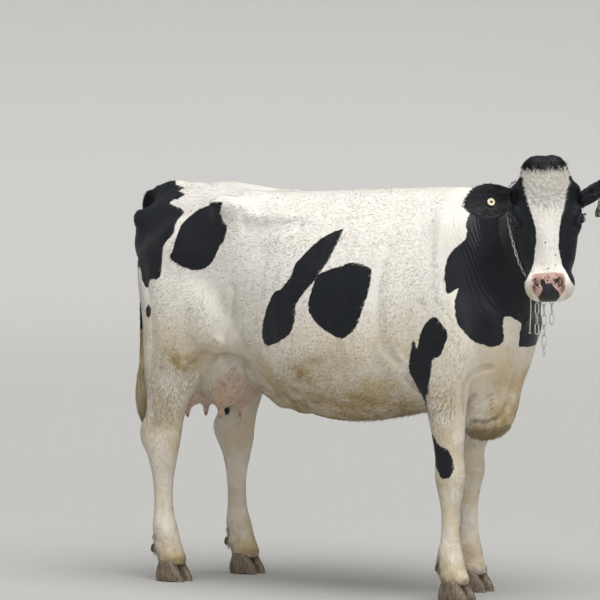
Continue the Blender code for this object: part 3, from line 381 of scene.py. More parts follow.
def superellipse(half_width: float, up: float, down: float, square_up: float, square_down: float,
                 count: int) -> tuple[np.ndarray, np.ndarray]:
    """Points round a section whose upper and lower halves differ.

    Args:
        half_width: half its width.
        up, down: its reach above and below its widest line.
        square_up, square_down: how square each half is, where 2 is an ellipse.
        count: how many points.

    Returns:
        How far across and how far up each point is.
    """
    turn = np.arange(count) / count * 2 * math.pi
    c, s = np.cos(turn), np.sin(turn)
    power = 2 / np.where(s > 0, square_up, square_down)
    across = half_width * np.sign(c) * np.abs(c) ** power
    return across, np.where(s > 0, up, down) * np.sign(s) * np.abs(s) ** power


def mesh_object(name: str, mesh: bpy.types.Mesh) -> bpy.types.Object:
    """Puts a mesh in the scene as an object.

    Args:
        name: the object's name.
        mesh: its mesh.

    Returns:
        The object.
    """
    obj = bpy.data.objects.new(name, mesh)
    bpy.context.scene.collection.objects.link(obj)
    return obj


def from_bmesh(name: str, shape: bmesh.types.BMesh) -> bpy.types.Object:
    """Makes an object of this bmesh, which is freed.

    Args:
        name: the object's name.
        shape: the shape that it takes.

    Returns:
        The object.
    """
    mesh = bpy.data.meshes.new(name)
    shape.to_mesh(mesh)
    shape.free()
    return mesh_object(name, mesh)


def from_arrays(name: str, points: np.ndarray, faces: np.ndarray) -> bpy.types.Object:
    """Makes an object of points and faces that all have equally many corners.

    Args:
        name: the object's name.
        points: one row for each point.
        faces: one row of point numbers for each face.

    Returns:
        The new object.
    """
    mesh = bpy.data.meshes.new(name)
    mesh.vertices.add(len(points))
    mesh.vertices.foreach_set("co", np.ascontiguousarray(points, np.float32).ravel())
    mesh.loops.add(faces.size)
    mesh.loops.foreach_set("vertex_index", np.ascontiguousarray(faces, np.int32).ravel())
    mesh.polygons.add(len(faces))
    mesh.polygons.foreach_set("loop_start", np.arange(len(faces), dtype=np.int32) * faces.shape[1])
    mesh.update(calc_edges=True)
    return mesh_object(name, mesh)


def loft(name: str, rings: Sequence, closed: bool = False) -> bpy.types.Object:
    """Makes a closed object through rings of equally many points.

    Args:
        name: the object's name.
        rings: the rings, each a row of places.
        closed: whether the last ring joins the first. If not, both ends are capped.

    Returns:
        The new object.
    """
    shape = bmesh.new()
    made = [[shape.verts.new(p) for p in ring] for ring in rings]
    count = len(made[0])
    pairs = list(zip(made, made[1:])) + ([(made[-1], made[0])] if closed else [])
    for near, far in pairs:
        for i in range(count):
            j = (i + 1) % count
            shape.faces.new((near[i], near[j], far[j], far[i]))
    if not closed:
        shape.faces.new(made[0][::-1])
        shape.faces.new(made[-1])
    bmesh.ops.recalc_face_normals(shape, faces=shape.faces)
    return from_bmesh(name, shape)


def rounded(form: Form, side: int = 1, place: Matrix | None = None) -> bpy.types.Object:
    """Makes a stretched ball for a muscle or a bone.

    Args:
        form: its measures.
        side: which side of the body it is on.
        place: the frame that the form is given in, if it isn't the model's.

    Returns:
        The new object.
    """
    shape = bmesh.new()
    bmesh.ops.create_icosphere(shape, subdivisions=4, radius=1.0)
    x, y, z = form.middle
    yaw = Matrix.Rotation(math.radians(form.yaw) * side, 4, "Z")
    turn = yaw @ Matrix.Rotation(math.radians(form.pitch), 4, "Y")
    placed = Matrix.Translation((x, y * side, z)) @ turn @ Matrix.Diagonal((*form.radii, 1.0))
    bmesh.ops.transform(shape, matrix=(place or Matrix()) @ placed, verts=shape.verts)
    return from_bmesh("form", shape)


def joined(name: str, pieces: Sequence[bpy.types.Object]) -> bpy.types.Object:
    """Makes one object of these pieces' meshes and removes the pieces.

    Args:
        name: the new object's name.
        pieces: the objects to join.

    Returns:
        The joined object.
    """
    shape = bmesh.new()
    for piece in pieces:
        shape.from_mesh(piece.data)
        bpy.data.objects.remove(piece)
    return from_bmesh(name, shape)


def as_evaluated(obj: bpy.types.Object) -> bpy.types.Object:
    """Gives obj the mesh that its modifiers make, and removes them.

    Args:
        obj: the object.

    Returns:
        The same object.
    """
    graph = bpy.context.evaluated_depsgraph_get()
    mesh = bpy.data.meshes.new_from_object(obj.evaluated_get(graph))
    obj.modifiers.clear()
    obj.data = mesh
    return obj


def read_points(mesh: bpy.types.Mesh) -> np.ndarray:
    """Reads the mesh's points as rows.

    Args:
        mesh: the mesh.

    Returns:
        One row for each point.
    """
    places = np.empty(len(mesh.vertices) * 3, np.float32)
    mesh.vertices.foreach_get("co", places)
    return places.reshape(-1, 3).astype(float)


def read_normals(mesh: bpy.types.Mesh) -> np.ndarray:
    """Reads the mesh's normals at its points as rows.

    Args:
        mesh: the mesh.

    Returns:
        One row for each point.
    """
    normals = np.empty(len(mesh.vertices) * 3, np.float32)
    mesh.vertex_normals.foreach_get("vector", normals)
    return normals.reshape(-1, 3).astype(float)


def write_points(mesh: bpy.types.Mesh, points: np.ndarray) -> None:
    """Moves the mesh's points to these rows."""
    mesh.vertices.foreach_set("co", np.ascontiguousarray(points, np.float32).ravel())
    mesh.update()


def edges_of(mesh: bpy.types.Mesh) -> np.ndarray:
    """Reads the mesh's edges as rows of two point numbers.

    Args:
        mesh: the mesh.

    Returns:
        One row for each edge.
    """
    ends = np.empty(len(mesh.edges) * 2, np.int32)
    mesh.edges.foreach_get("vertices", ends)
    return ends.reshape(-1, 2)


def relaxed(values: np.ndarray, edges: np.ndarray, rounds: int,
            share: np.ndarray | float = 1.0) -> np.ndarray:
    """Eases values over a mesh, moving each point's halfway to the mean of its neighbours' in each round.

    Args:
        values: one row for each point.
        edges: the mesh's edges.
        rounds: how many times.
        share: how much each point takes part, from 0 to 1.

    Returns:
        The eased rows.
    """
    count = len(values)
    near = np.concatenate([edges[:, 0], edges[:, 1]])
    far = np.concatenate([edges[:, 1], edges[:, 0]])
    links = np.maximum(np.bincount(near, minlength=count), 1)
    part = 0.5 * np.broadcast_to(np.asarray(share, float), (count,))
    values = values.reshape(count, -1).astype(float)
    for _ in range(rounds):
        for column in range(values.shape[1]):
            mean = np.bincount(near, weights=values[far, column], minlength=count) / links
            values[:, column] += part * (mean - values[:, column])
    return values


def give(mesh: bpy.types.Mesh, name: str, values: np.ndarray) -> None:
    """Stores a number or a vector at each of the mesh's points, for the finishes to read.

    Args:
        mesh: the mesh.
        name: what the finishes call it.
        values: one number or one row for each point.
    """
    kind = "FLOAT" if values.ndim == 1 else "FLOAT_VECTOR"
    layer = mesh.attributes.new(name, kind, "POINT")
    field_name = "value" if kind == "FLOAT" else "vector"
    layer.data.foreach_set(field_name, np.ascontiguousarray(values, np.float32).ravel())


def bvh_of(obj: bpy.types.Object) -> BVHTree:
    """Makes a tree for casting rays at obj, which has no transform of its own."""
    return BVHTree.FromPolygons([v.co for v in obj.data.vertices], [p.vertices for p in obj.data.polygons])


def distance_to_path(points: np.ndarray, path: np.ndarray) -> tuple[np.ndarray, np.ndarray]:
    """Measures how far each point is from a path, and how far along it the nearest place is.

    Args:
        points: rows of places.
        path: rows of places, joined in order.

    Returns:
        The distances, and the share of the path's length at the nearest places.
    """
    best = np.full(len(points), np.inf)
    where = np.zeros(len(points))
    lengths = np.linalg.norm(np.diff(path, axis=0), axis=1)
    before = np.concatenate([[0.0], np.cumsum(lengths)])
    for i, (a, b) in enumerate(zip(path[:-1], path[1:])):
        way = b - a
        t = np.clip((points - a) @ way / max(way @ way, 1e-12), 0, 1)
        away = np.linalg.norm(points - a - t[:, None] * way, axis=1)
        nearer = away < best
        best[nearer] = away[nearer]
        where[nearer] = (before[i] + t[nearer] * lengths[i]) / before[-1]
    return best, where


class Groove(NamedTuple):
    """A crease along a path over the skin, or a ridge where its depth is negative.

    Its path is in the tables' measure, or in the head's frame where it is on the head.
    """

    path: tuple
    width: float
    depth: float
    paired: bool = True


class Zone(Enum):
    """The stretches of the body that are unwrapped and combed each in its own way."""

    BARREL = 0
    HEAD = 1
    FORE_RIGHT = 2
    FORE_LEFT = 3
    HIND_RIGHT = 4
    HIND_LEFT = 5
    TAIL = 6
    EAR_RIGHT = 7
    EAR_LEFT = 8


LEG_ZONES = (Zone.FORE_RIGHT, Zone.FORE_LEFT, Zone.HIND_RIGHT, Zone.HIND_LEFT)

BODY_GROOVES = (
    # thigh
    Groove(((0.10, 0.16, 1.27), (0.17, 0.29, 1.06), (0.20, 0.30, 0.88), (0.17, 0.26, 0.72)), 0.026, 0.0065),
    Groove(((0.50, 0.27, 0.90), (0.56, 0.29, 1.00), (0.59, 0.31, 1.12)), 0.024, 0.007),  # flank fold
    # edge of the loin
    Groove(((0.60, 0.27, 1.362), (0.75, 0.262, 1.362), (0.95, 0.245, 1.372)), 0.022, -0.0070),
    # hollow under it
    Groove(((0.60, 0.29, 1.315), (0.74, 0.285, 1.320), (0.90, 0.275, 1.335)), 0.030, 0.0060),
    # above the belly's fold
    Groove(((0.66, 0.10, 0.715), (0.76, 0.135, 0.675), (0.88, 0.125, 0.655)), 0.016, 0.0080),
    Groove(((1.27, 0.24, 1.30), (1.25, 0.31, 1.10), (1.27, 0.30, 0.92), (1.33, 0.27, 0.80)), 0.024, 0.006),
    Groove(((1.44, 0.19, 1.38), (1.46, 0.24, 1.20), (1.49, 0.26, 1.04)), 0.018, -0.004),  # spine of the blade
    Groove(((1.42, 0.27, 1.08), (1.36, 0.29, 0.96), (1.33, 0.28, 0.86)), 0.018, 0.0045),  # above the elbow
    Groove(((1.532, 0.150, 0.630), (1.540, 0.178, 0.694), (1.557, 0.197, 0.754), (1.570, 0.186, 0.798),
            (1.598, 0.135, 0.827), (1.618, 0.10, 0.834)), 0.0105, 0.019),  # between foreleg and brisket
    # along the brisket's rim
    Groove(((1.480, 0.098, 0.630), (1.540, 0.078, 0.632), (1.585, 0.055, 0.645), (1.612, 0.040, 0.675),
            (1.629, 0.032, 0.715), (1.643, 0.028, 0.765), (1.654, 0.026, 0.830)), 0.0105, 0.0095),
    Groove(((1.33, 0.25, 0.79), (1.325, 0.235, 0.72), (1.345, 0.22, 0.66)), 0.012, 0.007),  # behind the elbow
    # milk vein
    Groove(((0.62, 0.15, 0.74), (0.80, 0.17, 0.63), (1.00, 0.16, 0.62), (1.14, 0.15, 0.64)), 0.009, -0.005),
    # between the quarters
    Groove(((0.28, 0.0, 0.588), (0.37, 0.0, 0.688), (0.45, 0.0, 0.768)), 0.014, 0.010, False),
    Groove(((0.13, 0.0, 0.788), (0.19, 0.0, 0.628), (0.28, 0.0, 0.588)), 0.016, 0.014, False),
    Groove(((0.270, 0.155, 0.83), (0.275, 0.150, 0.73), (0.27, 0.11, 0.64)), 0.012, 0.0050),
    Groove(((0.17, 0.15, 0.75), (0.185, 0.148, 0.69), (0.235, 0.14, 0.67), (0.265, 0.13, 0.63)),
           0.0045, -0.0022),
    Groove(((0.345, 0.148, 0.79), (0.355, 0.14, 0.72), (0.315, 0.13, 0.67)), 0.0045, -0.0022),
)
FLESH_HOLLOWS = (
    Hollow((0.495, 0.0, 1.465), (0.070, 0.110, 0.080), 0.0095),  # behind the loin
    Hollow((0.610, 0.0, 1.460), (0.080, 0.100, 0.080), 0.0060),
    Hollow((0.250, 0.0, 1.475), (0.045, 0.060, 0.060), 0.0040),  # before the tail head
    Hollow((0.405, 0.240, 0.770), (0.060, 0.075, 0.090), 0.030),  # front of the thigh, beside the udder
)
UDDER_FORMS = (
    Form((0.380, 0.0, 0.815), (0.115, 0.120, 0.100), 18.0),  # the fore udder
    Form((0.470, 0.0, 0.840), (0.085, 0.120, 0.050)),  # between it and the belly
    Form((0.250, 0.0, 0.780), (0.150, 0.080, 0.125)),  # between the quarters
)
# Where the skin stands out round each dewclaw, forward and to the left, and how high and far.
DEWCLAW_ROOTS = ((1.305, 0.200), (1.305, 0.150), (1.469, -0.150), (1.469, -0.200),
                 (0.233, 0.220), (0.233, 0.170), (0.191, -0.170), (0.191, -0.220))
DEWCLAW_ROOT_HEIGHT, DEWCLAW_ROOT_REACH = 0.126, (0.038, 0.019, 0.030)
SOFT_FOLDS = (
    Form((0.535, -0.085, 0.790), (0.060, 0.045, 0.055)),  # the belly's fold in front of the udder
    Form((0.590, -0.070, 0.742), (0.065, 0.048, 0.058)),
    Form((0.650, -0.050, 0.704), (0.075, 0.050, 0.060)),
    Form((0.735, -0.035, 0.688), (0.095, 0.052, 0.060)),
    Form((0.840, -0.020, 0.690), (0.120, 0.050, 0.055)),
    Form((-0.022, 0.0, 1.392), (0.045, 0.034, 0.062)),  # root of the tail
)
RIB_TOPS = (0.815, 0.885, 0.955, 1.025, 1.095, 1.165)  # where each rib starts below the loin's edge
RIB_WIDTH, RIB_STANDS = 0.017, 0.0017
WRINKLE_LENGTH, WRINKLE_DEPTH = 0.0135, 0.0062  # of the folds on the side that the neck bends to

HEAD_GROOVES = (
    Groove(((0.500, 0.020, -0.094), (0.496, 0.050, -0.098), (0.482, 0.074, -0.104), (0.455, 0.084, -0.110),
            (0.425, 0.086, -0.116)), 0.0050, 0.0065),  # the mouth
    Groove(((0.500, -0.020, -0.094), (0.503, 0.0, -0.092), (0.500, 0.020, -0.094)), 0.005, 0.005, False),
    Groove(((0.450, 0.0, -0.014), (0.478, 0.0, -0.022), (0.498, 0.0, -0.052)), 0.0042, 0.0028, False),
    Groove(((0.438, -0.0510, -0.018), (0.450, -0.0515, -0.022), (0.460, -0.0475, -0.0245),
            (0.4700, -0.0425, -0.028)), 0.0045, 0.0130, False),  # right nostril
    Groove(((0.438, 0.0300, -0.017), (0.450, 0.0365, -0.0195), (0.461, 0.0355, -0.022),
            (0.4715, 0.0280, -0.026)), 0.0045, 0.0130, False),  # left nostril
    Groove(((0.436, -0.060, -0.022), (0.452, -0.064, -0.028), (0.470, -0.058, -0.034),
            (0.480, -0.048, -0.038)), 0.0060, -0.0032, False),  # its wing
    Groove(((0.436, 0.042, -0.018), (0.452, 0.049, -0.024), (0.470, 0.045, -0.030), (0.481, 0.034, -0.034)),
           0.0060, -0.0032, False),
    # above the lip
    Groove(((0.405, 0.060, -0.030), (0.432, 0.072, -0.050), (0.455, 0.080, -0.085)), 0.010, 0.0032),
    # face crest
    Groove(((0.240, 0.098, -0.080), (0.310, 0.092, -0.085), (0.370, 0.080, -0.085)), 0.012, -0.0030),
    Groove(((0.255, 0.114, -0.110), (0.265, 0.112, -0.135), (0.255, 0.108, -0.172)), 0.010, 0.0022),
    Groove(((0.160, 0.100, -0.030), (0.140, 0.100, -0.050), (0.120, 0.096, -0.072)), 0.010, 0.0030),  # temple
    # under the jaw
    Groove(((0.300, 0.095, -0.205), (0.340, 0.088, -0.190), (0.385, 0.075, -0.165)), 0.010, 0.0035),
)


@dataclass
class Pelt:
    """The skin's arrays: where each point rests, which way it faces and how it is combed and coloured."""

    points: np.ndarray
    normals: np.ndarray
    edges: np.ndarray
    zone: np.ndarray
    combed: np.ndarray = field(default_factory=lambda: np.zeros((0, 3)))
    layers: dict[str, np.ndarray] = field(default_factory=dict)


@dataclass
class HeadPlace:
    """The head's own frame: x down the face from the poll, y to the cow's left, z out of the forehead."""

    azimuth: float = LOOK_AZIMUTH
    tilt: float = FACE_TILT
    roll: float = HEAD_ROLL

    def matrix(self) -> Matrix:
        """Gives the frame, in the model's.

        Returns:
            The matrix from the head's frame to the model's.
        """
        towards = Vector((math.sin(self.azimuth), -math.cos(self.azimuth), 0.0))
        down = (Vector((0, 0, -1)) * math.cos(self.tilt) + towards * math.sin(self.tilt)).normalized()
        across = Vector((math.cos(self.azimuth), math.sin(self.azimuth), 0.0))
        out = down.cross(across).normalized()
        turn = Matrix((down, across, out)).transposed().to_4x4()
        return Matrix.Translation(POLL + SHIFT) @ turn @ Matrix.Rotation(self.roll, 4, "Z")

    def local(self, points: np.ndarray) -> np.ndarray:
        """Turns places in the model's frame into the head's."""
        back = np.array(self.matrix().inverted())
        return points @ back[:3, :3].T + back[:3, 3]

    def world(self, points: Sequence) -> np.ndarray:
        """Turns places in the head's frame into the model's."""
        turn = np.array(self.matrix())
        return np.atleast_2d(np.array(points, float)) @ turn[:3, :3].T + turn[:3, 3]

    def way(self, direction: Sequence[float]) -> np.ndarray:
        """Turns a direction in the head's frame into the model's."""
        return np.array(self.matrix())[:3, :3] @ np.array(direction, float)


@dataclass
class BarrelLine:
    """The middle line of trunk and neck, round which they are unwrapped and combed."""

    pieces: int = 90

    def path(self) -> np.ndarray:
        """Gives the line as places close together."""
        return eased(BARREL_LINE, self.pieces) + np.array(SHIFT)

    def round(self, points: np.ndarray) -> tuple[np.ndarray, np.ndarray, np.ndarray, np.ndarray]:
        """Finds where points are along and round the line.

        Args:
            points: rows of places.

        Returns:
            The length along it, the turn round it from the top towards the cow's left, the way that the line
            heads there, and the nearest place on it.
        """
        path = self.path()
        ways = np.diff(path, axis=0)
        lengths = np.linalg.norm(ways, axis=1)
        before = np.concatenate([[0.0], np.cumsum(lengths)])
        best = np.full(len(points), np.inf)
        along, head, foot = np.zeros(len(points)), np.zeros((len(points), 3)), np.zeros((len(points), 3))
        for i, way in enumerate(ways):
            t = np.clip((points - path[i]) @ way / lengths[i] ** 2, 0, 1)
            nearest = path[i] + t[:, None] * way
            away = np.sum((points - nearest) ** 2, axis=1)
            nearer = away < best
            best[nearer], foot[nearer] = away[nearer], nearest[nearer]
            along[nearer] = before[i] + t[nearer] * lengths[i]
            head[nearer] = way / lengths[i]
        left = unit(np.cross([0.0, 0.0, 1.0], head))
        upward = np.cross(head, left)
        from_line = points - foot
        turn = np.arctan2(np.sum(from_line * left, axis=1), np.sum(from_line * upward, axis=1))
        return along + LINE_STARTS, turn, head, foot


@dataclass
class Skin:
    """The whole hide in one mesh, from trunk and head to tail and ears, as deep as the coat lies on it."""

    voxel: float = 0.0068
    even: float = 0.010  # the CAD's own voxel, whose rounding this one repeats
    ring_points: int = 64
    head: HeadPlace = field(default_factory=HeadPlace)
    line: BarrelLine = field(default_factory=BarrelLine)

    def lofts(self) -> list[bpy.types.Object]:
        """Makes the overlapping bodies of trunk, neck, head, legs and tail.

        Returns:
            The loose objects.
        """
        place = Matrix.Translation(SHIFT)
        made = []
        rings = []
        for x, top, bottom, half_width, widest, square_top, square_bottom in eased(TRUNK, 90):
            across, up = superellipse(half_width, top - widest, widest - bottom, square_top, square_bottom,
                                      self.ring_points)
            rings.append([place @ Vector((x, a, widest + u)) for a, u in zip(across, up)])
        made.append(loft("trunk", rings))
        table = eased(NECK, 40)
        rings = []
        headings = np.gradient(table[:, :3], axis=0)
        for middle, heading, (up, down, half_width) in zip(table[:, :3], headings, table[:, 3:]):
            along = Vector(heading).normalized()
            across = Vector((0, 0, 1)).cross(along).normalized()
            upward = along.cross(across)
            a, u = superellipse(half_width, up, down, 1.9, 1.8, self.ring_points)
            rings.append([place @ (Vector(middle) + across * i + upward * j) for i, j in zip(a, u)])
        made.append(loft("neck", rings))
        frame_of_head = self.head.matrix()
        rings = []
        for x, front, back, half_width, widest, square_front, square_back in eased(HEAD, 70):
            across, up = superellipse(half_width, front - widest, widest - back, square_front, square_back,
                                      self.ring_points)
            rings.append([frame_of_head @ Vector((x, a, widest + u)) for a, u in zip(across, up)])
        made.append(loft("head", rings))
        for leg in LEGS:
            made.append(self.leg_loft(leg))
        made.append(self.tail_loft())
        return made

    def leg_loft(self, leg: Leg) -> bpy.types.Object:
        """Makes one leg, from inside the trunk to inside the claws.

        Args:
            leg: its measures.

        Returns:
            The loose object.
        """
        rings = []
        for z, back, front, across, half_width in eased(leg.sections, 80):
            turn = np.arange(self.ring_points) / self.ring_points * 2 * math.pi
            x = (back + front) / 2 + leaned(leg, z) + (front - back) / 2 * np.cos(turn)
            y = leg.side * across + half_width * np.sin(turn)
            rings.append([SHIFT + Vector((i, j, z)) for i, j in zip(x, y)])
        return loft(leg.name, rings)

    def tail_loft(self) -> bpy.types.Object:
        """Makes the tail down to the end of its bone.

        Returns:
            The loose object.
        """
        table = eased(TAIL, 40)
        path = [Vector((x, 0.0, z)) + SHIFT for x, z, _ in table]
        across = Vector((0, 1, 0))
        rings = []
        for i, (_, _, radius) in enumerate(table):
            along = (path[min(i + 1, len(path) - 1)] - path[max(i - 1, 0)]).normalized()
            out = along.cross(across)
            rings.append([path[i] + (across * math.cos(a) + out * math.sin(a)) * radius
                          for a in np.arange(24) / 24 * 2 * math.pi])
        return loft("tail", rings)

    def forms(self) -> list[bpy.types.Object]:
        """Makes the bones and muscles that stand out, and the udder.

        Returns:
            The loose objects.
        """
        place = Matrix.Translation(SHIFT)
        made = [rounded(form, 1, place) for form in SINGLE_FORMS + UDDER_FORMS + SOFT_FOLDS]
        made += [rounded(Form((x, y, DEWCLAW_ROOT_HEIGHT), DEWCLAW_ROOT_REACH), 1, place)
                 for x, y in DEWCLAW_ROOTS]
        for side in (RIGHT, LEFT):
            made += [rounded(form, side, place) for form in PAIRED_FORMS]
            made += [rounded(form, side, self.head.matrix()) for form in HEAD_FORMS]
            for x, across in TEAT_SPREAD:
                quarter = Form((x + 0.010, across * 0.9, UDDER_HEIGHT), (0.110, 0.096, 0.150))
                low = UDDER_HEIGHT - 0.142 - TEAT_LENGTH / 2
                teat = Form((x, across, low), (TEAT_RADIUS * 1.25, TEAT_RADIUS * 1.25, TEAT_LENGTH * 0.62))
                made += [rounded(quarter, side, place), rounded(teat, side, place)]
        return made

    def rough(self) -> bpy.types.Object:
        """Melts the loose bodies into one closed skin, with the same rounding as the solids have.

        Returns:
            The skin before its fine forms.
        """
        hide = joined("skin", self.lofts() + self.forms())
        remesh = hide.modifiers.new("fuse", "REMESH")
        remesh.mode = "VOXEL"
        remesh.voxel_size = self.voxel
        as_evaluated(hide)
        more = (self.even / self.voxel) ** 2
        mesh = hide.data
        edges = edges_of(mesh)
        points = relaxed(read_points(mesh), edges, round(8 * more))
        height = step(points[:, 2], 0.62, 0.74)
        from_poll = np.linalg.norm(points - np.array(POLL + SHIFT), axis=1) / 0.45
        barrel = height * np.clip((from_poll - 0.6) * 2.5, 0, 1) * (self.head.local(points)[:, 2] < -0.27)
        points = relaxed(points, edges, round(30 * more), barrel * (points[:, 0] + 0.98 > 0.0))
        write_points(mesh, points)
        self.press(mesh, HOLLOWS + FLESH_HOLLOWS, Matrix.Translation(SHIFT))
        self.press(mesh, HEAD_HOLLOWS, self.head.matrix())
        return hide

    def press(self, mesh: bpy.types.Mesh, hollows: Sequence[Hollow], place: Matrix) -> None:
        """Presses each hollow into the skin on both sides, fading out with distance from its middle.

        Args:
            mesh: the skin's mesh.
            hollows: what to press.
            place: the frame that they are given in.
        """
        points, normals = read_points(mesh), read_normals(mesh)
        back = np.array(place.inverted())
        local = points @ back[:3, :3].T + back[:3, 3]
        push = np.zeros(len(points))
        for hollow in hollows:
            for side in (RIGHT, LEFT):
                middle = np.array(hollow.middle) * (1, side, 1)
                push -= hollow.depth * np.exp(-np.sum(((local - middle) / hollow.reach) ** 2, axis=1))
        write_points(mesh, points + normals * push[:, None])

    def crease(self, mesh: bpy.types.Mesh, grooves: Sequence[Groove], place: Matrix) -> None:
        """Draws each groove over the skin, on both sides where it is paired.

        Args:
            mesh: the skin's mesh.
            grooves: what to draw.
            place: the frame that they are given in.
        """
        points, normals = read_points(mesh), read_normals(mesh)
        back = np.array(place.inverted())
        local = points @ back[:3, :3].T + back[:3, 3]
        push = np.zeros(len(points))
        for groove in grooves:
            for side in ((RIGHT, LEFT) if groove.paired else (LEFT,)):
                path = eased(np.array(groove.path) * (1, side, 1), 6 * len(groove.path))
                reach = 4.0 * groove.width + 0.02
                near = np.all((local > path.min(axis=0) - reach) & (local < path.max(axis=0) + reach), axis=1)
                away, along = distance_to_path(local[near], path)
                fade = step(along, 0.0, 0.12) * step(1 - along, 0.0, 0.12)
                push[near] -= groove.depth * fade * np.exp(-((away / groove.width) ** 2))
        write_points(mesh, points + normals * push[:, None])


def leaned(leg: Leg, z: float | np.ndarray) -> float | np.ndarray:
    """Tells how far forward of its table a leg stands at this height."""
    return leg.step * np.clip((STEP_TOP - z) / (STEP_TOP - STEP_REACHED), 0.0, 1.0)


@dataclass
class EyePlace:
    """Where an eyeball sits: its middle, line of sight, and the ways to its front corner and upper lid."""

    name: str
    side: int
    middle: np.ndarray
    sight: np.ndarray
    inward: np.ndarray
    upward: np.ndarray

    @classmethod
    def from_node(cls, name: str, side: int, head: HeadPlace) -> EyePlace:
        """Reads the ball's place from its solid.

        Args:
            name: the solid's node.
            side: the side of the head it is on.
            head: the head's frame.

        Returns:
            The eye's place.
        """
        low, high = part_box(name)
        sight = unit(head.way((EYE_LINE[0], EYE_LINE[1] * side, EYE_LINE[2])))
        down = head.way((1.0, 0.0, 0.0))
        slant = unit(down * 0.42 + head.way((0.0, -side * 0.80, 0.0)))  # towards the front corner
        inward = unit(slant - sight * (slant @ sight))
        upward = np.cross(sight, inward)
        if upward @ down > 0:
            upward = -upward
        return cls(name, side, np.array((low + high) / 2), sight, inward, upward)

    def local(self, points: np.ndarray) -> np.ndarray:
        """Turns places into the eye's frame: towards the front corner, the upper lid and along the sight."""
        return (points - self.middle) @ np.stack([self.inward, self.upward, self.sight]).T

    def world(self, points: np.ndarray) -> np.ndarray:
        """Turns places in the eye's frame into the model's."""
        return self.middle + points @ np.stack([self.inward, self.upward, self.sight])


EYE_LINE = (0.02, 0.90, 0.44)
EYE_RADIUS = 0.0205
EYE_OPEN = (0.0178, 0.0118)  # half the opening between the lids, along and across

EAR_LENGTH = 0.178
EAR_THICK = (0.0074, 0.0042)  # along its middle and at its rim
EAR_OUTLINE = ((0.0, 0.108), (0.15, 0.124), (0.35, 0.136), (0.55, 0.136), (0.75, 0.114), (0.9, 0.072),
               (1.0, 0.022))
EAR_CURL = ((0.0, 225.0), (0.15, 170.0), (0.35, 110.0), (0.55, 80.0), (0.75, 62.0), (0.90, 50.0), (1.0, 45.0))
# of its back, under its axis
EAR_SINKS = ((0.0, 0.023), (0.3, 0.024), (0.6, 0.014), (0.8, 0.006), (1.0, 0.0))


@dataclass
class EarLeaf:
    """An ear's curled leaf: its root and the way it points, in the head's frame, and how far it opens up."""

    name: str
    zone: Zone
    root: tuple
    points: tuple
    turned_up: float  # in degrees
    skin_in: float = 0.0010  # how far the skin lies inside the solid
    rings: int = 56
    across: int = 26

    def axes(self, head: HeadPlace) -> tuple[np.ndarray, np.ndarray, np.ndarray, np.ndarray]:
        """Gives the ear's root, its long axis, the way it opens and its width, in the model's frame.

        Args:
            head: where the head is.

        Returns:
            The root, the long axis, the way it opens and its width.
        """
        along = Vector(self.points).normalized()
        turn_up = math.radians(self.turned_up)
        faces = Vector((-math.sin(turn_up), 0, math.cos(turn_up)))
        opens = (faces - along * faces.dot(along)).normalized()
        wide = opens.cross(along)
        return head.world(self.root)[0], head.way(along), head.way(opens), head.way(wide)

    def place(self, head: HeadPlace, t: np.ndarray, turn: np.ndarray, lift: np.ndarray) -> np.ndarray:
        """Finds places on the leaf.

        Args:
            head: the head's frame.
            t: shares of the ear's length.
            turn: shares across it, from -1 at its upper rim to 1 at its lower one.
            lift: how far out of its back, into its opening.

        Returns:
            The places.
        """
        root, along, opens, wide = self.axes(head)
        curl = np.radians(read_off(EAR_CURL, t)) / 2
        radius = read_off(EAR_OUTLINE, t) / (2 * curl)
        angle = curl * turn
        out = radius - (radius - lift) * np.cos(angle) - read_off(EAR_SINKS, t)
        across = (radius - lift) * np.sin(angle)
        return (root + along * (EAR_LENGTH * t)[..., None] + wide * across[..., None]
                + opens * out[..., None])

    def thickness(self, t: np.ndarray, turn: np.ndarray) -> np.ndarray:
        """Tells how thick the leaf is, thinner towards its rim and tip.

        Args:
            t: places along the leaf.
            turn: places round it.

        Returns:
            The thickness at each place.
        """
        middle, rim = EAR_THICK
        width = read_off(EAR_OUTLINE, t)
        return (middle * (1 - turn**2) + rim * turn**2) * (0.5 + 0.5 * np.minimum(1.0, width / 0.10))

    def shell(self, head: HeadPlace) -> tuple[bpy.types.Object, np.ndarray, np.ndarray]:
        """Makes the closed leaf.

        Args:
            head: the head's frame.

        Returns:
            The object, each point's share of the length, and how far round the leaf it is, from 0 to 1 on the
            back and from 1 to 2 inside.
        """
        t = 0.06 + 0.94 * np.linspace(0, 1, self.rings) ** 0.92
        turn = np.linspace(-1, 1, self.across)
        grid_t, grid_turn = np.meshgrid(t, turn, indexing="ij")
        thick = self.thickness(grid_t, grid_turn)
        # cartilage under the skin
        wave = 0.0012 * np.sin(grid_turn * 9 + grid_t * 5) * step(grid_t, 0.1, 0.4)
        ridge = sum(0.0022 * np.exp(-(((grid_turn - at) / 0.10) ** 2)) for at in (-0.45, 0.0, 0.45))
        ridge = ridge * step(grid_t, 0.08, 0.2) * step(1 - grid_t, 0.15, 0.6)
        back = self.place(head, grid_t, grid_turn, self.skin_in + wave * 0.2)
        front = self.place(head, grid_t, grid_turn, self.skin_in + thick + ridge)
        rings = [np.concatenate([b, f[::-1]]) for b, f in zip(back, front)]
        obj = loft(self.name, rings)
        share = np.repeat(t, 2 * self.across)
        round_leaf = np.tile(np.concatenate([np.linspace(0, 1, self.across),
                                             np.linspace(1, 2, self.across)]), self.rings)
        return obj, share, round_leaf


EARS = (
    EarLeaf("ear_right", Zone.EAR_RIGHT, (0.140, -0.104, -0.068), (0.12, -1.0, 0.05), 0.0),
    EarLeaf("ear_left", Zone.EAR_LEFT, (0.166, 0.104, -0.070), (-0.55, 1.0, -0.05), 62.0),
)


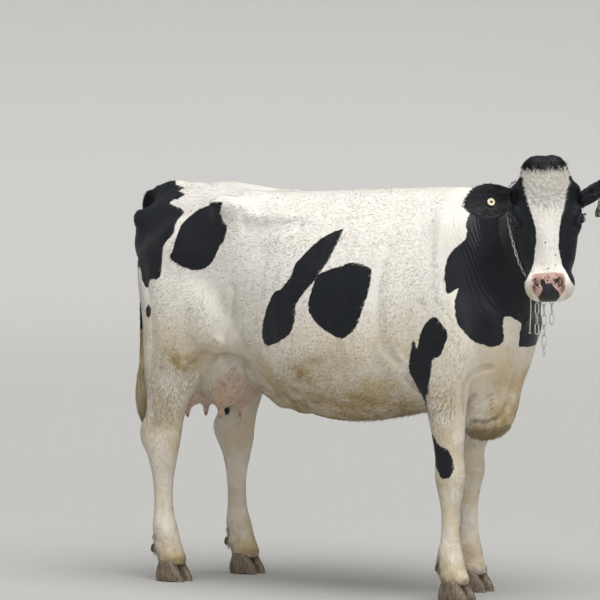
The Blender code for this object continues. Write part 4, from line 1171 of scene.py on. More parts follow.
@dataclass
class FineForms:
    """What is shaped on the melted skin: the head's features, folds, ribs and wrinkles."""

    skin: Skin
    depth_body: float = 0.0020  # of the coat over the skin
    depth_head: float = 0.0014

    def on_head(self, points: np.ndarray, reach: float = 0.0) -> np.ndarray:
        """Tells which places are on the head, or this far round it.

        Args:
            points: places in the model.
            reach: how far round the head counts too.

        Returns:
            True for those on it.
        """
        local = self.skin.head.local(points)
        return ((local[:, 2] > -0.27 - reach) & (np.abs(local[:, 1]) < 0.15 + reach)
                & (local[:, 0] > -0.05 - reach) & (local[:, 0] < 0.56 + reach))

    def folded(self, points: np.ndarray) -> np.ndarray:
        """Tells which places are on the folds of neck and brisket.

        Args:
            points: places in the model.

        Returns:
            True for those on the folds.
        """
        table = points - np.array(SHIFT)
        brisket = ((table[:, 0] > 1.46) & (table[:, 2] > 0.58) & (table[:, 2] < 0.92)
                   & (np.abs(table[:, 1]) < 0.22))
        along, _, _, _ = self.skin.line.round(points)
        neck = (along > 0.54) & (along < 0.96) & (table[:, 2] > 0.9)
        return brisket | neck

    def refine(self, hide: bpy.types.Object, eyes: Sequence[EyePlace]) -> None:
        """Splits the faces of the head in four, and those round its eyes and muzzle once more.

        Args:
            hide: the skin.
            eyes: the eyes' places.
        """
        for fine in (False, True):
            mesh = hide.data
            points = read_points(mesh)
            chosen = self.on_head(points) | self.folded(points)
            if fine:
                chosen = self.on_head(points)
                local = self.skin.head.local(points)
                muzzle = (local[:, 0] > 0.415) & (local[:, 2] > -0.15)
                near_eye = np.zeros(len(points), bool)
                for eye in eyes:
                    near_eye |= np.linalg.norm(points - eye.middle, axis=1) < 0.045
                chosen &= muzzle | near_eye
            shape = bmesh.new()
            shape.from_mesh(mesh)
            shape.edges.ensure_lookup_table()
            ends = edges_of(mesh)
            both = chosen[ends[:, 0]] & chosen[ends[:, 1]]
            bmesh.ops.subdivide_edges(shape, edges=[shape.edges[i] for i in np.flatnonzero(both)], cuts=1,
                                      use_grid_fill=True)
            shape.to_mesh(mesh)
            shape.free()
            points = read_points(mesh)
            share = (self.on_head(points) | (self.folded(points) & (not fine))).astype(float)
            write_points(mesh, relaxed(points, edges_of(mesh), 4, share))

    def shape(self, hide: bpy.types.Object, eyes: Sequence[EyePlace]) -> None:
        """Shapes every fine form and sinks the skin under the coat.

        Args:
            hide: the skin.
            eyes: the eyes' places.
        """
        self.refine(hide, eyes)
        self.skin.crease(hide.data, BODY_GROOVES + self.ribs() + self.brisket(), Matrix.Translation(SHIFT))
        self.wrinkle(hide.data)
        self.skin.press(hide.data, FINE_HOLLOWS, self.skin.head.matrix())
        self.skin.crease(hide.data, HEAD_GROOVES, self.skin.head.matrix())
        self.sink(hide.data)
        for eye in eyes:
            self.socket(hide.data, eye)

    def ribs(self) -> tuple[Groove, ...]:
        """Makes the faint ridges of the last ribs, which slant back as they go down.

        Returns:
            The ridges, as grooves of negative depth.
        """
        made = []
        for x in RIB_TOPS:
            path = ((x, 0.27, 1.33), (x - 0.035, 0.33, 1.18), (x - 0.045, 0.36, 1.00),
                    (x - 0.015, 0.34, 0.84))
            made.append(Groove(path, RIB_WIDTH, -RIB_STANDS))
        return tuple(made)

    def brisket(self) -> tuple[Groove, ...]:
        """Makes the fine folds that run down and back over the brisket's bulge.

        Returns:
            The folds.
        """
        made = []
        for i in range(6):
            low = 0.0165 * i
            path = ((1.594 - 0.002 * i, 0.084 - 0.004 * i, 0.738 - low),
                    (1.572, 0.094 - 0.003 * i, 0.716 - low),
                    (1.548, 0.102 - 0.003 * i, 0.698 - low), (1.524, 0.106 - 0.003 * i, 0.690 - low))
            made.append(Groove(path, 0.0046, 0.0050))
        return tuple(made)

    def wrinkle(self, mesh: bpy.types.Mesh) -> None:
        """Folds the skin of the neck across its length, deepest on the side that it bends to.

        Args:
            mesh: the skin's mesh.
        """
        points, normals = read_points(mesh), read_normals(mesh)
        along, turn, _, _ = self.skin.line.round(points)
        flank = np.exp(-(((turn + math.radians(95)) / math.radians(66)) ** 2))
        stretch = step(along, 0.57, 0.66) * step(-along, -0.94, -0.87)
        share = flank * stretch * (self.skin.head.local(points)[:, 2] < -0.20)
        bend = (0.35 * np.sin(turn * 5.0 + along * 9.0) + 0.5 * np.sin(points[:, 2] * 31.0)
                + 0.3 * np.sin(points[:, 2] * 74.0))
        phase = along / WRINKLE_LENGTH * 2 * math.pi + bend
        folds = 1 - np.abs(np.sin(phase / 2)) ** 0.7
        write_points(mesh, points - normals * (WRINKLE_DEPTH * share * folds)[:, None])

    def sink(self, mesh: bpy.types.Mesh) -> None:
        """Moves the skin in by the coat's depth, less on the head, and hardly at all where it is bare.

        Args:
            mesh: the skin.
        """
        points, normals = read_points(mesh), read_normals(mesh)
        local = self.skin.head.local(points)
        head = step(local[:, 2], -0.36, -0.22) * self.on_head(points, 0.08)
        depth = self.depth_body + (self.depth_head - self.depth_body) * head
        bare = step(local[:, 0], 0.42, 0.46) * head
        legs = step(-points[:, 2], -0.62, -0.45)
        depth = depth * (1 - 0.7 * bare) * (1 - 0.35 * legs)
        write_points(mesh, points - normals * depth[:, None])

    def socket(self, mesh: bpy.types.Mesh, eye: EyePlace) -> None:
        """Opens the skin over an eyeball, which then shows between its lids.

        Args:
            mesh: the skin's mesh.
            eye: the eye's place.
        """
        points = read_points(mesh)
        local = eye.local(points)
        long, high = EYE_OPEN
        span = np.sqrt((local[:, 0] / (long * 1.30)) ** 2 + (local[:, 1] / (high * 1.45)) ** 2)
        inside = step(-span, -1.25, -0.95) * (local[:, 2] > -0.005)
        local[:, 2] += inside * (-0.006 - local[:, 2])
        mound = np.exp(-(((span - 1.9) / 0.55) ** 2)) * 0.0012 * (local[:, 2] > -0.02)
        write_points(mesh, eye.world(local) + eye.sight * mound[:, None])


FINE_HOLLOWS = (
    Hollow((0.218, 0.045, 0.004), (0.060, 0.030, 0.030), 0.0025),  # between the eyes and the bridge
    Hollow((0.330, 0.0, -0.008), (0.090, 0.020, 0.030), -0.0015),  # bridge of the nose
    Hollow((0.206, 0.105, -0.032), (0.020, 0.014, 0.020), -0.0030),  # brow
    Hollow((0.455, 0.040, -0.016), (0.012, 0.010, 0.016), 0.0040),  # round the nostril
    Hollow((0.478, 0.018, -0.035), (0.016, 0.014, 0.020), -0.0016),  # upper lip
    Hollow((0.500, 0.030, -0.112), (0.014, 0.030, 0.014), -0.0020),  # lower lip
    Hollow((0.445, 0.080, -0.060), (0.024, 0.016, 0.028), -0.0024),  # side of the muzzle
    Hollow((0.395, 0.030, -0.016), (0.012, 0.022, 0.016), 0.0012),  # wrinkles over the nostrils
    Hollow((0.418, 0.034, -0.016), (0.008, 0.022, 0.016), 0.0012),
)


class Marking(NamedTuple):
    """A black patch on one side of her: its outline from the side, forward and up in the tables' measure."""

    name: str
    side: int
    outline: tuple


MARKINGS = (
    Marking("rump", RIGHT, ((0.04, 1.52), (0.115, 1.47), (0.19, 1.455), (0.175, 1.445), (0.225, 1.435),
                            (0.22, 1.42), (0.175, 1.40), (0.28, 1.372), (0.272, 1.335), (0.278, 1.29),
                            (0.245, 1.245), (0.243, 1.19), (0.237, 1.125), (0.19, 1.12), (0.168, 1.085),
                            (0.135, 1.11), (0.10, 1.165), (0.03, 1.12), (-0.20, 1.05), (-0.20, 1.52))),
    Marking("hip", RIGHT, ((0.530, 1.408), (0.521, 1.361), (0.529, 1.340), (0.546, 1.318), (0.540, 1.275),
                           (0.512, 1.236), (0.48, 1.185), (0.42, 1.158), (0.37, 1.160), (0.305, 1.185),
                           (0.282, 1.203), (0.291, 1.232), (0.297, 1.268), (0.302, 1.315), (0.315, 1.342),
                           (0.336, 1.361), (0.368, 1.380), (0.404, 1.392), (0.47, 1.402))),
    Marking("thigh", RIGHT, ((0.180, 1.028), (0.200, 1.003), (0.180, 0.977), (0.162, 1.002))),
    Marking("flank", RIGHT, ((1.065, 1.312), (1.055, 1.230), (1.01, 1.142), (0.937, 1.052), (0.930, 0.995),
                             (0.903, 0.938), (0.805, 0.896), (0.765, 0.903), (0.760, 0.946), (0.785, 1.028),
                             (0.820, 1.085), (0.855, 1.10), (0.895, 1.148), (0.910, 1.195), (0.973, 1.267),
                             (1.022, 1.302))),
    Marking("ribs", RIGHT, ((1.018, 1.156), (1.072, 1.176), (1.145, 1.198), (1.20, 1.188), (1.22, 1.17),
                            (1.221, 1.107), (1.203, 1.028), (1.18, 0.965), (1.136, 0.931), (1.09, 0.945),
                            (1.027, 0.984), (0.99, 1.035), (1.0, 1.114))),
    Marking("elbow", RIGHT, ((1.465, 1.013), (1.504, 0.984), (1.522, 0.958), (1.520, 0.930), (1.492, 0.873),
                             (1.466, 0.864), (1.456, 0.820), (1.433, 0.745), (1.418, 0.728), (1.412, 0.655),
                             (1.395, 0.69), (1.377, 0.772), (1.360, 0.822), (1.368, 0.862), (1.384, 0.930),
                             (1.398, 0.900), (1.418, 0.964))),
    Marking("neck", RIGHT, ((1.60, 1.53), (1.545, 1.44), (1.520, 1.375), (1.533, 1.292), (1.510, 1.254),
                            (1.487, 1.205), (1.494, 1.128), (1.508, 1.093), (1.538, 1.112), (1.534, 1.068),
                            (1.552, 0.996), (1.576, 0.961), (1.609, 0.914), (1.634, 0.907), (1.650, 0.924),
                            (1.657, 0.970), (1.663, 1.005), (1.675, 1.017), (1.692, 1.018), (1.712, 1.021),
                            (1.80, 1.021), (2.30, 1.021), (2.30, 1.80), (1.70, 1.80))),
    Marking("shank", RIGHT, ((1.425, 0.600), (1.458, 0.562), (1.494, 0.542), (1.512, 0.500), (1.508, 0.458),
                             (1.492, 0.440), (1.468, 0.442), (1.440, 0.480), (1.395, 0.500), (1.385, 0.580))),
    Marking("rump_left", LEFT, ((-0.20, 1.52), (0.10, 1.475), (0.24, 1.45), (0.40, 1.44), (0.47, 1.39),
                                (0.46, 1.30), (0.52, 1.23), (0.50, 1.13), (0.42, 1.06), (0.40, 0.98),
                                (0.33, 0.95), (0.27, 1.02), (0.18, 1.06), (0.12, 1.02), (0.02, 1.08),
                                (-0.20, 1.05))),
    Marking("loin_left", LEFT, ((0.74, 1.415), (0.86, 1.43), (0.97, 1.40), (1.05, 1.41), (1.15, 1.36),
                                (1.19, 1.25), (1.14, 1.14), (1.16, 1.03), (1.09, 0.93), (0.98, 0.90),
                                (0.90, 0.97), (0.88, 1.09), (0.78, 1.15), (0.72, 1.25), (0.69, 1.34))),
    Marking("belly_left", LEFT, ((0.66, 1.00), (0.71, 1.02), (0.74, 0.97), (0.71, 0.92), (0.66, 0.93),
                                 (0.64, 0.96))),
    Marking("shoulder_left", LEFT, ((1.31, 1.05), (1.37, 1.13), (1.42, 1.10), (1.44, 1.00), (1.42, 0.88),
                                    (1.36, 0.80), (1.31, 0.84), (1.28, 0.95))),
    Marking("neck_left", LEFT, ((1.60, 1.53), (1.52, 1.46), (1.45, 1.38), (1.42, 1.27), (1.46, 1.18),
                                (1.51, 1.12), (1.53, 1.03), (1.58, 0.97), (1.63, 0.95), (1.658, 0.91),
                                (1.70, 0.900), (1.80, 0.895), (2.30, 0.895), (2.30, 1.80), (1.70, 1.80))),
    Marking("hock_left", LEFT, ((0.215, 0.640), (0.232, 0.628), (0.228, 0.606), (0.214, 0.598),
                                (0.203, 0.615), (0.205, 0.632))),
)
# White down the face, in the head's frame: down from the poll and across, to her right and to her left.
BLAZE = ((0.054, -0.088, 0.092), (0.068, -0.088, 0.090), (0.080, -0.0745, 0.080), (0.110, -0.076, 0.077),
         (0.143, -0.0705, 0.0655), (0.174, -0.0635, 0.0615), (0.205, -0.0585, 0.053), (0.234, -0.050, 0.045),
         (0.262, -0.044, 0.0395), (0.290, -0.041, 0.0355), (0.320, -0.044, 0.035), (0.345, -0.048, 0.0355),
         (0.385, -0.055, 0.040), (0.410, -0.0655, 0.051), (0.4375, -0.080, 0.064), (0.455, -0.10, 0.073),
         (0.470, -0.13, 0.085), (0.490, -0.20, 0.20), (0.60, -0.20, 0.20))
# The nose's slate patch, round spots of it, and brown flushes, all in the head's frame: down and across.
NOSE_PATCH = ((0.458, -0.035), (0.448, -0.034), (0.4455, -0.024), (0.453, -0.0185), (0.4615, -0.015),
              (0.4585, -0.005), (0.4615, 0.0055), (0.470, 0.009), (0.4805, 0.019), (0.488, 0.028),
              (0.500, 0.0315), (0.5085, 0.033), (0.512, -0.008), (0.5085, -0.046), (0.500, -0.043),
              (0.4895, -0.034), (0.479, -0.029), (0.4685, -0.031))
NOSE_SPOTS = ((0.4515, 0.0205, 0.0080), (0.4470, 0.0265, 0.0055), (0.4500, -0.0105, 0.0034),
              (0.4420, -0.0515, 0.0022), (0.4410, 0.0310, 0.0022), (0.4600, 0.0160, 0.0030),
              (0.4390, -0.0066, 0.0018), (0.4466, -0.0290, 0.0030), (0.4575, -0.0410, 0.0030),
              (0.4560, 0.0290, 0.0038), (0.4640, 0.0270, 0.0030), (0.4480, 0.0110, 0.0030),
              (0.4420, -0.0190, 0.0020), (0.4500, -0.0450, 0.0026))
NOSE_FLUSHES = (  # down, across, reach each way, strength
    (0.470, -0.0570, 0.0150, 0.0090, 1.0), (0.472, 0.0420, 0.0150, 0.0090, 1.0),
    (0.447, -0.0640, 0.0080, 0.0060, 0.9),
    (0.447, 0.0495, 0.0080, 0.0060, 0.9), (0.440, -0.0060, 0.0060, 0.0050, 0.8),
    (0.490, -0.0640, 0.0140, 0.0120, 0.40),
    (0.488, 0.0540, 0.0150, 0.0130, 0.40))
NOSTRILS = (  # painted shade inside each nostril, down and across
    ((0.4405, -0.0560), (0.4500, -0.0535), (0.4600, -0.0480), (0.4700, -0.0400), (0.4740, -0.0350)),
    ((0.4420, 0.0330), (0.4500, 0.0395), (0.4600, 0.0390), (0.4690, 0.0320), (0.4750, 0.0230)))
NOSE_MIDDLE = -0.0065  # how far across the nose's middle lies, as she turns her muzzle a little
NOSE_DOTS = ((0.4085, -0.007, 0.0036), (0.396, 0.0195, 0.0036), (0.360, 0.0225, 0.0028),
             (0.318, -0.012, 0.0022))
EDGE_REACH = 0.05  # how far from a marking's edge its distance is measured


def outline_distance(places: np.ndarray, outline: Sequence) -> np.ndarray:
    """Measures how far places in a plane lie inside a smooth closed outline.

    Args:
        places: rows of two numbers.
        outline: the points that the outline runs through.

    Returns:
        The distance to its edge, positive inside, and no more than EDGE_REACH either way.
    """
    rows = np.array(outline, float)
    count = len(rows)
    looped = eased(np.vstack([rows[-2:], rows, rows[:3]]), (count + 4) * 6 + 1)[12:12 + count * 6 + 1]
    found = np.full(len(places), -EDGE_REACH)
    low, high = looped.min(axis=0) - EDGE_REACH, looped.max(axis=0) + EDGE_REACH
    near = np.all((places > low) & (places < high), axis=1)
    inner = places[near]
    away, _ = distance_to_path(inner, looped)
    crossings = np.zeros(len(inner), int)
    for a, b in zip(looped[:-1], looped[1:]):
        if a[1] == b[1]:
            continue
        spans = (a[1] > inner[:, 1]) != (b[1] > inner[:, 1])
        at = a[0] + (inner[:, 1] - a[1]) / (b[1] - a[1]) * (b[0] - a[0])
        crossings += spans & (inner[:, 0] < at)
    found[near] = np.clip(np.where(crossings % 2 == 1, away, -away), -EDGE_REACH, EDGE_REACH)
    return found


@dataclass
class Colouring:
    """Works out at each point how far inside black it is, how bare it is, and its creamy tint and stains,
    which also hold painted shade.
    """

    head: HeadPlace
    line: BarrelLine

    def paint(self, pelt: Pelt) -> None:
        """Fills the pelt's colour layers.

        Args:
            pelt: the skin's arrays.
        """
        points = pelt.points
        along, turn, _, _ = self.line.round(points)
        table = points - np.array(SHIFT)
        black = np.full(len(points), -EDGE_REACH)
        for marking in MARKINGS:
            chosen = (turn * marking.side) > 0
            inside = outline_distance(table[chosen][:, [0, 2]], marking.outline)
            black[chosen] = np.maximum(black[chosen], inside)
        throat = ((table[:, 0] > 1.64) & (table[:, 2] < 1.021) & (table[:, 2] > 0.80)
                  & (np.abs(table[:, 1]) < 0.160))
        slant = 0.45 * (table[:, 1] + 0.110 - 2.00 * (1.010 - table[:, 2]))
        front = np.clip(np.minimum(slant, table[:, 2] - 0.893), -EDGE_REACH, EDGE_REACH)
        black[throat] = np.maximum(black, front)[throat]
        local = self.head.local(points)
        head = (pelt.zone == Zone.HEAD.value) | (along > 0.93)
        black[head] = self.face(local[head])
        ears = (pelt.zone == Zone.EAR_RIGHT.value) | (pelt.zone == Zone.EAR_LEFT.value)
        black[ears] = EDGE_REACH
        tail = pelt.zone == Zone.TAIL.value
        black[tail] = np.clip(table[tail, 2] - 0.93, -EDGE_REACH, EDGE_REACH)
        pelt.layers["black"] = black
        self.tint(pelt, table, local, turn)

    def face(self, local: np.ndarray) -> np.ndarray:
        """Measures how far inside black the head's points are, outside the blaze and the white muzzle.

        Args:
            local: places in the head's frame.

        Returns:
            The distances, positive where it is black.
        """
        blaze = np.array(BLAZE)
        right = np.interp(local[:, 0], blaze[:, 0], blaze[:, 1])
        left = np.interp(local[:, 0], blaze[:, 0], blaze[:, 2])
        inside = np.minimum(local[:, 1] - right, left - local[:, 1])
        inside = np.minimum(inside, local[:, 0] - blaze[0, 0])
        front = local[:, 2] + 0.105 + 1.0 * np.clip(local[:, 0] - 0.38, 0, 0.1)
        muzzle = local[:, 0] - 0.462 - 0.5 * np.clip(-local[:, 2] - 0.11, 0, 0.2)
        white = np.maximum(np.minimum(inside, front), muzzle)
        black = -white
        for down, across, radius in NOSE_DOTS:
            away = np.hypot(local[:, 0] - down, local[:, 1] - across)
            black = np.where(local[:, 2] > -0.05, np.maximum(black, radius - away), black)
        return np.clip(black, -EDGE_REACH, EDGE_REACH)

    def tint(self, pelt: Pelt, table: np.ndarray, local: np.ndarray, turn: np.ndarray) -> None:
        """Fills the layers for bare skin, the nose's dark patch, creamy tint and stains; the last three also
        hold painted shade.

        Args:
            pelt: the skin's arrays.
            table: its points in the tables' measure.
            local: its points in the head's frame.
            turn: how far round the barrel's line they are.
        """
        count = len(table)
        head = pelt.zone == Zone.HEAD.value
        bare = np.zeros(count)
        aside = np.abs(local[:, 1] - NOSE_MIDDLE)
        nose = step(local[:, 0], 0.415, 0.430) * step(local[:, 2], -0.094, -0.080)
        nose *= step(-aside, -0.074, -0.040)
        nose *= step(-aside - 1.1 * np.clip(local[:, 0] - 0.472, 0, 1), -0.090, -0.050)
        bare[head] = nose[head]
        udder = ((np.abs(table[:, 1]) < 0.20) & (table[:, 0] > 0.06) & (table[:, 0] < 0.54)
                 & (pelt.zone == Zone.BARREL.value))
        low = step(-table[:, 2], -0.880, -0.815) * step(0.20 - np.abs(table[:, 1]), 0.0, 0.03)
        low = low * step(-table[:, 0], -0.52, -0.44)
        teats = step(-table[:, 2], -0.632, -0.600)
        bare[udder] = np.maximum(bare, np.maximum(0.52 * low, 0.80 * low * teats))[udder]
        under = step(-np.abs(table[:, 0] - 0.12), -0.10, -0.05) * step(-np.abs(table[:, 1]), -0.075, -0.045)
        vulva = under * step(-table[:, 2], -1.36, -1.30) * step(table[:, 2], 1.12, 1.2)
        vulva = vulva * (pelt.normals[:, 0] < -0.4)
        bare = np.maximum(bare, vulva * 0.7)
        ears = (pelt.zone == Zone.EAR_RIGHT.value) | (pelt.zone == Zone.EAR_LEFT.value)
        bare[ears] = 0.0
        pelt.layers["bare"] = bare
        dark = np.full(count, -EDGE_REACH)
        dark[head] = outline_distance(local[head][:, :2], NOSE_PATCH)
        for down, across, radius in NOSE_SPOTS:
            away = np.hypot(local[:, 0] - down, local[:, 1] - across)
            dark[head] = np.maximum(dark, radius - away)[head]
        # Painted shade inside the nostrils, in the nose's dark colour.
        for path in NOSTRILS:
            away, along = distance_to_path(local[head][:, :2], eased(np.array(path), 24))
            dark[head] = np.maximum(dark[head], 0.0023 * (0.6 + np.sin(np.pi * along)) / 1.6 + 0.0003 - away)
        dark[local[:, 2] < -0.12] = -EDGE_REACH
        pelt.layers["dark"] = dark
        # Creamier towards the belly and most on its underside: partly the coat's own creamy tint, partly
        # painted shade under the body.
        height = step(-table[:, 2], -1.20, -0.66)
        cream = 0.06 + 0.94 * height * (0.70 + 0.30 * step(-np.cos(turn), -0.2, 0.8))
        legs = np.isin(pelt.zone, [zone.value for zone in LEG_ZONES])
        cream[legs] = np.minimum(cream[legs], 0.62 + 0.20 * step(-table[legs, 2], -0.4, -0.1))
        cream = np.maximum(cream, 0.55 * step(-table[:, 0], -0.20, 0.05) * step(-table[:, 2], -1.2, -0.9))
        # Creamier low on the brisket: partly its own tan, partly painted shade under it.
        cream = np.maximum(cream, 0.80 * step(table[:, 0], 1.46, 1.58) * step(-table[:, 2], -1.0, -0.88))
        limb = step(-table[:, 0], -0.38, -0.24)
        limb = limb + step(table[:, 0], 1.24, 1.36) * step(-table[:, 0], -1.74, -1.64)
        cream = np.minimum(cream, 1.0 - 0.38 * limb * step(np.abs(table[:, 1]), 0.05, 0.12))
        warm = np.exp(-(((local[:, 0] - 0.12) / 0.080) ** 2)) + step(local[:, 0], 0.48, 0.51)
        cream[head] = 0.06 + 0.22 * warm[head]
        sides = 0.55 * step(local[:, 0], 0.44, 0.48) * step(np.abs(local[:, 1] - NOSE_MIDDLE), 0.045, 0.065)
        cream[head] = np.maximum(cream, sides)[head]
        cream[pelt.zone == Zone.TAIL.value] = 0.9
        pelt.layers["cream"] = np.clip(cream, 0, 1)
        stain = np.zeros(count)
        for middle, reach, strength in STAINS_AND_SHADOWS:
            away = np.sum(((table - middle) / reach) ** 2, axis=1)
            stain = np.maximum(stain, strength * np.exp(-away))
        stain[legs] = np.maximum(stain[legs], 0.75 * step(-table[legs, 2], -0.26, -0.05))
        flush = np.zeros(count)
        for down, across, tall, wide, strength in NOSE_FLUSHES:
            away = ((local[:, 0] - down) / tall) ** 2 + ((local[:, 1] - across) / wide) ** 2
            flush = np.maximum(flush, strength * np.exp(-away))
        lip = 0.80 * step(local[:, 0], 0.480, 0.500) * step(-local[:, 2], 0.084, 0.096)
        stain[head] = np.maximum(flush * (local[:, 2] > -0.12), lip)[head]
        stain[udder] = np.maximum(stain, 0.60 * teats)[udder]
        # Painted shade: the stains' colour laid over the underside of the belly, where little light falls.
        below = step(-table[:, 2], -0.80, -0.66) * (table[:, 0] > 0.52) * (pelt.zone == Zone.BARREL.value)
        stain = np.maximum(stain, 0.80 * below * (1.0 - limb * step(np.abs(table[:, 1]), 0.05, 0.12)))
        pelt.layers["stain"] = stain


STAINS_AND_SHADOWS = (  # middle, reach each way, strength
    ((0.33, -0.28, 0.82), (0.085, 0.12, 0.055), 1.0),
    ((0.94, -0.34, 0.79), (0.095, 0.12, 0.045), 1.0),
    ((1.04, -0.34, 0.84), (0.080, 0.12, 0.026), 0.75),
    ((0.84, -0.34, 0.73), (0.100, 0.12, 0.040), 0.70),
    ((0.62, -0.30, 0.86), (0.090, 0.10, 0.060), 0.30),
    ((0.22, -0.26, 0.58), (0.090, 0.12, 0.080), 0.35),
    ((0.30, 0.28, 0.84), (0.110, 0.12, 0.070), 0.80),
    ((0.80, 0.34, 0.78), (0.150, 0.12, 0.060), 0.55),
    ((1.40, 0.20, 0.44), (0.060, 0.09, 0.050), 0.45),
    ((1.46, -0.20, 0.42), (0.060, 0.09, 0.040), 0.35),
    ((0.10, 0.0, 1.00), (0.070, 0.30, 0.120), 0.40),
    # Painted shadow in the fold over the front of the udder.
    ((0.385, -0.17, 0.862), (0.050, 0.10, 0.018), 1.0),
    # Partly the brisket's own tan, partly painted shade under it.
    ((1.64, -0.03, 0.73), (0.120, 0.10, 0.110), 0.55),
)


@dataclass
class Comb:
    """Sorts the skin into zones, unwraps each, and lays the coat the way that it grows."""

    head: HeadPlace
    line: BarrelLine

    def zones(self, points: np.ndarray) -> np.ndarray:
        """Tells which zone each point of the melted skin is in.

        Args:
            points: rows of places.

        Returns:
            The zones' numbers.
        """
        table = points - np.array(SHIFT)
        zone = np.zeros(len(points), int)
        cut, faces = np.array(HEAD_CUT), np.array(HEAD_CUT_FACES)
        local = self.head.local(points)
        forward = (table - cut) @ faces > 0
        zone[forward & (local[:, 2] > -0.30) & (np.abs(local[:, 1]) < 0.2)] = Zone.HEAD.value
        for leg, leg_zone in zip(LEGS, LEG_ZONES):
            rows = np.array(leg.sections, float)[::-1]
            z = table[:, 2]
            back, front, across, half = (np.interp(z, rows[:, 0], rows[:, i]) for i in (1, 2, 3, 4))
            lean = leaned(leg, z)
            beside = np.abs(leg.side * table[:, 1] - across) < half + 0.035
            along = (table[:, 0] > back + lean - 0.045) & (table[:, 0] < front + lean + 0.035)
            top = 0.66 if leg.sections is FORELEG else 0.845
            zone[beside & along & (z < top)] = leg_zone.value
        path = eased(TAIL, 40)
        away, where = distance_to_path(table, np.stack([path[:, 0], 0 * path[:, 0], path[:, 1]], axis=1))
        radius = np.interp(where, np.linspace(0, 1, len(path)), path[:, 2])
        zone[(away < radius + 0.010) & (where > 0.16)] = Zone.TAIL.value
        return zone

    def turns(self, zone: Zone, points: np.ndarray, normals: np.ndarray) -> tuple[np.ndarray, np.ndarray]:
        """Unwraps one zone.

        Args:
            zone: which.
            points: its points.
            normals: which way they face.

        Returns:
            The turn round the zone's middle line, from 0 to 1, and the share of its length.
        """
        table = points - np.array(SHIFT)
        if zone is Zone.BARREL:
            along, turn, _, _ = self.line.round(points)
            return turn / (2 * math.pi) + 0.5, (along + 1.12) / 2.12
        if zone is Zone.HEAD:
            local = self.head.local(points)
            around = np.arctan2(local[:, 1], local[:, 2] + 0.10) / (2 * math.pi) + 0.5
            return around, (local[:, 0] + 0.12) / 0.68
        if zone is Zone.TAIL:
            return np.arctan2(table[:, 1], -normals[:, 0]) / (2 * math.pi) + 0.5, (1.52 - table[:, 2]) / 0.75
        leg = LEGS[LEG_ZONES.index(zone)]
        rows = np.array(leg.sections, float)[::-1]
        back, front, across = (np.interp(table[:, 2], rows[:, 0], rows[:, i]) for i in (1, 2, 3))
        middle = (back + front) / 2 + leaned(leg, table[:, 2])
        turn = np.arctan2(table[:, 0] - middle, leg.side * table[:, 1] - across)
        return turn / (2 * math.pi) + 0.5, table[:, 2] / 0.90

    def lay(self, pelt: Pelt, ears: Sequence[EarLeaf]) -> None:
        """Finds which way the coat lies at each point of the skin.

        Args:
            pelt: the skin's arrays.
            ears: the ears' leaves.
        """
        points, normals = pelt.points, pelt.normals
        _, turn, heading, _ = self.line.round(points)
        down = np.array([0.0, 0.0, -1.0])
        side = np.abs(np.sin(turn))
        combed = -heading + down * (0.15 + 0.50 * side)[:, None]
        front = step(points[:, 0], 0.38, 0.62)
        combed += down * (front * 0.7)[:, None]
        local = self.head.local(points)
        whorl = local - np.array([0.150, 0.0, 0.0])
        whorl[:, 2] = np.minimum(local[:, 2] + 0.06, 0.0) * 1.6
        spread = np.array(self.head.matrix())[:3, :3]
        face = whorl @ spread.T
        over = step(-local[:, 0], -0.10, -0.03)
        face += (self.head.way((1.0, 0.0, 0.25)) * 0.5) * over[:, None]
        cheeks = step(-local[:, 2], 0.10, 0.18)
        face = unit(face) * (1 - cheeks)[:, None] + self.head.way((0.35, 0.0, -1.0)) * cheeks[:, None]
        is_head = pelt.zone == Zone.HEAD.value
        combed[is_head] = face[is_head]
        legs = np.isin(pelt.zone, [zone.value for zone in LEG_ZONES]) | (pelt.zone == Zone.TAIL.value)
        combed[legs] = down + np.array([-0.12, 0.0, 0.0])
        for ear in ears:
            chosen = pelt.zone == ear.zone.value
            _, along, _, wide = ear.axes(self.head)
            across = (points[chosen] - points[chosen].mean(axis=0)) @ wide
            combed[chosen] = along + wide * (np.clip(across * 14, -1, 1) * 0.5)[:, None]
        combed = relaxed(unit(combed), pelt.edges, 12)
        combed -= normals * np.sum(combed * normals, axis=1, keepdims=True)
        pelt.combed = unit(combed)


HEAD_CUT, HEAD_CUT_FACES = Vector((1.750, -0.090, 1.340)), Vector((0.60, -0.78, 0.17))  # behind ears and jaw

# Where each zone lies in the skin's unwrap: left, low, wide, high.
ISLANDS = {
    Zone.BARREL: (0.01, 0.01, 0.60, 0.62),
    Zone.HEAD: (0.64, 0.01, 0.34, 0.30),
    Zone.FORE_RIGHT: (0.01, 0.66, 0.17, 0.32),
    Zone.FORE_LEFT: (0.20, 0.66, 0.17, 0.32),
    Zone.HIND_RIGHT: (0.39, 0.66, 0.19, 0.32),
    Zone.HIND_LEFT: (0.60, 0.66, 0.19, 0.32),
    Zone.TAIL: (0.82, 0.66, 0.07, 0.32),
    Zone.EAR_RIGHT: (0.64, 0.34, 0.16, 0.14),
    Zone.EAR_LEFT: (0.64, 0.50, 0.16, 0.14),
}


class Hair(NamedTuple):
    """How the coat grows somewhere: its length, a tuft's width, tufts to a square metre and their lift."""

    length: float
    width: float
    density: float
    lift: float


HAIR_BARREL = Hair(0.0140, 0.0024, 26000.0, 0.050)
HAIR_BELLY = Hair(0.0200, 0.0030, 26000.0, 0.090)
HAIR_LEG = Hair(0.0110, 0.0024, 36000.0, 0.065)
HAIR_FACE = Hair(0.0075, 0.0017, 90000.0, 0.065)
HAIR_MUZZLE = Hair(0.0045, 0.0013, 30000.0, 0.070)
HAIR_UDDER = Hair(0.0070, 0.0015, 12000.0, 0.070)
HAIR_EAR = Hair(0.0095, 0.0020, 90000.0, 0.090)
HAIR_TAIL = Hair(0.0260, 0.0034, 60000.0, 0.090)
HAIR_FOREHEAD = Hair(0.0100, 0.0022, 80000.0, 0.075)


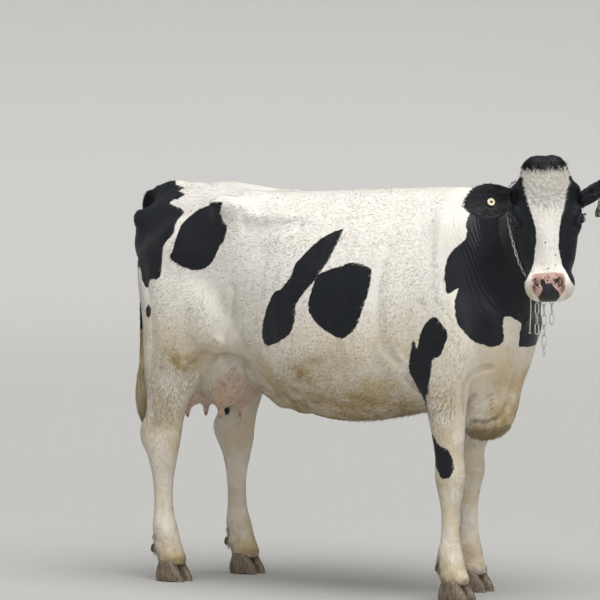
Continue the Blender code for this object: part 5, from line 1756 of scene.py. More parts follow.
@dataclass
class Coat:
    """The short coat: thin tufts that overlap and lie along the body, each in one piece of the coat."""

    head: HeadPlace
    seed: int = 7
    thick: float = 0.22  # of a tuft, as a share of its width

    def styles(self, pelt: Pelt) -> None:
        """Works out the hair's length, width, density and lift at each point of the skin.

        Args:
            pelt: the skin's arrays.
        """
        table = pelt.points - np.array(SHIFT)
        local = self.head.local(pelt.points)
        hair = np.tile(np.array(HAIR_BARREL), (len(table), 1))
        low = step(-table[:, 2], -0.86, -0.68)[:, None]
        hair += (np.array(HAIR_BELLY) - hair) * low
        legs = np.isin(pelt.zone, [zone.value for zone in LEG_ZONES])
        down_leg = step(-table[:, 2], -0.78, -0.50)[:, None]
        hair[legs] += ((np.array(HAIR_LEG) - hair) * down_leg)[legs]
        head = pelt.zone == Zone.HEAD.value
        face = np.tile(np.array(HAIR_FACE), (len(table), 1))
        back = step(-local[:, 2], 0.12, 0.24)[:, None]
        face += (np.array(HAIR_BARREL) * (0.8, 0.8, 1.7, 1.0) - face) * back
        curls = np.exp(-(((local[:, 0] - 0.10) / 0.075) ** 2) - (local[:, 1] / 0.085) ** 2)
        curls = (curls * (local[:, 2] > -0.06))[:, None]
        face += (np.array(HAIR_FOREHEAD) - face) * curls
        muzzle = step(local[:, 0], 0.38, 0.43)[:, None]
        face += (np.array(HAIR_MUZZLE) - face) * muzzle
        hair[head] = face[head]
        for zone, kind in ((Zone.EAR_RIGHT, HAIR_EAR), (Zone.EAR_LEFT, HAIR_EAR), (Zone.TAIL, HAIR_TAIL)):
            hair[pelt.zone == zone.value] = kind
        udder = (pelt.layers["bare"] > 0.3) & (table[:, 0] < 0.7)
        hair[udder] = HAIR_UDDER
        noise = np.sin(table @ np.array([23.0, 17.0, 29.0])) * np.sin(table @ np.array([-31.0, 13.0, 11.0]))
        hair[:, 0] *= 1 + 0.12 * noise
        folded = (pelt.layers["folded"] * ~head)[:, None]
        hair *= 1 + folded * (np.array((0.38, 0.60, 2.2, 0.7)) - 1)
        hair = relaxed(hair, pelt.edges, 4)
        bare = pelt.layers["bare"] * (table[:, 0] > 0.7)
        hair[:, 2] *= np.clip(1 - 1.15 * bare, 0, 1)
        pelt.layers["hair"] = hair

    def roots(self, pelt: Pelt, corners: np.ndarray, spread: np.ndarray) -> tuple[np.ndarray, np.ndarray]:
        """Scatters roots over triangles by the hair's density.

        Args:
            pelt: the skin's arrays.
            corners: three point numbers for each triangle.
            spread: each triangle's share of its hair to grow, from 0 to 1.

        Returns:
            The triangle of each root, and its three weights.
        """
        rng = np.random.default_rng(self.seed)
        a, b, c = (pelt.points[corners[:, i]] for i in range(3))
        area = np.linalg.norm(np.cross(b - a, c - a), axis=1) / 2
        wanted = area * pelt.layers["hair"][corners, 2].mean(axis=1) * spread
        number = np.floor(wanted + rng.random(len(wanted))).astype(int)
        owner = np.repeat(np.arange(len(corners)), number)
        u, v = rng.random(len(owner)), rng.random(len(owner))
        over = u + v > 1
        u[over], v[over] = 1 - u[over], 1 - v[over]
        return owner, np.stack([1 - u - v, u, v], axis=1)


def locks(paths: np.ndarray, normals: np.ndarray, widths: np.ndarray,
          thick: float) -> tuple[np.ndarray, np.ndarray]:
    """Makes closed, tapering locks of three sides along paths, each with a flat underside and a ridge on top.

    Args:
        paths: for each lock, its places from root to tip.
        normals: for each lock, the way that its ridge faces.
        widths: for each lock, its width at each place but the tip.
        thick: its height there as a share of its width.

    Returns:
        The points, and the triangles as rows of three point numbers.
    """
    count, places, _ = paths.shape
    rings = places - 1
    points = np.empty((count, rings * 3 + 1, 3), np.float32)
    ahead = np.diff(paths, axis=1)
    for k in range(rings):
        side = unit(np.cross(normals, ahead[:, k]))
        up = unit(np.cross(ahead[:, k], side))
        half = widths[:, k, None] / 2
        points[:, 3 * k] = paths[:, k] + side * half - up * half * thick
        points[:, 3 * k + 1] = paths[:, k] - side * half - up * half * thick
        points[:, 3 * k + 2] = paths[:, k] + up * half * thick * 2
    points[:, -1] = paths[:, -1]
    pattern = [(0, 1, 2)]
    for k in range(rings - 1):
        low, high = 3 * k, 3 * k + 3
        for i, j in ((0, 2), (2, 1), (1, 0)):
            pattern += [(low + i, low + j, high + j), (low + i, high + j, high + i)]
    low, tip = 3 * (rings - 1), rings * 3
    pattern += [(low, low + 2, tip), (low + 2, low + 1, tip), (low + 1, low, tip)]
    size = rings * 3 + 1
    faces = np.arange(count)[:, None, None] * size + np.array(pattern)[None]
    return points.reshape(-1, 3), faces.reshape(-1, 3)


@dataclass
class Unwrap:
    """The skin's unwrap: each face corner's place in its own zone, and each triangle's corners."""

    corner_point: np.ndarray
    zone_uv: np.ndarray
    face_zone: np.ndarray
    triangles: np.ndarray  # three face corners each
    triangle_zone: np.ndarray

    @classmethod
    def of(cls, mesh: bpy.types.Mesh, pelt: Pelt, comb: Comb, ear_turns: np.ndarray) -> Unwrap:
        """Unwraps every zone of the skin round its own middle line.

        Args:
            mesh: the skin's mesh.
            pelt: its arrays.
            comb: what sorts and unwraps it.
            ear_turns: for the ears' points, how far round the leaf and along it each is; for others zero.

        Returns:
            The unwrap.
        """
        corner_point = np.empty(len(mesh.loops), np.int32)
        mesh.loops.foreach_get("vertex_index", corner_point)
        starts, sizes = (np.empty(len(mesh.polygons), np.int32) for _ in range(2))
        mesh.polygons.foreach_get("loop_start", starts)
        mesh.polygons.foreach_get("loop_total", sizes)
        face_zone = pelt.zone[corner_point[starts]]
        corner_zone = np.repeat(face_zone, sizes)
        first = np.repeat(starts, sizes)
        uv = np.zeros((len(corner_point), 2))
        for zone in Zone:
            chosen = np.flatnonzero(corner_zone == zone.value)
            used = corner_point[chosen]
            turn, share = np.zeros(len(pelt.points)), np.zeros(len(pelt.points))
            if zone in (Zone.EAR_RIGHT, Zone.EAR_LEFT):
                turn, share = ear_turns[:, 0], ear_turns[:, 1]
            else:
                which = np.unique(np.concatenate([used, corner_point[first[chosen]]]))
                turn[which], share[which] = comb.turns(zone, pelt.points[which], pelt.normals[which])
            own = turn[corner_point[first[chosen]]]
            uv[chosen, 0] = own + (turn[used] - own + 0.5) % 1.0 - 0.5
            uv[chosen, 1] = share[used]
        mesh.calc_loop_triangles()
        triangles = np.empty(len(mesh.loop_triangles) * 3, np.int32)
        mesh.loop_triangles.foreach_get("loops", triangles)
        owner = np.empty(len(mesh.loop_triangles), np.int32)
        mesh.loop_triangles.foreach_get("polygon_index", owner)
        return cls(corner_point, uv, face_zone, triangles.reshape(-1, 3), face_zone[owner])

    def islands(self, mesh: bpy.types.Mesh) -> None:
        """Lays every zone on its own island of the skin's map.

        Args:
            mesh: the skin's mesh.
        """
        sizes = np.empty(len(mesh.polygons), np.int32)
        mesh.polygons.foreach_get("loop_total", sizes)
        corner_zone = np.repeat(self.face_zone, sizes)
        uv = self.zone_uv.copy()
        for zone, (left, low, wide, high) in ISLANDS.items():
            chosen = corner_zone == zone.value
            inside = np.clip(uv[chosen] * 0.92 + 0.04, 0.0, 1.0)
            uv[chosen] = inside * (wide, high) + (left, low)
        layer = mesh.uv_layers.new(name="OFBake")
        layer.data.foreach_set("uv", np.ascontiguousarray(uv, np.float32).ravel())


UV_PATCH = 0.0030  # across a tuft's patch of the coat's map
LAYERS = ("black", "bare", "dark", "cream", "stain")


def grow(coat: Coat, name: str, pelt: Pelt, unwrap: Unwrap, chosen: np.ndarray, spread: np.ndarray,
         seed: int, finish: bpy.types.Material) -> bpy.types.Object:
    """Grows one piece of the short coat.

    Args:
        coat: how the coat grows.
        name: the piece's name.
        pelt: the skin's arrays.
        unwrap: the skin's unwrap.
        chosen: the numbers of the triangles to grow on.
        spread: each one's share of its hair to grow.
        seed: for the scatter.
        finish: the coat's material.

    Returns:
        The piece.
    """
    rng = np.random.default_rng(seed)
    corners = unwrap.triangles[chosen]
    verts = unwrap.corner_point[corners]
    owner, weights = Coat(coat.head, seed).roots(pelt, verts, spread)
    used = verts[owner]

    def at_root(values: np.ndarray) -> np.ndarray:
        """Reads point values at the roots."""
        return np.einsum("ij,ij...->i...", weights, values[used])

    root, normal, combed = at_root(pelt.points), unit(at_root(pelt.normals)), at_root(pelt.combed)
    hair = at_root(pelt.layers["hair"])
    count = len(root)
    combed = unit(combed - normal * np.sum(combed * normal, axis=1, keepdims=True))
    side = np.cross(normal, combed)
    yaw = rng.normal(0.0, 0.16, count)
    way = combed * np.cos(yaw)[:, None] + side * np.sin(yaw)[:, None]
    length = hair[:, 0] * rng.uniform(0.70, 1.25, count)
    lift = hair[:, 3] * rng.uniform(0.5, 1.4, count)
    rise = normal * (length * np.sin(lift))[:, None]
    tip = root + way * (length * np.cos(lift))[:, None] + rise
    paths = np.stack([root - normal * 0.0004, tip], axis=1)
    width = (hair[:, 1] * rng.uniform(0.75, 1.25, count))[:, None]
    points, faces = locks(paths, normal, width, coat.thick)
    made = from_arrays(name, inside_box(points), faces)
    each = 4
    give(made.data, "rest", np.repeat(root, each, axis=0))
    give(made.data, "facing", np.repeat(normal, each, axis=0))
    give(made.data, "tone", np.repeat(rng.random(count), each))
    for layer in LAYERS:
        values = at_root(pelt.layers[layer])
        if layer == "black":
            values = values + rng.normal(0.0, 0.0016, count)
        give(made.data, layer, np.repeat(values, each))
    root_uv = np.einsum("ij,ijk->ik", weights, unwrap.zone_uv[corners[owner]])
    lay_patches(made.data, root_uv, faces, each)
    dress(made, finish)
    return made


def inside_box(points: np.ndarray) -> np.ndarray:
    """Keeps hair inside the box of the solids."""
    low, high = (np.array(corner) for corner in CAD_BOX)
    return np.clip(points, low + (0, 0, 0.0005), high - 0.0005)


def lay_patches(mesh: bpy.types.Mesh, root_uv: np.ndarray, faces: np.ndarray, each: int) -> None:
    """Gives each lock a small patch of the map, at its root's place on the skin's unwrap.

    Args:
        mesh: the mesh of all the locks.
        root_uv: each root's place on the unwrap.
        faces: the mesh's triangles.
        each: how many points a lock has.
    """
    low, high = root_uv.min(axis=0), root_uv.max(axis=0)
    placed = (root_uv - low) / np.maximum(high - low, 1e-6) * 0.99 + 0.005
    rings = (each - 1) // 3
    offsets = [(x, -1.0 + 1.6 * k / rings) for k in range(rings) for x in (-1.0, 1.0, 0.0)]
    offsets = np.array([(x, y + (0.35 if x == 0.0 else 0.0)) for x, y in offsets] + [(0.0, 1.0)])
    uv = placed[:, None, :] + offsets[None] * (UV_PATCH / 2)
    layer = mesh.uv_layers.new(name="OFBake")
    layer.data.foreach_set("uv", np.ascontiguousarray(uv.reshape(-1, 2)[faces.ravel()], np.float32).ravel())


def dress(obj: bpy.types.Object, finish: bpy.types.Material) -> bpy.types.Object:
    """Gives obj its one material and smooth shading.

    Args:
        obj: the object.
        finish: its material.

    Returns:
        The same object.
    """
    obj.data.materials.clear()
    obj.data.materials.append(finish)
    obj.data.shade_smooth()
    return obj


# ---------------------------------------------------------------- finishes


class Nodes:
    """A short hand for building one material's nodes."""

    def __init__(self, name: str) -> None:
        """Starts an empty material.

        Args:
            name: the material's name.
        """
        self.material = bpy.data.materials.new(name)
        self.material.use_nodes = True
        self.tree = self.material.node_tree
        self.shader = self.tree.nodes["Principled BSDF"]

    def add(self, kind: str, inputs: dict | None = None, **settings: object) -> bpy.types.Node:
        """Adds a node.

        Args:
            kind: its type's name.
            inputs: what goes into its sockets: a number, a colour, or another node's output.
            settings: its own options.

        Returns:
            The node.
        """
        node = self.tree.nodes.new(kind)
        for key, value in settings.items():
            setattr(node, key, value)
        for key, value in (inputs or {}).items():
            self.plug(node.inputs[key], value)
        return node

    def plug(self, socket: bpy.types.NodeSocket, value: object) -> None:
        """Links an output to a socket, or sets the socket's value.

        Args:
            socket: the socket.
            value: an output to link, or a value to set.
        """
        if isinstance(value, bpy.types.NodeSocket):
            self.tree.links.new(value, socket)
        else:
            socket.default_value = value

    def layer(self, name: str, vector: bool = False) -> bpy.types.NodeSocket:
        """Reads what the mesh stores at its points under this name."""
        node = self.add("ShaderNodeAttribute", attribute_name=name)
        return node.outputs["Vector" if vector else "Fac"]

    def math(self, operation: str, a: object, b: object = 0.0, clamp: bool = False) -> bpy.types.NodeSocket:
        """Works out one sum of two numbers.

        Args:
            operation: which sum.
            a, b: its two sides.
            clamp: whether to keep it from 0 to 1.

        Returns:
            The sum's output.
        """
        node = self.add("ShaderNodeMath", operation=operation, use_clamp=clamp)
        self.plug(node.inputs[0], a)
        self.plug(node.inputs[1], b)
        return node.outputs[0]

    def ramp(self, value: object, low: float, high: float, to_low: float = 0.0,
             to_high: float = 1.0) -> bpy.types.NodeSocket:
        """Maps a range of numbers smoothly onto another.

        Args:
            value: the number.
            low, high: the range that it comes from.
            to_low, to_high: the range that it goes to.

        Returns:
            The mapped number.
        """
        node = self.add("ShaderNodeMapRange",
                        {"Value": value, "From Min": low, "From Max": high, "To Min": to_low,
                         "To Max": to_high}, interpolation_type="SMOOTHSTEP")
        return node.outputs["Result"]

    def noise(self, scale: float, detail: float = 3.0, rough: float = 0.5,
              at: object = None) -> bpy.types.NodeSocket:
        """Makes noise of a size, in features to the metre.

        Args:
            scale: how many features to the metre.
            detail: how many finer layers.
            rough: how strong they are.
            at: the place to read it at.

        Returns:
            The noise, from 0 to 1.
        """
        inputs = {"Scale": scale, "Detail": detail, "Roughness": rough}
        if at is not None:
            inputs["Vector"] = at
        return self.add("ShaderNodeTexNoise", inputs).outputs["Fac"]

    def stretched(self, vector: object, scale: Sequence[float]) -> bpy.types.NodeSocket:
        """Stretches places along the axes."""
        return self.add("ShaderNodeVectorMath", {0: vector, 1: tuple(scale)}, operation="MULTIPLY").outputs[0]

    def mix(self, share: object, a: object, b: object) -> bpy.types.NodeSocket:
        """Mixes two colours.

        Args:
            share: how much of the second.
            a, b: the two colours.

        Returns:
            The mixed colour.
        """
        node = self.add("ShaderNodeMix", {0: share}, data_type="RGBA")
        self.plug(node.inputs[6], a)
        self.plug(node.inputs[7], b)
        return node.outputs[2]

    def bump(self, height: object, strength: float, distance: float,
             normal: object = None) -> bpy.types.NodeSocket:
        """Turns a height into a normal.

        Args:
            height: the height.
            strength: how much of it shows.
            distance: how high it stands.
            normal: the normal that it starts from.

        Returns:
            The normal.
        """
        inputs = {"Height": height, "Strength": strength, "Distance": distance}
        if normal is not None:
            inputs["Normal"] = normal
        return self.add("ShaderNodeBump", inputs).outputs["Normal"]

    def finish(self, **inputs: object) -> bpy.types.Material:
        """Plugs values into the shader's sockets, named with spaces as underscores.

        Args:
            inputs: what goes in.

        Returns:
            The finished material.
        """
        for key, value in inputs.items():
            self.plug(self.shader.inputs[key.replace("_", " ")], value)
        return self.material


def shade(r: float, g: float, b: float) -> tuple[float, float, float, float]:
    """Makes an opaque colour."""
    return (r, g, b, 1.0)


@dataclass(frozen=True)
class CoatFinish:
    """Colours of the white and black hair, the creamy tint, the stains and the bare pink or dark skin;
    painted shade uses tint, stains and dark.
    """

    white: tuple = shade(0.86, 0.835, 0.785)
    # Creamy tint, also painted as shade under the body and between the forehead's curls.
    cream: tuple = shade(0.61, 0.50, 0.315)
    # Colour of stains, also painted as shadow over the udder and as shade under the belly and brisket.
    stain: tuple = shade(0.36, 0.235, 0.080)
    black: tuple = shade(0.0095, 0.0120, 0.0170)
    rusty: tuple = shade(0.017, 0.0175, 0.021)
    pink: tuple = shade(0.64, 0.43, 0.385)
    rosy: tuple = shade(0.45, 0.255, 0.210)
    flushed: tuple = shade(0.130, 0.046, 0.030)
    slate: tuple = shade(0.030, 0.029, 0.031)

    def make(self, name: str, tufts: bool) -> bpy.types.Material:
        """Builds the material for the skin, or for the tufts over it.

        Args:
            name: its name.
            tufts: whether it is for the tufts.

        Returns:
            The material.
        """
        n = Nodes(name)
        rest = n.layer("rest", True)
        tone = n.layer("tone")
        ragged = n.math("SUBTRACT", n.noise(55.0, 2.0, 0.5, rest), 0.5)
        fine = n.math("SUBTRACT", n.noise(240.0, 1.0, 0.5, rest), 0.5)
        edge = n.math("ADD", n.layer("black"), n.math("MULTIPLY", ragged, 0.011))
        edge = n.math("ADD", edge, n.math("MULTIPLY", fine, 0.005))
        is_black = n.ramp(edge, -0.0010, 0.0014)
        patchy = n.noise(7.0, 4.0, 0.6, rest)
        # The creamy tint and the stains' colour also carry painted shade from the layers.
        cream_and_shade_share = n.math("MULTIPLY", n.layer("cream"), n.ramp(patchy, 0.30, 0.66, 0.35, 1.2), True)
        white = n.mix(cream_and_shade_share, self.white, self.cream)
        blotches = n.noise(16.0, 5.0, 0.65, rest)
        stain_and_shade_share = n.math("MULTIPLY", n.layer("stain"), n.ramp(blotches, 0.34, 0.66, 0.05, 1.0), True)
        white = n.mix(stain_and_shade_share, white, self.stain)
        black = n.mix(n.ramp(n.noise(11.0, 3.0, 0.6, rest), 0.45, 0.75, 0.0, 0.55), self.black, self.rusty)
        hair = n.mix(is_black, white, black)
        mottled = n.ramp(n.noise(60.0, 3.0, 0.6, rest), 0.35, 0.68)
        skin = n.mix(mottled, self.pink, self.rosy)
        skin = n.mix(n.math("MULTIPLY", n.layer("stain"), n.ramp(blotches, 0.25, 0.6, 0.6, 1.0), True), skin,
                     self.flushed)
        dark = n.math("ADD", n.layer("dark"), n.math("MULTIPLY", fine, 0.004))
        skin = n.mix(n.ramp(dark, -0.0012, 0.0012), skin, self.slate)
        under_black = n.math("MULTIPLY", is_black, 0.9)
        bare = n.ramp(n.math("ADD", n.layer("bare"), n.math("MULTIPLY", ragged, 0.25)), 0.35, 0.65)
        skin = n.mix(under_black, skin, self.slate)
        colour = n.mix(bare, hair, skin)
        strand = n.noise(1.0, 2.0, 0.6, n.stretched(rest, (150.0, 420.0, 210.0)))
        # On the hide, streaks are darker where the strand bump is low: partly the hair's own streaks, partly
        # painted shade in the grooves.
        value = n.ramp(tone, 0.0, 1.0, 0.95, 1.05) if tufts else n.ramp(strand, 0.3, 0.7, 0.86, 1.03)
        bright = n.add("ShaderNodeHueSaturation", {"Value": value, "Color": colour}).outputs["Color"]
        rough = n.add("ShaderNodeMix", {0: is_black, 2: 0.66, 3: 0.46}, data_type="FLOAT").outputs[0]
        rough = n.add("ShaderNodeMix", {0: bare, 2: rough, 3: 0.36}, data_type="FLOAT").outputs[0]
        if tufts:
            own = n.add("ShaderNodeNewGeometry").outputs["Normal"]
            smooth = n.add("ShaderNodeVectorMath", {0: n.layer("facing", True), 1: (0.78, 0.78, 0.78)},
                           operation="MULTIPLY")
            rough_part = n.add("ShaderNodeVectorMath", {0: own, 1: (0.22, 0.22, 0.22)}, operation="MULTIPLY")
            both = n.add("ShaderNodeVectorMath", {0: smooth.outputs[0], 1: rough_part.outputs[0]},
                         operation="ADD")
            normal = n.add("ShaderNodeVectorMath", {0: both.outputs[0]}, operation="NORMALIZE").outputs[0]
        else:
            cobbles = n.add("ShaderNodeTexVoronoi", {"Vector": rest, "Scale": 330.0},
                            feature="DISTANCE_TO_EDGE")
            pebbled = n.math("MULTIPLY", n.ramp(cobbles.outputs["Distance"], 0.0, 0.25), bare)
            height = n.math("ADD", n.math("MULTIPLY", strand, 0.4), pebbled)
            normal = n.bump(height, 0.55, 0.0012)
        return n.finish(Base_Color=bright, Roughness=rough, Normal=normal, Specular_IOR_Level=0.26,
                        Sheen_Weight=0.03, Sheen_Roughness=0.45)


@dataclass(frozen=True)
class PlainFinish:
    """A finish of one colour with a little mottling and bump."""

    name: str
    colour: tuple
    second: tuple
    roughness: float = 0.5
    metallic: float = 0.0
    grain: float = 90.0
    bump: float = 0.25
    stretch: tuple = (1.0, 1.0, 1.0)

    def make(self) -> bpy.types.Material:
        """Builds the material.

        Returns:
            The material.
        """
        n = Nodes(self.name)
        where = n.stretched(n.add("ShaderNodeTexCoord").outputs["Object"], self.stretch)
        spots = n.noise(self.grain, 4.0, 0.6, where)
        colour = n.mix(n.ramp(spots, 0.35, 0.68), self.colour, self.second)
        rough = n.ramp(spots, 0.3, 0.7, self.roughness * 0.85, min(1.0, self.roughness * 1.2))
        return n.finish(Base_Color=colour, Roughness=rough, Metallic=self.metallic,
                        Normal=n.bump(spots, self.bump, 0.0008))


# ---------------------------------------------------------------- hide, lids and coat


@dataclass
class Lids:
    """The lids round one eye: a rim that hugs the ball, and folds that run out into the face."""

    eye: EyePlace
    around: int = 96
    rim: float = 0.0019  # how thick a lid is at its edge
    spread: float = 1.62  # of the outer edge, in openings
    rows: int = 12

    def opening(self, turn: float, grow: float) -> tuple[float, float]:
        """Gives a place on the almond of the opening, or of a larger one.

        Args:
            turn: how far round, from the front corner over the upper lid.
            grow: how many times larger.

        Returns:
            The place towards the front corner and towards the upper lid.
        """
        long, high = EYE_OPEN
        c, s = math.cos(turn), math.sin(turn)
        pinch = abs(s) ** 1.25 * math.copysign(1.0, s)
        return c * long * grow, (pinch * high * (1.0 if s > 0 else 0.86) - 0.0006 * (1 - abs(s))) * grow

    def build(self, cover: BVHTree) -> bpy.types.Object:
        """Makes the lids as one closed ring.

        Args:
            cover: the face's skin, which their outer edge sinks into.

        Returns:
            The loose object.
        """
        rings = []
        for turn in np.arange(self.around) / self.around * 2 * math.pi:
            inner = self.opening(turn, 1.0)
            flat = math.hypot(*inner)
            far = self.outer(turn)
            edge = self.on_ball(inner, 0.0003)
            foot = self.drop(cover, far)
            ring = [edge, self.on_ball(inner, self.rim)]
            upper = math.sin(turn) > 0
            for row in range(1, self.rows + 1):
                t = row / self.rows
                x, y = inner[0] + (far[0] - inner[0]) * t, inner[1] + (far[1] - inner[1]) * t
                blend = t * t * (3 - 2 * t)
                ball = self.on_ball((x, y), self.rim + 0.0022 * math.sin(math.pi * min(1.0, t * 1.3)))[2]
                fold = 0.0013 if upper else 0.0007
                crease = fold * math.exp(-(((t - 0.42) / 0.10) ** 2))
                crease += fold * 0.6 * math.exp(-(((t - 0.72) / 0.09) ** 2))
                z = ball * (1 - blend) + foot * blend - crease * math.sin(turn) ** 2
                ring.append((x, y, z))
            ring.append((far[0], far[1], foot - 0.004))
            ring.append((inner[0] * (1 + 0.006 / flat), inner[1] * (1 + 0.006 / flat), edge[2] - 0.004))
            rings.append([Vector(self.eye.world(np.array(p))) for p in ring])
        return loft(f"lids_{self.eye.name}", rings, closed=True)

    def outer(self, turn: float) -> tuple[float, float]:
        """Gives a place on the lids' outer edge."""
        long, high = EYE_OPEN
        return math.cos(turn) * long * self.spread, math.sin(turn) * high * (self.spread + 0.62)

    def on_ball(self, at: tuple[float, float], lift: float) -> tuple[float, float, float]:
        """Lays a place on the ball, this far over it, and lets it fall away softly beyond.

        Args:
            at: the place towards the front corner and the upper lid.
            lift: how far over the ball.

        Returns:
            The place, with how far out it lies.
        """
        radius = EYE_RADIUS + lift
        inside = radius**2 - at[0] ** 2 - at[1] ** 2
        out = math.sqrt(max(inside, 0.0)) if inside > 0.00004 else 0.0063 - (0.00004 - inside) * 20
        return at[0], at[1], out

    def drop(self, cover: BVHTree, at: tuple[float, float]) -> float:
        """Finds how far out the face is at a place beside the eye, a little under its surface.

        Args:
            cover: the face's skin.
            at: the place towards the front corner and the upper lid.

        Returns:
            How far out the face is there.
        """
        start = self.eye.world(np.array((at[0], at[1], 0.06)))
        hit = cover.ray_cast(Vector(start), Vector(-self.eye.sight), 0.12)[0]
        return 0.06 - (Vector(start) - hit).length - 0.0006 if hit is not None else 0.0


NEAR_EYE = 0.05  # how far from an eye's middle its lids reach at most


@dataclass
class Hide:
    """The hide: skin, ears and lids in one mesh, with its markings, its lie and its unwrap."""

    skin: Skin
    eyes: Sequence[EyePlace]
    pelt: Pelt | None = None
    unwrap: Unwrap | None = None
    piece: bpy.types.Object | None = None

    def build(self) -> bpy.types.Object:
        """Makes and colours the mesh.

        Returns:
            The hide.
        """
        hide = self.skin.rough()
        LOG.info("hide melted together: %d points", len(hide.data.vertices))
        FineForms(self.skin).shape(hide, self.eyes)
        comb = Comb(self.skin.head, self.skin.line)
        zones = [comb.zones(read_points(hide.data))]
        turns = [np.zeros((len(zones[0]), 2))]
        pieces = [hide]
        cover = bvh_of(hide)
        for ear in EARS:
            leaf, share, round_leaf = ear.shell(self.skin.head)
            pieces.append(leaf)
            zones.append(np.full(len(share), ear.zone.value))
            turns.append(np.stack([round_leaf / 2, share], axis=1))
        for eye in self.eyes:
            lids = Lids(eye).build(cover)
            pieces.append(lids)
            zones.append(np.full(len(lids.data.vertices), Zone.HEAD.value))
            turns.append(np.zeros((len(zones[-1]), 2)))
        hide = joined("hide", pieces)
        mesh = hide.data
        self.pelt = Pelt(read_points(mesh), read_normals(mesh), edges_of(mesh), np.concatenate(zones))
        on_lids = [np.zeros(len(z)) for z in zones[:3]] + [np.ones(len(z)) for z in zones[3:]]
        self.pelt.layers["lid"] = np.concatenate(on_lids)
        self.pelt.layers["folded"] = FineForms(self.skin).folded(self.pelt.points).astype(float)
        comb.lay(self.pelt, EARS)
        Colouring(self.skin.head, self.skin.line).paint(self.pelt)
        self.lid_edges()
        Coat(self.skin.head).styles(self.pelt)
        self.keep_clear()
        self.unwrap = Unwrap.of(mesh, self.pelt, comb, np.concatenate(turns))
        self.unwrap.islands(mesh)
        give(mesh, "rest", self.pelt.points)
        give(mesh, "tone", np.full(len(self.pelt.points), 0.5))
        for layer in LAYERS:
            give(mesh, layer, self.pelt.layers[layer])
        self.piece = dress(hide, CoatFinish().make("hide", False))
        return hide

    def lid_edges(self) -> None:
        """Bares and darkens the skin along the lids' edges."""
        for eye in self.eyes:
            local = eye.local(self.pelt.points)
            long, high = EYE_OPEN
            span = np.sqrt((local[:, 0] / long) ** 2 + (local[:, 1] / high) ** 2)
            near = np.linalg.norm(local, axis=1) < NEAR_EYE
            edge = step(-span, -1.45, -1.20) * near * self.pelt.layers["lid"]
            self.pelt.layers["bare"] = np.maximum(self.pelt.layers["bare"], edge)
            self.pelt.layers["dark"] = np.where(edge > 0.01, 0.05, self.pelt.layers["dark"])

    def keep_clear(self) -> None:
        """Keeps the coat out of the sockets, and shortens it on and round the lids."""
        hair = self.pelt.layers["hair"]
        long, high = EYE_OPEN
        for eye in self.eyes:
            local = eye.local(self.pelt.points)
            near = np.linalg.norm(local, axis=1) < NEAR_EYE
            span = np.sqrt((local[:, 0] / long) ** 2 + (local[:, 1] / high) ** 2)
            on_lid = self.pelt.layers["lid"] > 0.5
            hair[near & ~on_lid & (span < 1.5), 2] = 0.0
            hair[near & on_lid & (span < 1.25), 2] = 0.0
            soft = np.clip(np.linalg.norm(local, axis=1) / 0.06, 0.45, 1.0)
            hair[:, 0] *= np.where(near, soft, 1.0)
            hair[:, 1] *= np.where(near, soft, 1.0)

    def coat(self) -> list[bpy.types.Object]:
        """Grows the short coat in pieces, each on its own stretch of the hide.

        Returns:
            The pieces.
        """
        finish = CoatFinish().make("coat", True)
        pelt, unwrap = self.pelt, self.unwrap
        verts = unwrap.corner_point[unwrap.triangles]
        middle = pelt.points[verts].mean(axis=1)
        _, turn, _, _ = self.skin.line.round(middle)
        left = turn > 0
        barrel = unwrap.triangle_zone == Zone.BARREL.value
        head = unwrap.triangle_zone == Zone.HEAD.value
        head_left = self.skin.head.local(middle)[:, 1] > 0
        x = middle[:, 0]
        chosen = {}
        for side, of_side in (("right", ~left), ("left", left)):
            chosen[f"coat_rump_{side}"] = barrel & of_side & (x < -0.50)
            chosen[f"coat_barrel_{side}"] = barrel & of_side & (x >= -0.50) & (x < 0.10)
            chosen[f"coat_shoulder_{side}"] = barrel & of_side & (x >= 0.10)
        chosen["coat_face_right"], chosen["coat_face_left"] = head & ~head_left, head & head_left
        for zone in (*LEG_ZONES, Zone.TAIL, Zone.EAR_RIGHT, Zone.EAR_LEFT):
            chosen[f"coat_{zone.name.lower()}"] = unwrap.triangle_zone == zone.value
        made = []
        ear_zones = (Zone.EAR_RIGHT.value, Zone.EAR_LEFT.value)
        for seed, (name, mask) in enumerate(chosen.items()):
            which = np.flatnonzero(mask)
            spread = np.ones(len(which))
            if unwrap.triangle_zone[which[0]] in ear_zones:
                spread[self.inside_ear(which)] = 0.55
            piece = grow(Coat(self.skin.head), name, pelt, unwrap, which, spread, 100 + seed, finish)
            LOG.info("%s: %d triangles", name, len(piece.data.polygons))
            made.append(piece)
        return made

    def inside_ear(self, which: np.ndarray) -> np.ndarray:
        """Tells which of an ear's triangles lie in its opening."""
        return self.unwrap.zone_uv[self.unwrap.triangles[which], 0].mean(axis=1) > 0.5


# How much wider than its solid the switch spreads, and how far aside: along the cow, then across her.
SWITCH_SPREAD = ((1.35, 0.010), (1.10, 0.0))
LASH_WIDTH = 0.0010


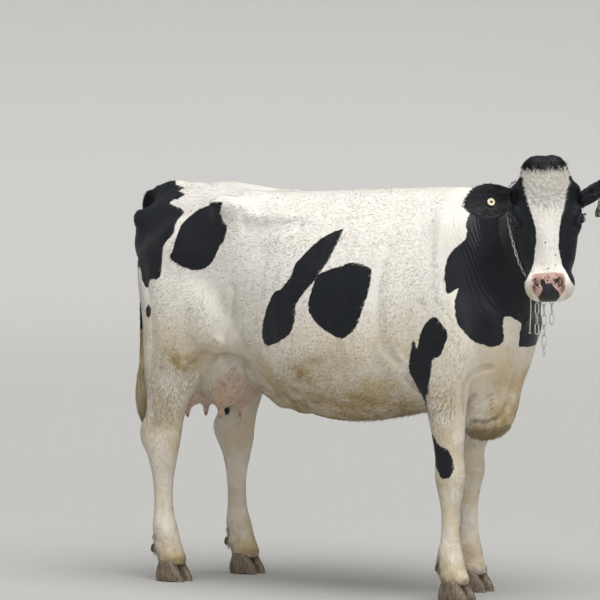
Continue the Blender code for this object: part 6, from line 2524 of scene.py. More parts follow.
@dataclass
class LongHair:
    """Locks of long hair: poll, forehead, ears, the tail's switch, belly, fetlocks and lashes."""

    hide: Hide
    finish: bpy.types.Material | None = None

    def grow_locks(self, name: str, roots: np.ndarray, ways: np.ndarray, lengths: np.ndarray,
                   widths: np.ndarray, places: int, fall: float, curl: float, seed: int,
                   clear: float = 0.0015) -> tuple[np.ndarray, np.ndarray]:
        """Grows locks that start one way, fall, curl, and stay off the hide.

        Args:
            name: for the log.
            roots: where each starts.
            ways: which way each starts.
            lengths: how long each is.
            widths: how wide each is at its root.
            places: how many places a lock has.
            fall: how much it turns down along its length.
            curl: how much it wanders.
            seed: for the wandering.
            clear: how far it stays off the hide.

        Returns:
            The paths and the widths at each place but the tip.
        """
        rng = np.random.default_rng(seed)
        count = len(roots)
        way = unit(ways)
        at = roots.copy()
        paths = [at.copy()]
        stride = (lengths / (places - 1))[:, None]
        wander = rng.normal(0.0, 1.0, (count, 3))
        for k in range(1, places):
            wander = 0.55 * wander + rng.normal(0.0, 0.8, (count, 3))
            way = unit(way + np.array([0.0, 0.0, -fall]) + wander * curl)
            at = at + way * stride
            if clear > 0:
                at = self.push_out(at, clear * (0.4 + 0.6 * k / places))
                way = unit(at - paths[-1])
            paths.append(at.copy())
        taper = np.array([1.0 - 0.75 * (k / (places - 1)) ** 1.6 for k in range(places - 1)])
        LOG.info("%s: %d locks", name, count)
        return np.stack(paths, axis=1), widths[:, None] * taper[None]

    def push_out(self, at: np.ndarray, clear: float) -> np.ndarray:
        """Moves places that are in the hide, or too near it, out to its surface.

        Args:
            at: the places.
            clear: how far off the hide they have to be.

        Returns:
            The moved places.
        """
        moved = at.copy()
        for i, place in enumerate(at):
            near, normal, _, _ = self.cover().find_nearest(Vector(place), 0.03)
            if near is None:
                continue
            height = (Vector(place) - near).dot(normal)
            if height < clear:
                moved[i] = place + np.array(normal) * (clear - height)
        return moved

    def cover(self) -> BVHTree:
        """Gives the hide's surface for near searches.

        Returns:
            The hide's search tree, which is built once.
        """
        if not hasattr(self, "_cover"):
            self._cover = bvh_of(self.hide.piece)
        return self._cover

    def piece(self, name: str, paths: np.ndarray, widths: np.ndarray, normals: np.ndarray, source: np.ndarray,
              thick: float = 0.35, ink: dict | None = None) -> bpy.types.Object:
        """Makes a piece of long locks, coloured as the hide is at their roots.

        Args:
            name: the piece's name.
            paths: each lock's places.
            widths: its widths.
            normals: the way that its ridge faces.
            source: the number of the hide's point that each takes its colour from.
            thick: its height as a share of its width.
            ink: layers to set instead, the same for every lock or one number for each.

        Returns:
            The piece.
        """
        points, faces = locks(paths, normals, widths, thick)
        made = from_arrays(name, inside_box(points), faces)
        each = (paths.shape[1] - 1) * 3 + 1
        pelt = self.hide.pelt
        rng = np.random.default_rng(len(source))
        give(made.data, "rest", np.repeat(pelt.points[source], each, axis=0))
        give(made.data, "facing", np.repeat(normals, each, axis=0))
        give(made.data, "tone", np.repeat(rng.random(len(source)), each))
        for layer in LAYERS:
            values = pelt.layers[layer][source]
            if ink and layer in ink:
                values = np.broadcast_to(ink[layer], values.shape)
            give(made.data, layer, np.repeat(values, each))
        uv = self.root_uv(source)
        lay_patches(made.data, uv, faces, each)
        return dress(made, self.finish)

    def root_uv(self, source: np.ndarray) -> np.ndarray:
        """Gives each chosen point's place on the hide's unwrap.

        Args:
            source: the points' numbers.

        Returns:
            A row for each.
        """
        unwrap = self.hide.unwrap
        if not hasattr(self, "_uv"):
            self._uv = np.zeros((len(self.hide.pelt.points), 2))
            self._uv[unwrap.corner_point] = unwrap.zone_uv
        return self._uv[source]

    def pick(self, mask: np.ndarray, weight: np.ndarray, count: int, seed: int) -> np.ndarray:
        """Picks points of the hide at random.

        Args:
            mask: which may be picked.
            weight: how likely each is.
            count: how many to pick.
            seed: for the choice.

        Returns:
            Their numbers.
        """
        rng = np.random.default_rng(seed)
        chosen = np.flatnonzero(mask & (weight > 0))
        share = weight[chosen] / weight[chosen].sum()
        return rng.choice(chosen, count, p=share)

    def poll(self) -> bpy.types.Object:
        """Makes the black tuft on the poll, which hangs over the top of the forehead.

        Returns:
            The piece.
        """
        pelt, head = self.hide.pelt, self.hide.skin.head
        local = head.local(pelt.points)
        on_top = ((local[:, 0] > -0.03) & (local[:, 0] < 0.042) & (np.abs(local[:, 1]) < 0.074)
                  & (local[:, 2] > -0.16) & (local[:, 2] < 0.05) & (pelt.zone == Zone.HEAD.value))
        weight = np.exp(-((local[:, 1] / 0.055) ** 2)) * np.exp(-(((local[:, 2] + 0.03) / 0.07) ** 2))
        roots = self.pick(on_top, weight, count=1500, seed=31)
        rng = np.random.default_rng(32)
        jitter = rng.normal(0, 0.0022, (len(roots), 3))
        start = pelt.points[roots] + jitter - pelt.normals[roots] * 0.0015
        out = head.way((0.35, 0.0, 1.0))
        side = head.way((0.0, 1.0, 0.0))
        spread = local[roots, 1] * 1.2 + rng.normal(0, 0.16, len(roots))
        ways = pelt.normals[roots] * 0.35 + out * 0.75 + side * spread[:, None]
        lengths = rng.uniform(0.020, 0.042, len(roots)) * (1 - 0.25 * np.clip(-local[roots, 2] / 0.10, 0, 1))
        widths = rng.uniform(0.0016, 0.0034, len(roots))
        paths, widths = self.grow_locks("poll", start, ways, lengths, widths,
                                        places=6, fall=0.50, curl=0.15, seed=33)
        ceiling = CAD_BOX[1][2] - 0.0015 - 3.6 * (paths @ side - start.mean(axis=0) @ side) ** 2
        over = np.maximum(paths[:, :, 2] - ceiling + 0.016, 0.0)
        paths[:, :, 2] += 0.016 * (1 - np.exp(-over / 0.016)) - over
        return self.piece("poll_tuft", paths, widths, pelt.normals[roots], roots,
                          ink={"black": 0.05, "cream": 0.0})

    def forehead(self) -> bpy.types.Object:
        """Makes the curls that run out from the whorl between and above the eyes, with painted shade in the
        troughs of their waves.

        Returns:
            The piece.
        """
        pelt, head = self.hide.pelt, self.hide.skin.head
        local = head.local(pelt.points)
        place = (pelt.zone == Zone.HEAD.value) & (local[:, 2] > -0.05)
        weight = np.exp(-(((local[:, 0] - 0.110) / 0.062) ** 2) - (local[:, 1] / 0.075) ** 2)
        roots = self.pick(place & (weight > 0.03), weight, count=3200, seed=41)
        rng = np.random.default_rng(42)
        start = pelt.points[roots] + rng.normal(0, 0.0014, (len(roots), 3)) - pelt.normals[roots] * 0.001
        side = np.cross(pelt.normals[roots], pelt.combed[roots])
        down, across = local[roots, 0], np.abs(local[roots, 1])
        swirl = 1.1 * np.sin(down * 2 * math.pi / 0.034 + 2.4 * np.sin(across * 2 * math.pi / 0.042))
        turned = swirl * np.sign(local[roots, 1]) + rng.normal(0, 0.22, len(roots))
        whorl = np.hypot(down - 0.150, across) < 0.022
        turned = np.where(whorl, rng.uniform(-math.pi, math.pi, len(roots)), turned)
        wave = 0.5 + 0.5 * np.sin(down * 2 * math.pi / 0.0135
                                  + 3.2 * np.sin(across * 2 * math.pi / 0.060 + 0.6))
        start += pelt.normals[roots] * (0.0030 * wave * weight[roots])[:, None]
        ways = (pelt.combed[roots] * np.cos(turned)[:, None] + side * np.sin(turned)[:, None]
                + pelt.normals[roots] * rng.uniform(0.10, 0.30, len(roots))[:, None])
        lengths = rng.uniform(0.012, 0.022, len(roots)) * (0.45 + 0.55 * weight[roots])
        widths = rng.uniform(0.0018, 0.0030, len(roots)) * (0.6 + 0.4 * weight[roots])
        paths, widths = self.grow_locks("forehead", start, ways, lengths, widths,
                                        places=4, fall=0.05, curl=0.10, seed=43, clear=0.0012)
        # Painted shade: the creamy tint laid darker in the troughs of the waves and lighter on their crests.
        shaded = np.clip(0.02 + 0.40 * (1.0 - wave) * np.minimum(1.0, 1.6 * weight[roots]), 0, 1)
        return self.piece("forehead_curls", paths, widths, pelt.normals[roots], roots, ink={"cream": shaded})

    def blaze_tips(self) -> bpy.types.Object:
        """Makes the white tips that stand up over the lower edge of the poll's tuft.

        Returns:
            The piece.
        """
        pelt, head = self.hide.pelt, self.hide.skin.head
        local = head.local(pelt.points)
        place = ((pelt.zone == Zone.HEAD.value) & (local[:, 2] > -0.05) & (local[:, 0] > 0.056)
                 & (local[:, 0] < 0.074) & (np.abs(local[:, 1]) < 0.080))
        clumps = 0.15 + np.clip(np.sin(local[:, 1] * 310.0) + 0.6 * np.sin(local[:, 1] * 171.0 + 1.0), 0, 1)
        roots = self.pick(place, clumps, count=170, seed=45)
        rng = np.random.default_rng(46)
        start = pelt.points[roots] - pelt.normals[roots] * 0.001
        up = head.way((-1.0, 0.0, 0.0))
        lean = head.way((0.0, 1.0, 0.0)) * rng.normal(0, 0.22, len(roots))[:, None]
        ways = up + lean + pelt.normals[roots] * rng.uniform(0.5, 0.9, len(roots))[:, None]
        lengths = rng.uniform(0.008, 0.022, len(roots))
        widths = rng.uniform(0.0014, 0.0024, len(roots))
        paths, widths = self.grow_locks("blaze tips", start, ways, lengths, widths,
                                        places=5, fall=-0.03, curl=0.08, seed=47, clear=0.003)
        return self.piece("blaze_tips", paths, widths, pelt.normals[roots], roots,
                          ink={"black": -0.05, "cream": 0.15})

    def ears(self) -> list[bpy.types.Object]:
        """Makes the long hair inside each ear and the fringe on its rim.

        Returns:
            A piece for each ear.
        """
        pelt, head = self.hide.pelt, self.hide.skin.head
        made = []
        for ear in EARS:
            chosen = np.flatnonzero(pelt.zone == ear.zone.value)
            across = ear.across
            ring = np.arange(len(chosen)) % (2 * across)
            share = np.repeat(0.06 + 0.94 * np.linspace(0, 1, ear.rings) ** 0.92, 2 * across)
            turn = np.where(ring < across, ring / (across - 1),
                            (2 * across - 1 - ring) / (across - 1)) * 2 - 1
            inner = ring >= across
            weight = np.where(inner, (0.25 + np.abs(turn) ** 2 * 1.6) * (0.25 + (1 - share) * 0.9), 0.0)
            weight += np.where(np.abs(turn) > 0.93, 1.7, 0.0) * (share > 0.15)
            picked = self.pick(np.isin(np.arange(len(pelt.points)), chosen),
                               self.spread_out(chosen, weight), count=950, seed=51 + ear.zone.value)
            order = np.searchsorted(chosen, picked)
            rng = np.random.default_rng(52 + ear.zone.value)
            _, along, opens, wide = ear.axes(head)
            lean = turn[order]
            ways = (along[None] * (0.75 + 0.25 * rng.random(len(picked)))[:, None]
                    + opens[None] * (0.45 * (1 - np.abs(lean)) + 0.18)[:, None]
                    + wide[None] * (-0.55 * lean * (np.abs(lean) < 0.93)
                                    + 0.35 * lean * (np.abs(lean) >= 0.93))[:, None]
                    + rng.normal(0, 0.12, (len(picked), 3)))
            lengths = np.where(np.abs(lean) > 0.93, rng.uniform(0.010, 0.019, len(picked)),
                               rng.uniform(0.018, 0.040, len(picked)))
            lengths = lengths * (0.65 + 0.35 * (1 - share[order]))
            widths = rng.uniform(0.0012, 0.0022, len(picked))
            start = pelt.points[picked] - pelt.normals[picked] * 0.0008
            paths, widths = self.grow_locks(ear.name, start, ways, lengths, widths,
                                            places=4, fall=0.10, curl=0.08, seed=53, clear=0.0006)
            made.append(self.piece(f"hair_{ear.name}", paths, widths,
                                   np.repeat(opens[None], len(picked), axis=0), picked))
        return made

    def spread_out(self, chosen: np.ndarray, weight: np.ndarray) -> np.ndarray:
        """Writes the weights of some points into an array for all of them.

        Args:
            chosen: the points' numbers.
            weight: their weights.

        Returns:
            The weights of all points.
        """
        every = np.zeros(len(self.hide.pelt.points))
        every[chosen] = weight
        return every

    def switch(self) -> bpy.types.Object:
        """Makes the tail's switch, the long hair below the end of its bone.

        Returns:
            The piece.
        """
        pelt = self.hide.pelt
        low, high = (np.array(corner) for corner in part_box("tail_switch"))
        middle = (low + high) / 2
        tail = (pelt.zone == Zone.TAIL.value) & (pelt.points[:, 2] < high[2] + 0.14)
        weight = np.clip((high[2] + 0.15 - pelt.points[:, 2]) / 0.15, 0.05, 1.0)
        roots = self.pick(tail, weight, count=900, seed=61)
        rng = np.random.default_rng(62)
        start = pelt.points[roots] - pelt.normals[roots] * 0.001
        places = 9
        goal = low[2] + rng.beta(1.2, 2.2, len(roots)) * (high[2] - low[2]) * 0.85
        spread = rng.normal(0, 1, (len(roots), 2))
        spread /= np.maximum(1.0, np.linalg.norm(spread, axis=1))[:, None]
        half = (high - low) / 2
        paths = np.zeros((len(roots), places, 3))
        phase = rng.uniform(0, 2 * math.pi, (len(roots), 2))
        for k in range(places):
            t = k / (places - 1)
            z = start[:, 2] + (goal - start[:, 2]) * t
            down = np.clip((high[2] - z) / (high[2] - low[2]), 0, 1)
            full = np.interp(down, [0, 0.2, 0.5, 0.75, 1.0], [0.5, 0.78, 0.90, 0.75, 0.12])
            follow = np.clip(t * 2.2, 0, 1)
            for axis in (0, 1):
                wave = 0.10 * np.sin(phase[:, axis] + down * 9.0)
                wide, ahead = SWITCH_SPREAD[axis]
                aim = middle[axis] + ahead + half[axis] * wide * full * (spread[:, axis] * 0.95 + wave)
                paths[:, k, axis] = start[:, axis] * (1 - follow) + aim * follow
            paths[:, k, 2] = z
        taper = np.array([1.0 - 0.7 * (k / (places - 1)) ** 1.5 for k in range(places - 1)])
        widths = rng.uniform(0.0026, 0.0050, len(roots))[:, None] * taper[None]
        outward = unit(np.concatenate([spread, np.zeros((len(roots), 1))], axis=1) + 1e-3)
        down = np.clip((high[2] + 0.05 - start[:, 2]) / 0.12, 0, 1)
        ink = {"black": -0.05, "cream": 1.0, "stain": 0.25 + 0.55 * rng.random(len(roots)) * down,
               "dark": -0.05}
        return self.piece("switch", paths, widths, outward, roots, ink=ink)

    def fetlocks(self) -> bpy.types.Object:
        """Makes the fringe over the coronets and the longer hair behind the fetlocks.

        Returns:
            The piece.
        """
        pelt = self.hide.pelt
        legs = np.isin(pelt.zone, [zone.value for zone in LEG_ZONES])
        z = pelt.points[:, 2]
        crown = legs & (z > 0.078) & (z < 0.100)
        behind = legs & (z > 0.105) & (z < 0.175) & (pelt.normals[:, 0] < -0.35)
        weight = np.where(crown, 1.0, 0.0) + np.where(behind, 0.8, 0.0)
        roots = self.pick(crown | behind, weight, count=2600, seed=71)
        rng = np.random.default_rng(72)
        start = pelt.points[roots] - pelt.normals[roots] * 0.001
        ways = pelt.normals[roots] * 0.5 + np.array([0.0, 0.0, -1.0]) + rng.normal(0, 0.15, (len(roots), 3))
        lengths = np.where(behind[roots], rng.uniform(0.014, 0.026, len(roots)),
                           rng.uniform(0.008, 0.014, len(roots)))
        widths = rng.uniform(0.0016, 0.0028, len(roots))
        paths, widths = self.grow_locks("fetlocks", start, ways, lengths, widths,
                                        places=3, fall=0.35, curl=0.06, seed=73, clear=0.001)
        return self.piece("fetlock_hair", paths, widths, pelt.normals[roots], roots)

    def belly(self) -> bpy.types.Object:
        """Makes the longer hair along the middle of the belly and under the brisket.

        Returns:
            The piece.
        """
        pelt = self.hide.pelt
        table = pelt.points - np.array(SHIFT)
        under = (pelt.zone == Zone.BARREL.value) & (pelt.normals[:, 2] < -0.55) & (pelt.layers["bare"] < 0.2)
        middle = np.exp(-((table[:, 1] / 0.060) ** 2)) * ((table[:, 0] > 0.85) & (table[:, 0] < 1.75))
        brisket = np.exp(-(((table[:, 0] - 1.50) / 0.16) ** 2)) * (table[:, 2] < 0.80)
        brisket = brisket * np.exp(-((table[:, 1] / 0.11) ** 2))
        weight = 0.6 * middle + 1.4 * brisket
        roots = self.pick(under & (weight > 0.15), weight, count=2400, seed=81)
        rng = np.random.default_rng(82)
        start = pelt.points[roots] - pelt.normals[roots] * 0.001
        ways = pelt.combed[roots] + pelt.normals[roots] * 0.22 + rng.normal(0, 0.12, (len(roots), 3))
        lengths = rng.uniform(0.012, 0.024, len(roots))
        widths = rng.uniform(0.0014, 0.0024, len(roots))
        paths, widths = self.grow_locks("belly", start, ways, lengths, widths,
                                        places=4, fall=0.20, curl=0.06, seed=83, clear=0.001)
        return self.piece("belly_hair", paths, widths, pelt.normals[roots], roots)

    def lashes(self) -> bpy.types.Object:
        """Makes the lashes of both eyes.

        Returns:
            The piece.
        """
        starts, ways, lengths, normals = [], [], [], []
        rng = np.random.default_rng(91)
        for eye in self.hide.eyes:
            lids = Lids(eye)
            for upper, count in ((True, 64), (False, 26)):
                for t in np.linspace(0.08, 0.92, count):
                    turn = math.pi * t if upper else -math.pi * t
                    at = lids.on_ball(lids.opening(turn, 1.03), lids.rim * 0.9)
                    starts.append(eye.world(np.array(at)))
                    lean = math.cos(turn) * 0.5 + rng.normal(0, 0.10)
                    rise = (0.22 if upper else -0.35) + rng.normal(0, 0.08)
                    ways.append(eye.inward * lean + eye.upward * rise + eye.sight)
                    full = (0.019 if upper else 0.008) * rng.uniform(0.75, 1.15)
                    lengths.append(full * (0.55 + 0.45 * math.sin(math.pi * t)))
                    normals.append(eye.upward)
        starts, ways, lengths, normals = (np.array(v) for v in (starts, ways, lengths, normals))
        nearest = np.array([int(np.argmin(np.sum((self.hide.pelt.points - s) ** 2, axis=1))) for s in starts])
        widths = np.full(len(starts), LASH_WIDTH)
        paths, widths = self.grow_locks("lashes", starts, ways, lengths, widths,
                                        places=5, fall=0.20, curl=0.02, seed=92, clear=0.0)
        return self.piece("lashes", paths, widths, normals, nearest,
                          ink={"black": 0.05, "bare": 0.0, "dark": 0.05})

    def build(self) -> list[bpy.types.Object]:
        """Makes every piece of long hair.

        Returns:
            The pieces.
        """
        self.finish = bpy.data.materials["coat"]
        return [self.poll(), self.forehead(), self.blaze_tips(), *self.ears(), self.switch(),
                self.fetlocks(), self.belly(), self.lashes()]


# ---------------------------------------------------------------- eyes, claws, chain and tags


def lathe(name: str, frame_of: Matrix, profile: Sequence[tuple[float, float]],
          around: int) -> bpy.types.Object:
    """Turns a profile round the frame's z into a closed body.

    Args:
        name: the object's name.
        frame_of: the frame.
        profile: radius and height rows from one end to the other.
        around: how many points round it.

    Returns:
        The object.
    """
    rings = []
    for radius, height in profile:
        rings.append([frame_of @ Vector((radius * math.cos(a), radius * math.sin(a), height))
                      for a in np.arange(around) / around * 2 * math.pi])
    return loft(name, rings)


def swept(path: np.ndarray, radius: float, around: int, normal: np.ndarray) -> tuple[np.ndarray, np.ndarray]:
    """Sweeps a round wire along a closed flat path.

    Args:
        path: its places.
        radius: the wire's.
        around: points round the wire.
        normal: the way that the path's plane faces.

    Returns:
        The points, and the faces as rows of four point numbers.
    """
    count = len(path)
    along = unit(np.roll(path, -1, axis=0) - np.roll(path, 1, axis=0))
    out = np.cross(along, normal)
    turn = np.arange(around) / around * 2 * math.pi
    points = (path[:, None] + radius * (np.cos(turn)[None, :, None] * out[:, None]
                                        + np.sin(turn)[None, :, None] * normal))
    i, j = np.meshgrid(np.arange(count), np.arange(around), indexing="ij")
    a, b = i * around + j, i * around + (j + 1) % around
    c, d = (i + 1) % count * around + (j + 1) % around, (i + 1) % count * around + j
    return points.reshape(-1, 3), np.stack([a, b, c, d], axis=-1).reshape(-1, 4)


@dataclass
class Eyeball:
    """One eyeball with its cornea, in the socket behind the lids."""

    eye: EyePlace
    cornea: float = 0.0009
    rings: int = 56
    around: int = 72

    def build(self, finish: bpy.types.Material) -> bpy.types.Object:
        """Makes the ball, with how far each point is from the line of sight for its iris and pupil.

        Args:
            finish: the eye's material.

        Returns:
            The ball.
        """
        rings = []
        for angle in np.linspace(0.02, math.pi - 0.02, self.rings):
            radius = EYE_RADIUS - 0.0003
            away = radius * math.sin(angle)
            bulge = self.cornea * math.exp(-((away / 0.0115) ** 4)) if angle < math.pi / 2 else 0.0
            rings.append([Vector(self.eye.world(np.array((away * math.cos(a), away * math.sin(a),
                                                          (radius + bulge) * math.cos(angle)))))
                          for a in np.arange(self.around) / self.around * 2 * math.pi])
        ball = loft(f"ball_{self.eye.name}", rings)
        local = self.eye.local(read_points(ball.data))
        give(ball.data, "inward", local[:, 0])
        give(ball.data, "upward", local[:, 1])
        give(ball.data, "ahead", local[:, 2])
        return dress(ball, finish)


@dataclass(frozen=True)
class EyeFinish:
    """A wet dark brown eye with a wide pupil."""

    iris: tuple = shade(0.020, 0.0095, 0.0050)
    deep: tuple = shade(0.0050, 0.0030, 0.0024)
    pupil: tuple = shade(0.0012, 0.0014, 0.0022)
    white: tuple = shade(0.30, 0.235, 0.20)

    def make(self) -> bpy.types.Material:
        """Builds the material.

        Returns:
            The material.
        """
        n = Nodes("eye")
        x, y = n.layer("inward"), n.layer("upward")
        wide = n.math("POWER", n.math("DIVIDE", x, 0.0082), 2.0)
        high = n.math("POWER", n.math("DIVIDE", y, 0.0046), 2.0)
        pupil = n.ramp(n.math("ADD", wide, high), 0.80, 1.15, 1.0, 0.0)
        away = n.math("SQRT", n.math("ADD", n.math("POWER", x, 2.0), n.math("POWER", y, 2.0)))
        spokes = n.noise(420.0, 3.0, 0.6)
        iris = n.mix(n.ramp(spokes, 0.35, 0.65), self.iris, self.deep)
        iris = n.mix(n.ramp(away, 0.0108, 0.0136), iris, self.deep)
        colour = n.mix(pupil, iris, self.pupil)
        edge = n.math("MAXIMUM", n.ramp(away, 0.0152, 0.0166), n.ramp(n.layer("ahead"), 0.010, 0.004))
        colour = n.mix(edge, colour, self.white)
        return n.finish(Base_Color=colour, Roughness=0.06, Specular_IOR_Level=0.6, Coat_Weight=1.0,
                        Coat_Roughness=0.02)


@dataclass
class Claw:
    """One claw of a foot, on the solid that it takes the place of."""

    node: str
    rings: int = 30
    around: int = 44

    def build(self, finish: bpy.types.Material) -> bpy.types.Object:
        """Makes the claw's horn with its growth rings, a flatter inner wall and a rounded toe.

        Args:
            finish: the horn.

        Returns:
            The claw.
        """
        low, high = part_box(self.node)
        x0, y0 = low.x - CLAW_BACK, (low.y + high.y) / 2
        inner = -1.0 if self.node.endswith("left") else 1.0  # the side that faces the foot's other claw
        rows = eased(CLAW_PROFILE, self.rings)
        rows[0] = CLAW_PROFILE[0]
        rings = []
        for z, rear, fore, share in rows:
            grown = 1 + 0.011 * math.sin(z * 1500) * (1 if 0.006 < z < 0.07 else 0)
            across, along = superellipse(CLAW_WIDTH / 2 * share, fore, -rear, 1.9, 2.6, self.around)
            ring = []
            for u, v in zip(across, along):
                u, v = u * grown, min(v * grown, CLAW_FRONT - 0.0002)
                if u * inner > 0:
                    u *= 0.93
                bend = inner * 0.0035 * max(0.0, v / CLAW_FRONT) ** 2
                half = (high.y - low.y) / 2 - 0.0002
                x = x0 + max(v, CLAW_BACK + 0.0002)
                ring.append(Vector((x, y0 + float(np.clip(u + bend, -half, half)), z)))
            rings.append(ring)
        edge = [Vector((x0 + (p.x - x0) * 0.94, y0 + (p.y - y0) * 0.93, 0.0)) for p in rings[0]]
        rings[0] = [Vector((p.x, p.y, 0.003)) for p in rings[0]]
        return dress(loft(f"horn_{self.node}", [edge, *rings]), finish)


@dataclass
class Dewclaw:
    """One of the two small claws behind a fetlock."""

    node: str
    rings: int = 14

    def build(self, finish: bpy.types.Material) -> bpy.types.Object:
        """Makes the horn, with a blunt tip.

        Args:
            finish: the horn.

        Returns:
            The dewclaw.
        """
        at = Vector(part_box(self.node)[0]) / 2 + Vector(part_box(self.node)[1]) / 2
        lean = Vector((-0.35, 0, -0.94))
        rings = []
        for t in np.linspace(0, 1, self.rings):
            radius = float(read_off(((0.0, 0.93), (0.3, 0.99), (0.6, 0.88), (0.85, 0.62), (1.0, 0.22)), t))
            radius *= 1 + 0.02 * math.sin(t * 22)
            middle = at + lean * DEWCLAW_LENGTH * (t - 0.5) * 0.96
            rings.append([middle + Vector((math.cos(a), math.sin(a) * 0.9, 0)) * DEWCLAW_RADIUS * radius
                          for a in np.arange(24) / 24 * 2 * math.pi])
        return dress(loft(f"horn_{self.node}", rings), finish)


CLAW_WIDTH, CLAW_BACK, CLAW_FRONT = 0.052, -0.051, 0.072
CLAW_PROFILE = (  # z, back, front and share of the width, from the sole up
    (0.000, -0.046, 0.072, 0.94),
    (0.022, -0.051, 0.064, 1.02),
    (0.056, -0.044, 0.040, 0.94),
    (0.074, -0.034, 0.027, 0.80),
    (0.084, -0.018, 0.014, 0.50),
)
DEWCLAW_RADIUS, DEWCLAW_LENGTH = 0.0145, 0.034


class ChainSize(NamedTuple):
    """A chain's links: their length and width outside, the wire's radius, and the step between them."""

    length: float
    width: float
    wire: float
    pitch: float


NECK_LINKS = ChainSize(0.0215, 0.0105, 0.00145, 0.0175)
END_LINKS = ChainSize(0.0405, 0.0180, 0.00200, 0.0360)
THIRD_END = (0.0220, 0.0165, 0.004)  # from the top of the long end to that of the short third one


@dataclass
class Chain:
    """The chain round the neck, and the two ends that hang from it."""

    top: Vector = field(default_factory=lambda: Vector((1.688, -0.075, 1.500)) + SHIFT)
    low: Vector = field(default_factory=lambda: Vector((1.800, -0.105, 1.120)) + SHIFT)
    side: Vector = field(default_factory=lambda: Vector((0.22, -0.975, 0.0)))
    steps: int = 32

    def route(self) -> np.ndarray:
        """Reads the ring's middle line from its solid.

        Returns:
            Places round the ring, in order.
        """
        middle = (self.top + self.low) / 2
        up = (self.top - self.low).normalized()
        side = (self.side - up * self.side.dot(up)).normalized()
        points = read_points(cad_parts["neck_chain"].data) - np.array(middle)
        turn = np.arctan2(points @ np.array(side), points @ np.array(up))
        slot = np.round(turn / (2 * math.pi / self.steps)).astype(int) % self.steps
        return np.array([points[slot == i].mean(axis=0) + np.array(middle) for i in range(self.steps)])

    def link(self, size: ChainSize) -> np.ndarray:
        """Gives a link's middle line, along x and across y.

        Args:
            size: its measures.

        Returns:
            The places.
        """
        half, bend = size.length / 2 - size.wire, size.width / 2 - size.wire
        turn = np.arange(20) / 20 * 2 * math.pi
        x, y = np.cos(turn), np.sin(turn)
        return np.stack([np.sign(x) * (half - bend) + bend * x, bend * y, 0 * x], axis=1)

    def string_links(self, name: str, places: np.ndarray, ways: np.ndarray, outs: np.ndarray, size: ChainSize,
                     finish: bpy.types.Material, turned: float) -> bpy.types.Object:
        """Makes a chain of links at these places.

        Args:
            name: the piece's name.
            places: each link's middle.
            ways: the way that each runs.
            outs: the way out of what it lies on, there.
            size: the links' measures.
            finish: its metal.
            turned: how far the first link is turned about its length.

        Returns:
            The chain.
        """
        shape = self.link(size)
        points, faces, total = [], [], 0
        for i, (at, way, out) in enumerate(zip(places, ways, outs)):
            across = unit(np.cross(out, way))
            out = np.cross(way, across)
            angle = turned + (math.pi / 2 if i % 2 else 0.0)
            flat = across * math.cos(angle) + out * math.sin(angle)
            normal = np.cross(way, flat)
            path = at + shape[:, :1] * way + shape[:, 1:2] * flat
            p, f = swept(path, size.wire, 8, normal)
            points.append(p)
            faces.append(f + total)
            total += len(p)
        return dress(from_arrays(name, np.concatenate(points), np.concatenate(faces)), finish)

    def round_neck(self, finish: bpy.types.Material) -> bpy.types.Object:
        """Makes the chain that lies round the neck.

        Args:
            finish: its metal.

        Returns:
            The chain.
        """
        route = self.route()
        fine = eased(np.vstack([route[-2:], route, route[:3]]), 37 * 16)
        fine = fine[2 * 16:]
        gaps = np.linalg.norm(np.diff(fine, axis=0), axis=1)
        before = np.concatenate([[0.0], np.cumsum(gaps)])
        start = int(np.argmin(np.linalg.norm(fine[200:] - fine[0], axis=1))) + 200
        length = before[start]
        count = 2 * round(length / NECK_LINKS.pitch / 2)
        at = (np.arange(count) + 0.5) / count * length
        places = np.stack([np.interp(at, before, fine[:, i]) for i in range(3)], axis=1)
        ways = unit(np.roll(places, -1, axis=0) - np.roll(places, 1, axis=0))
        outs = unit(places - np.array((self.top + self.low) / 2))
        return self.string_links("chain_round_neck", places, ways, outs, NECK_LINKS, finish, math.pi / 4)

    def hanging(self, node: str, count: int, turned: float, finish: bpy.types.Material) -> bpy.types.Object:
        """Makes an end of chain that hangs straight down.

        Args:
            node: the solid that it takes the place of.
            count: how many links it has.
            turned: how far its first link is turned.
            finish: its metal.

        Returns:
            The chain.
        """
        low, high = (np.array(corner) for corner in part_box(node))
        top = np.array(((low[0] + high[0]) / 2, (low[1] + high[1]) / 2, high[2]))
        return self.hung(f"links_{node}", top, count, turned, finish)

    def third_end(self, finish: bpy.types.Material) -> bpy.types.Object:
        """Makes the short third end, which is one with the chain round the neck.

        Args:
            finish: the chain's steel.

        Returns:
            The piece.
        """
        low, high = (np.array(corner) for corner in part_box("chain_end_long"))
        top = np.array(((low[0] + high[0]) / 2, (low[1] + high[1]) / 2, high[2])) + np.array(THIRD_END)
        return self.hung("third_end", top, count=3, turned=0.35, finish=finish)

    def hung(self, name: str, top: np.ndarray, count: int, turned: float,
             finish: bpy.types.Material) -> bpy.types.Object:
        """Hangs a run of links straight down from a place.

        Args:
            name: the piece's name.
            top: where it starts.
            count: how many links it has.
            turned: how far its first link is turned.
            finish: its metal.

        Returns:
            The links.
        """
        start = top[2] - END_LINKS.length / 2 + 0.004
        places = np.array([(top[0], top[1], start - i * END_LINKS.pitch) for i in range(count)])
        ways = np.tile((0.0, 0.0, -1.0), (count, 1))
        outs = np.tile((math.sin(0.65), -math.cos(0.65), 0.0), (count, 1))
        return self.string_links(name, places, ways, outs, END_LINKS, finish, turned)


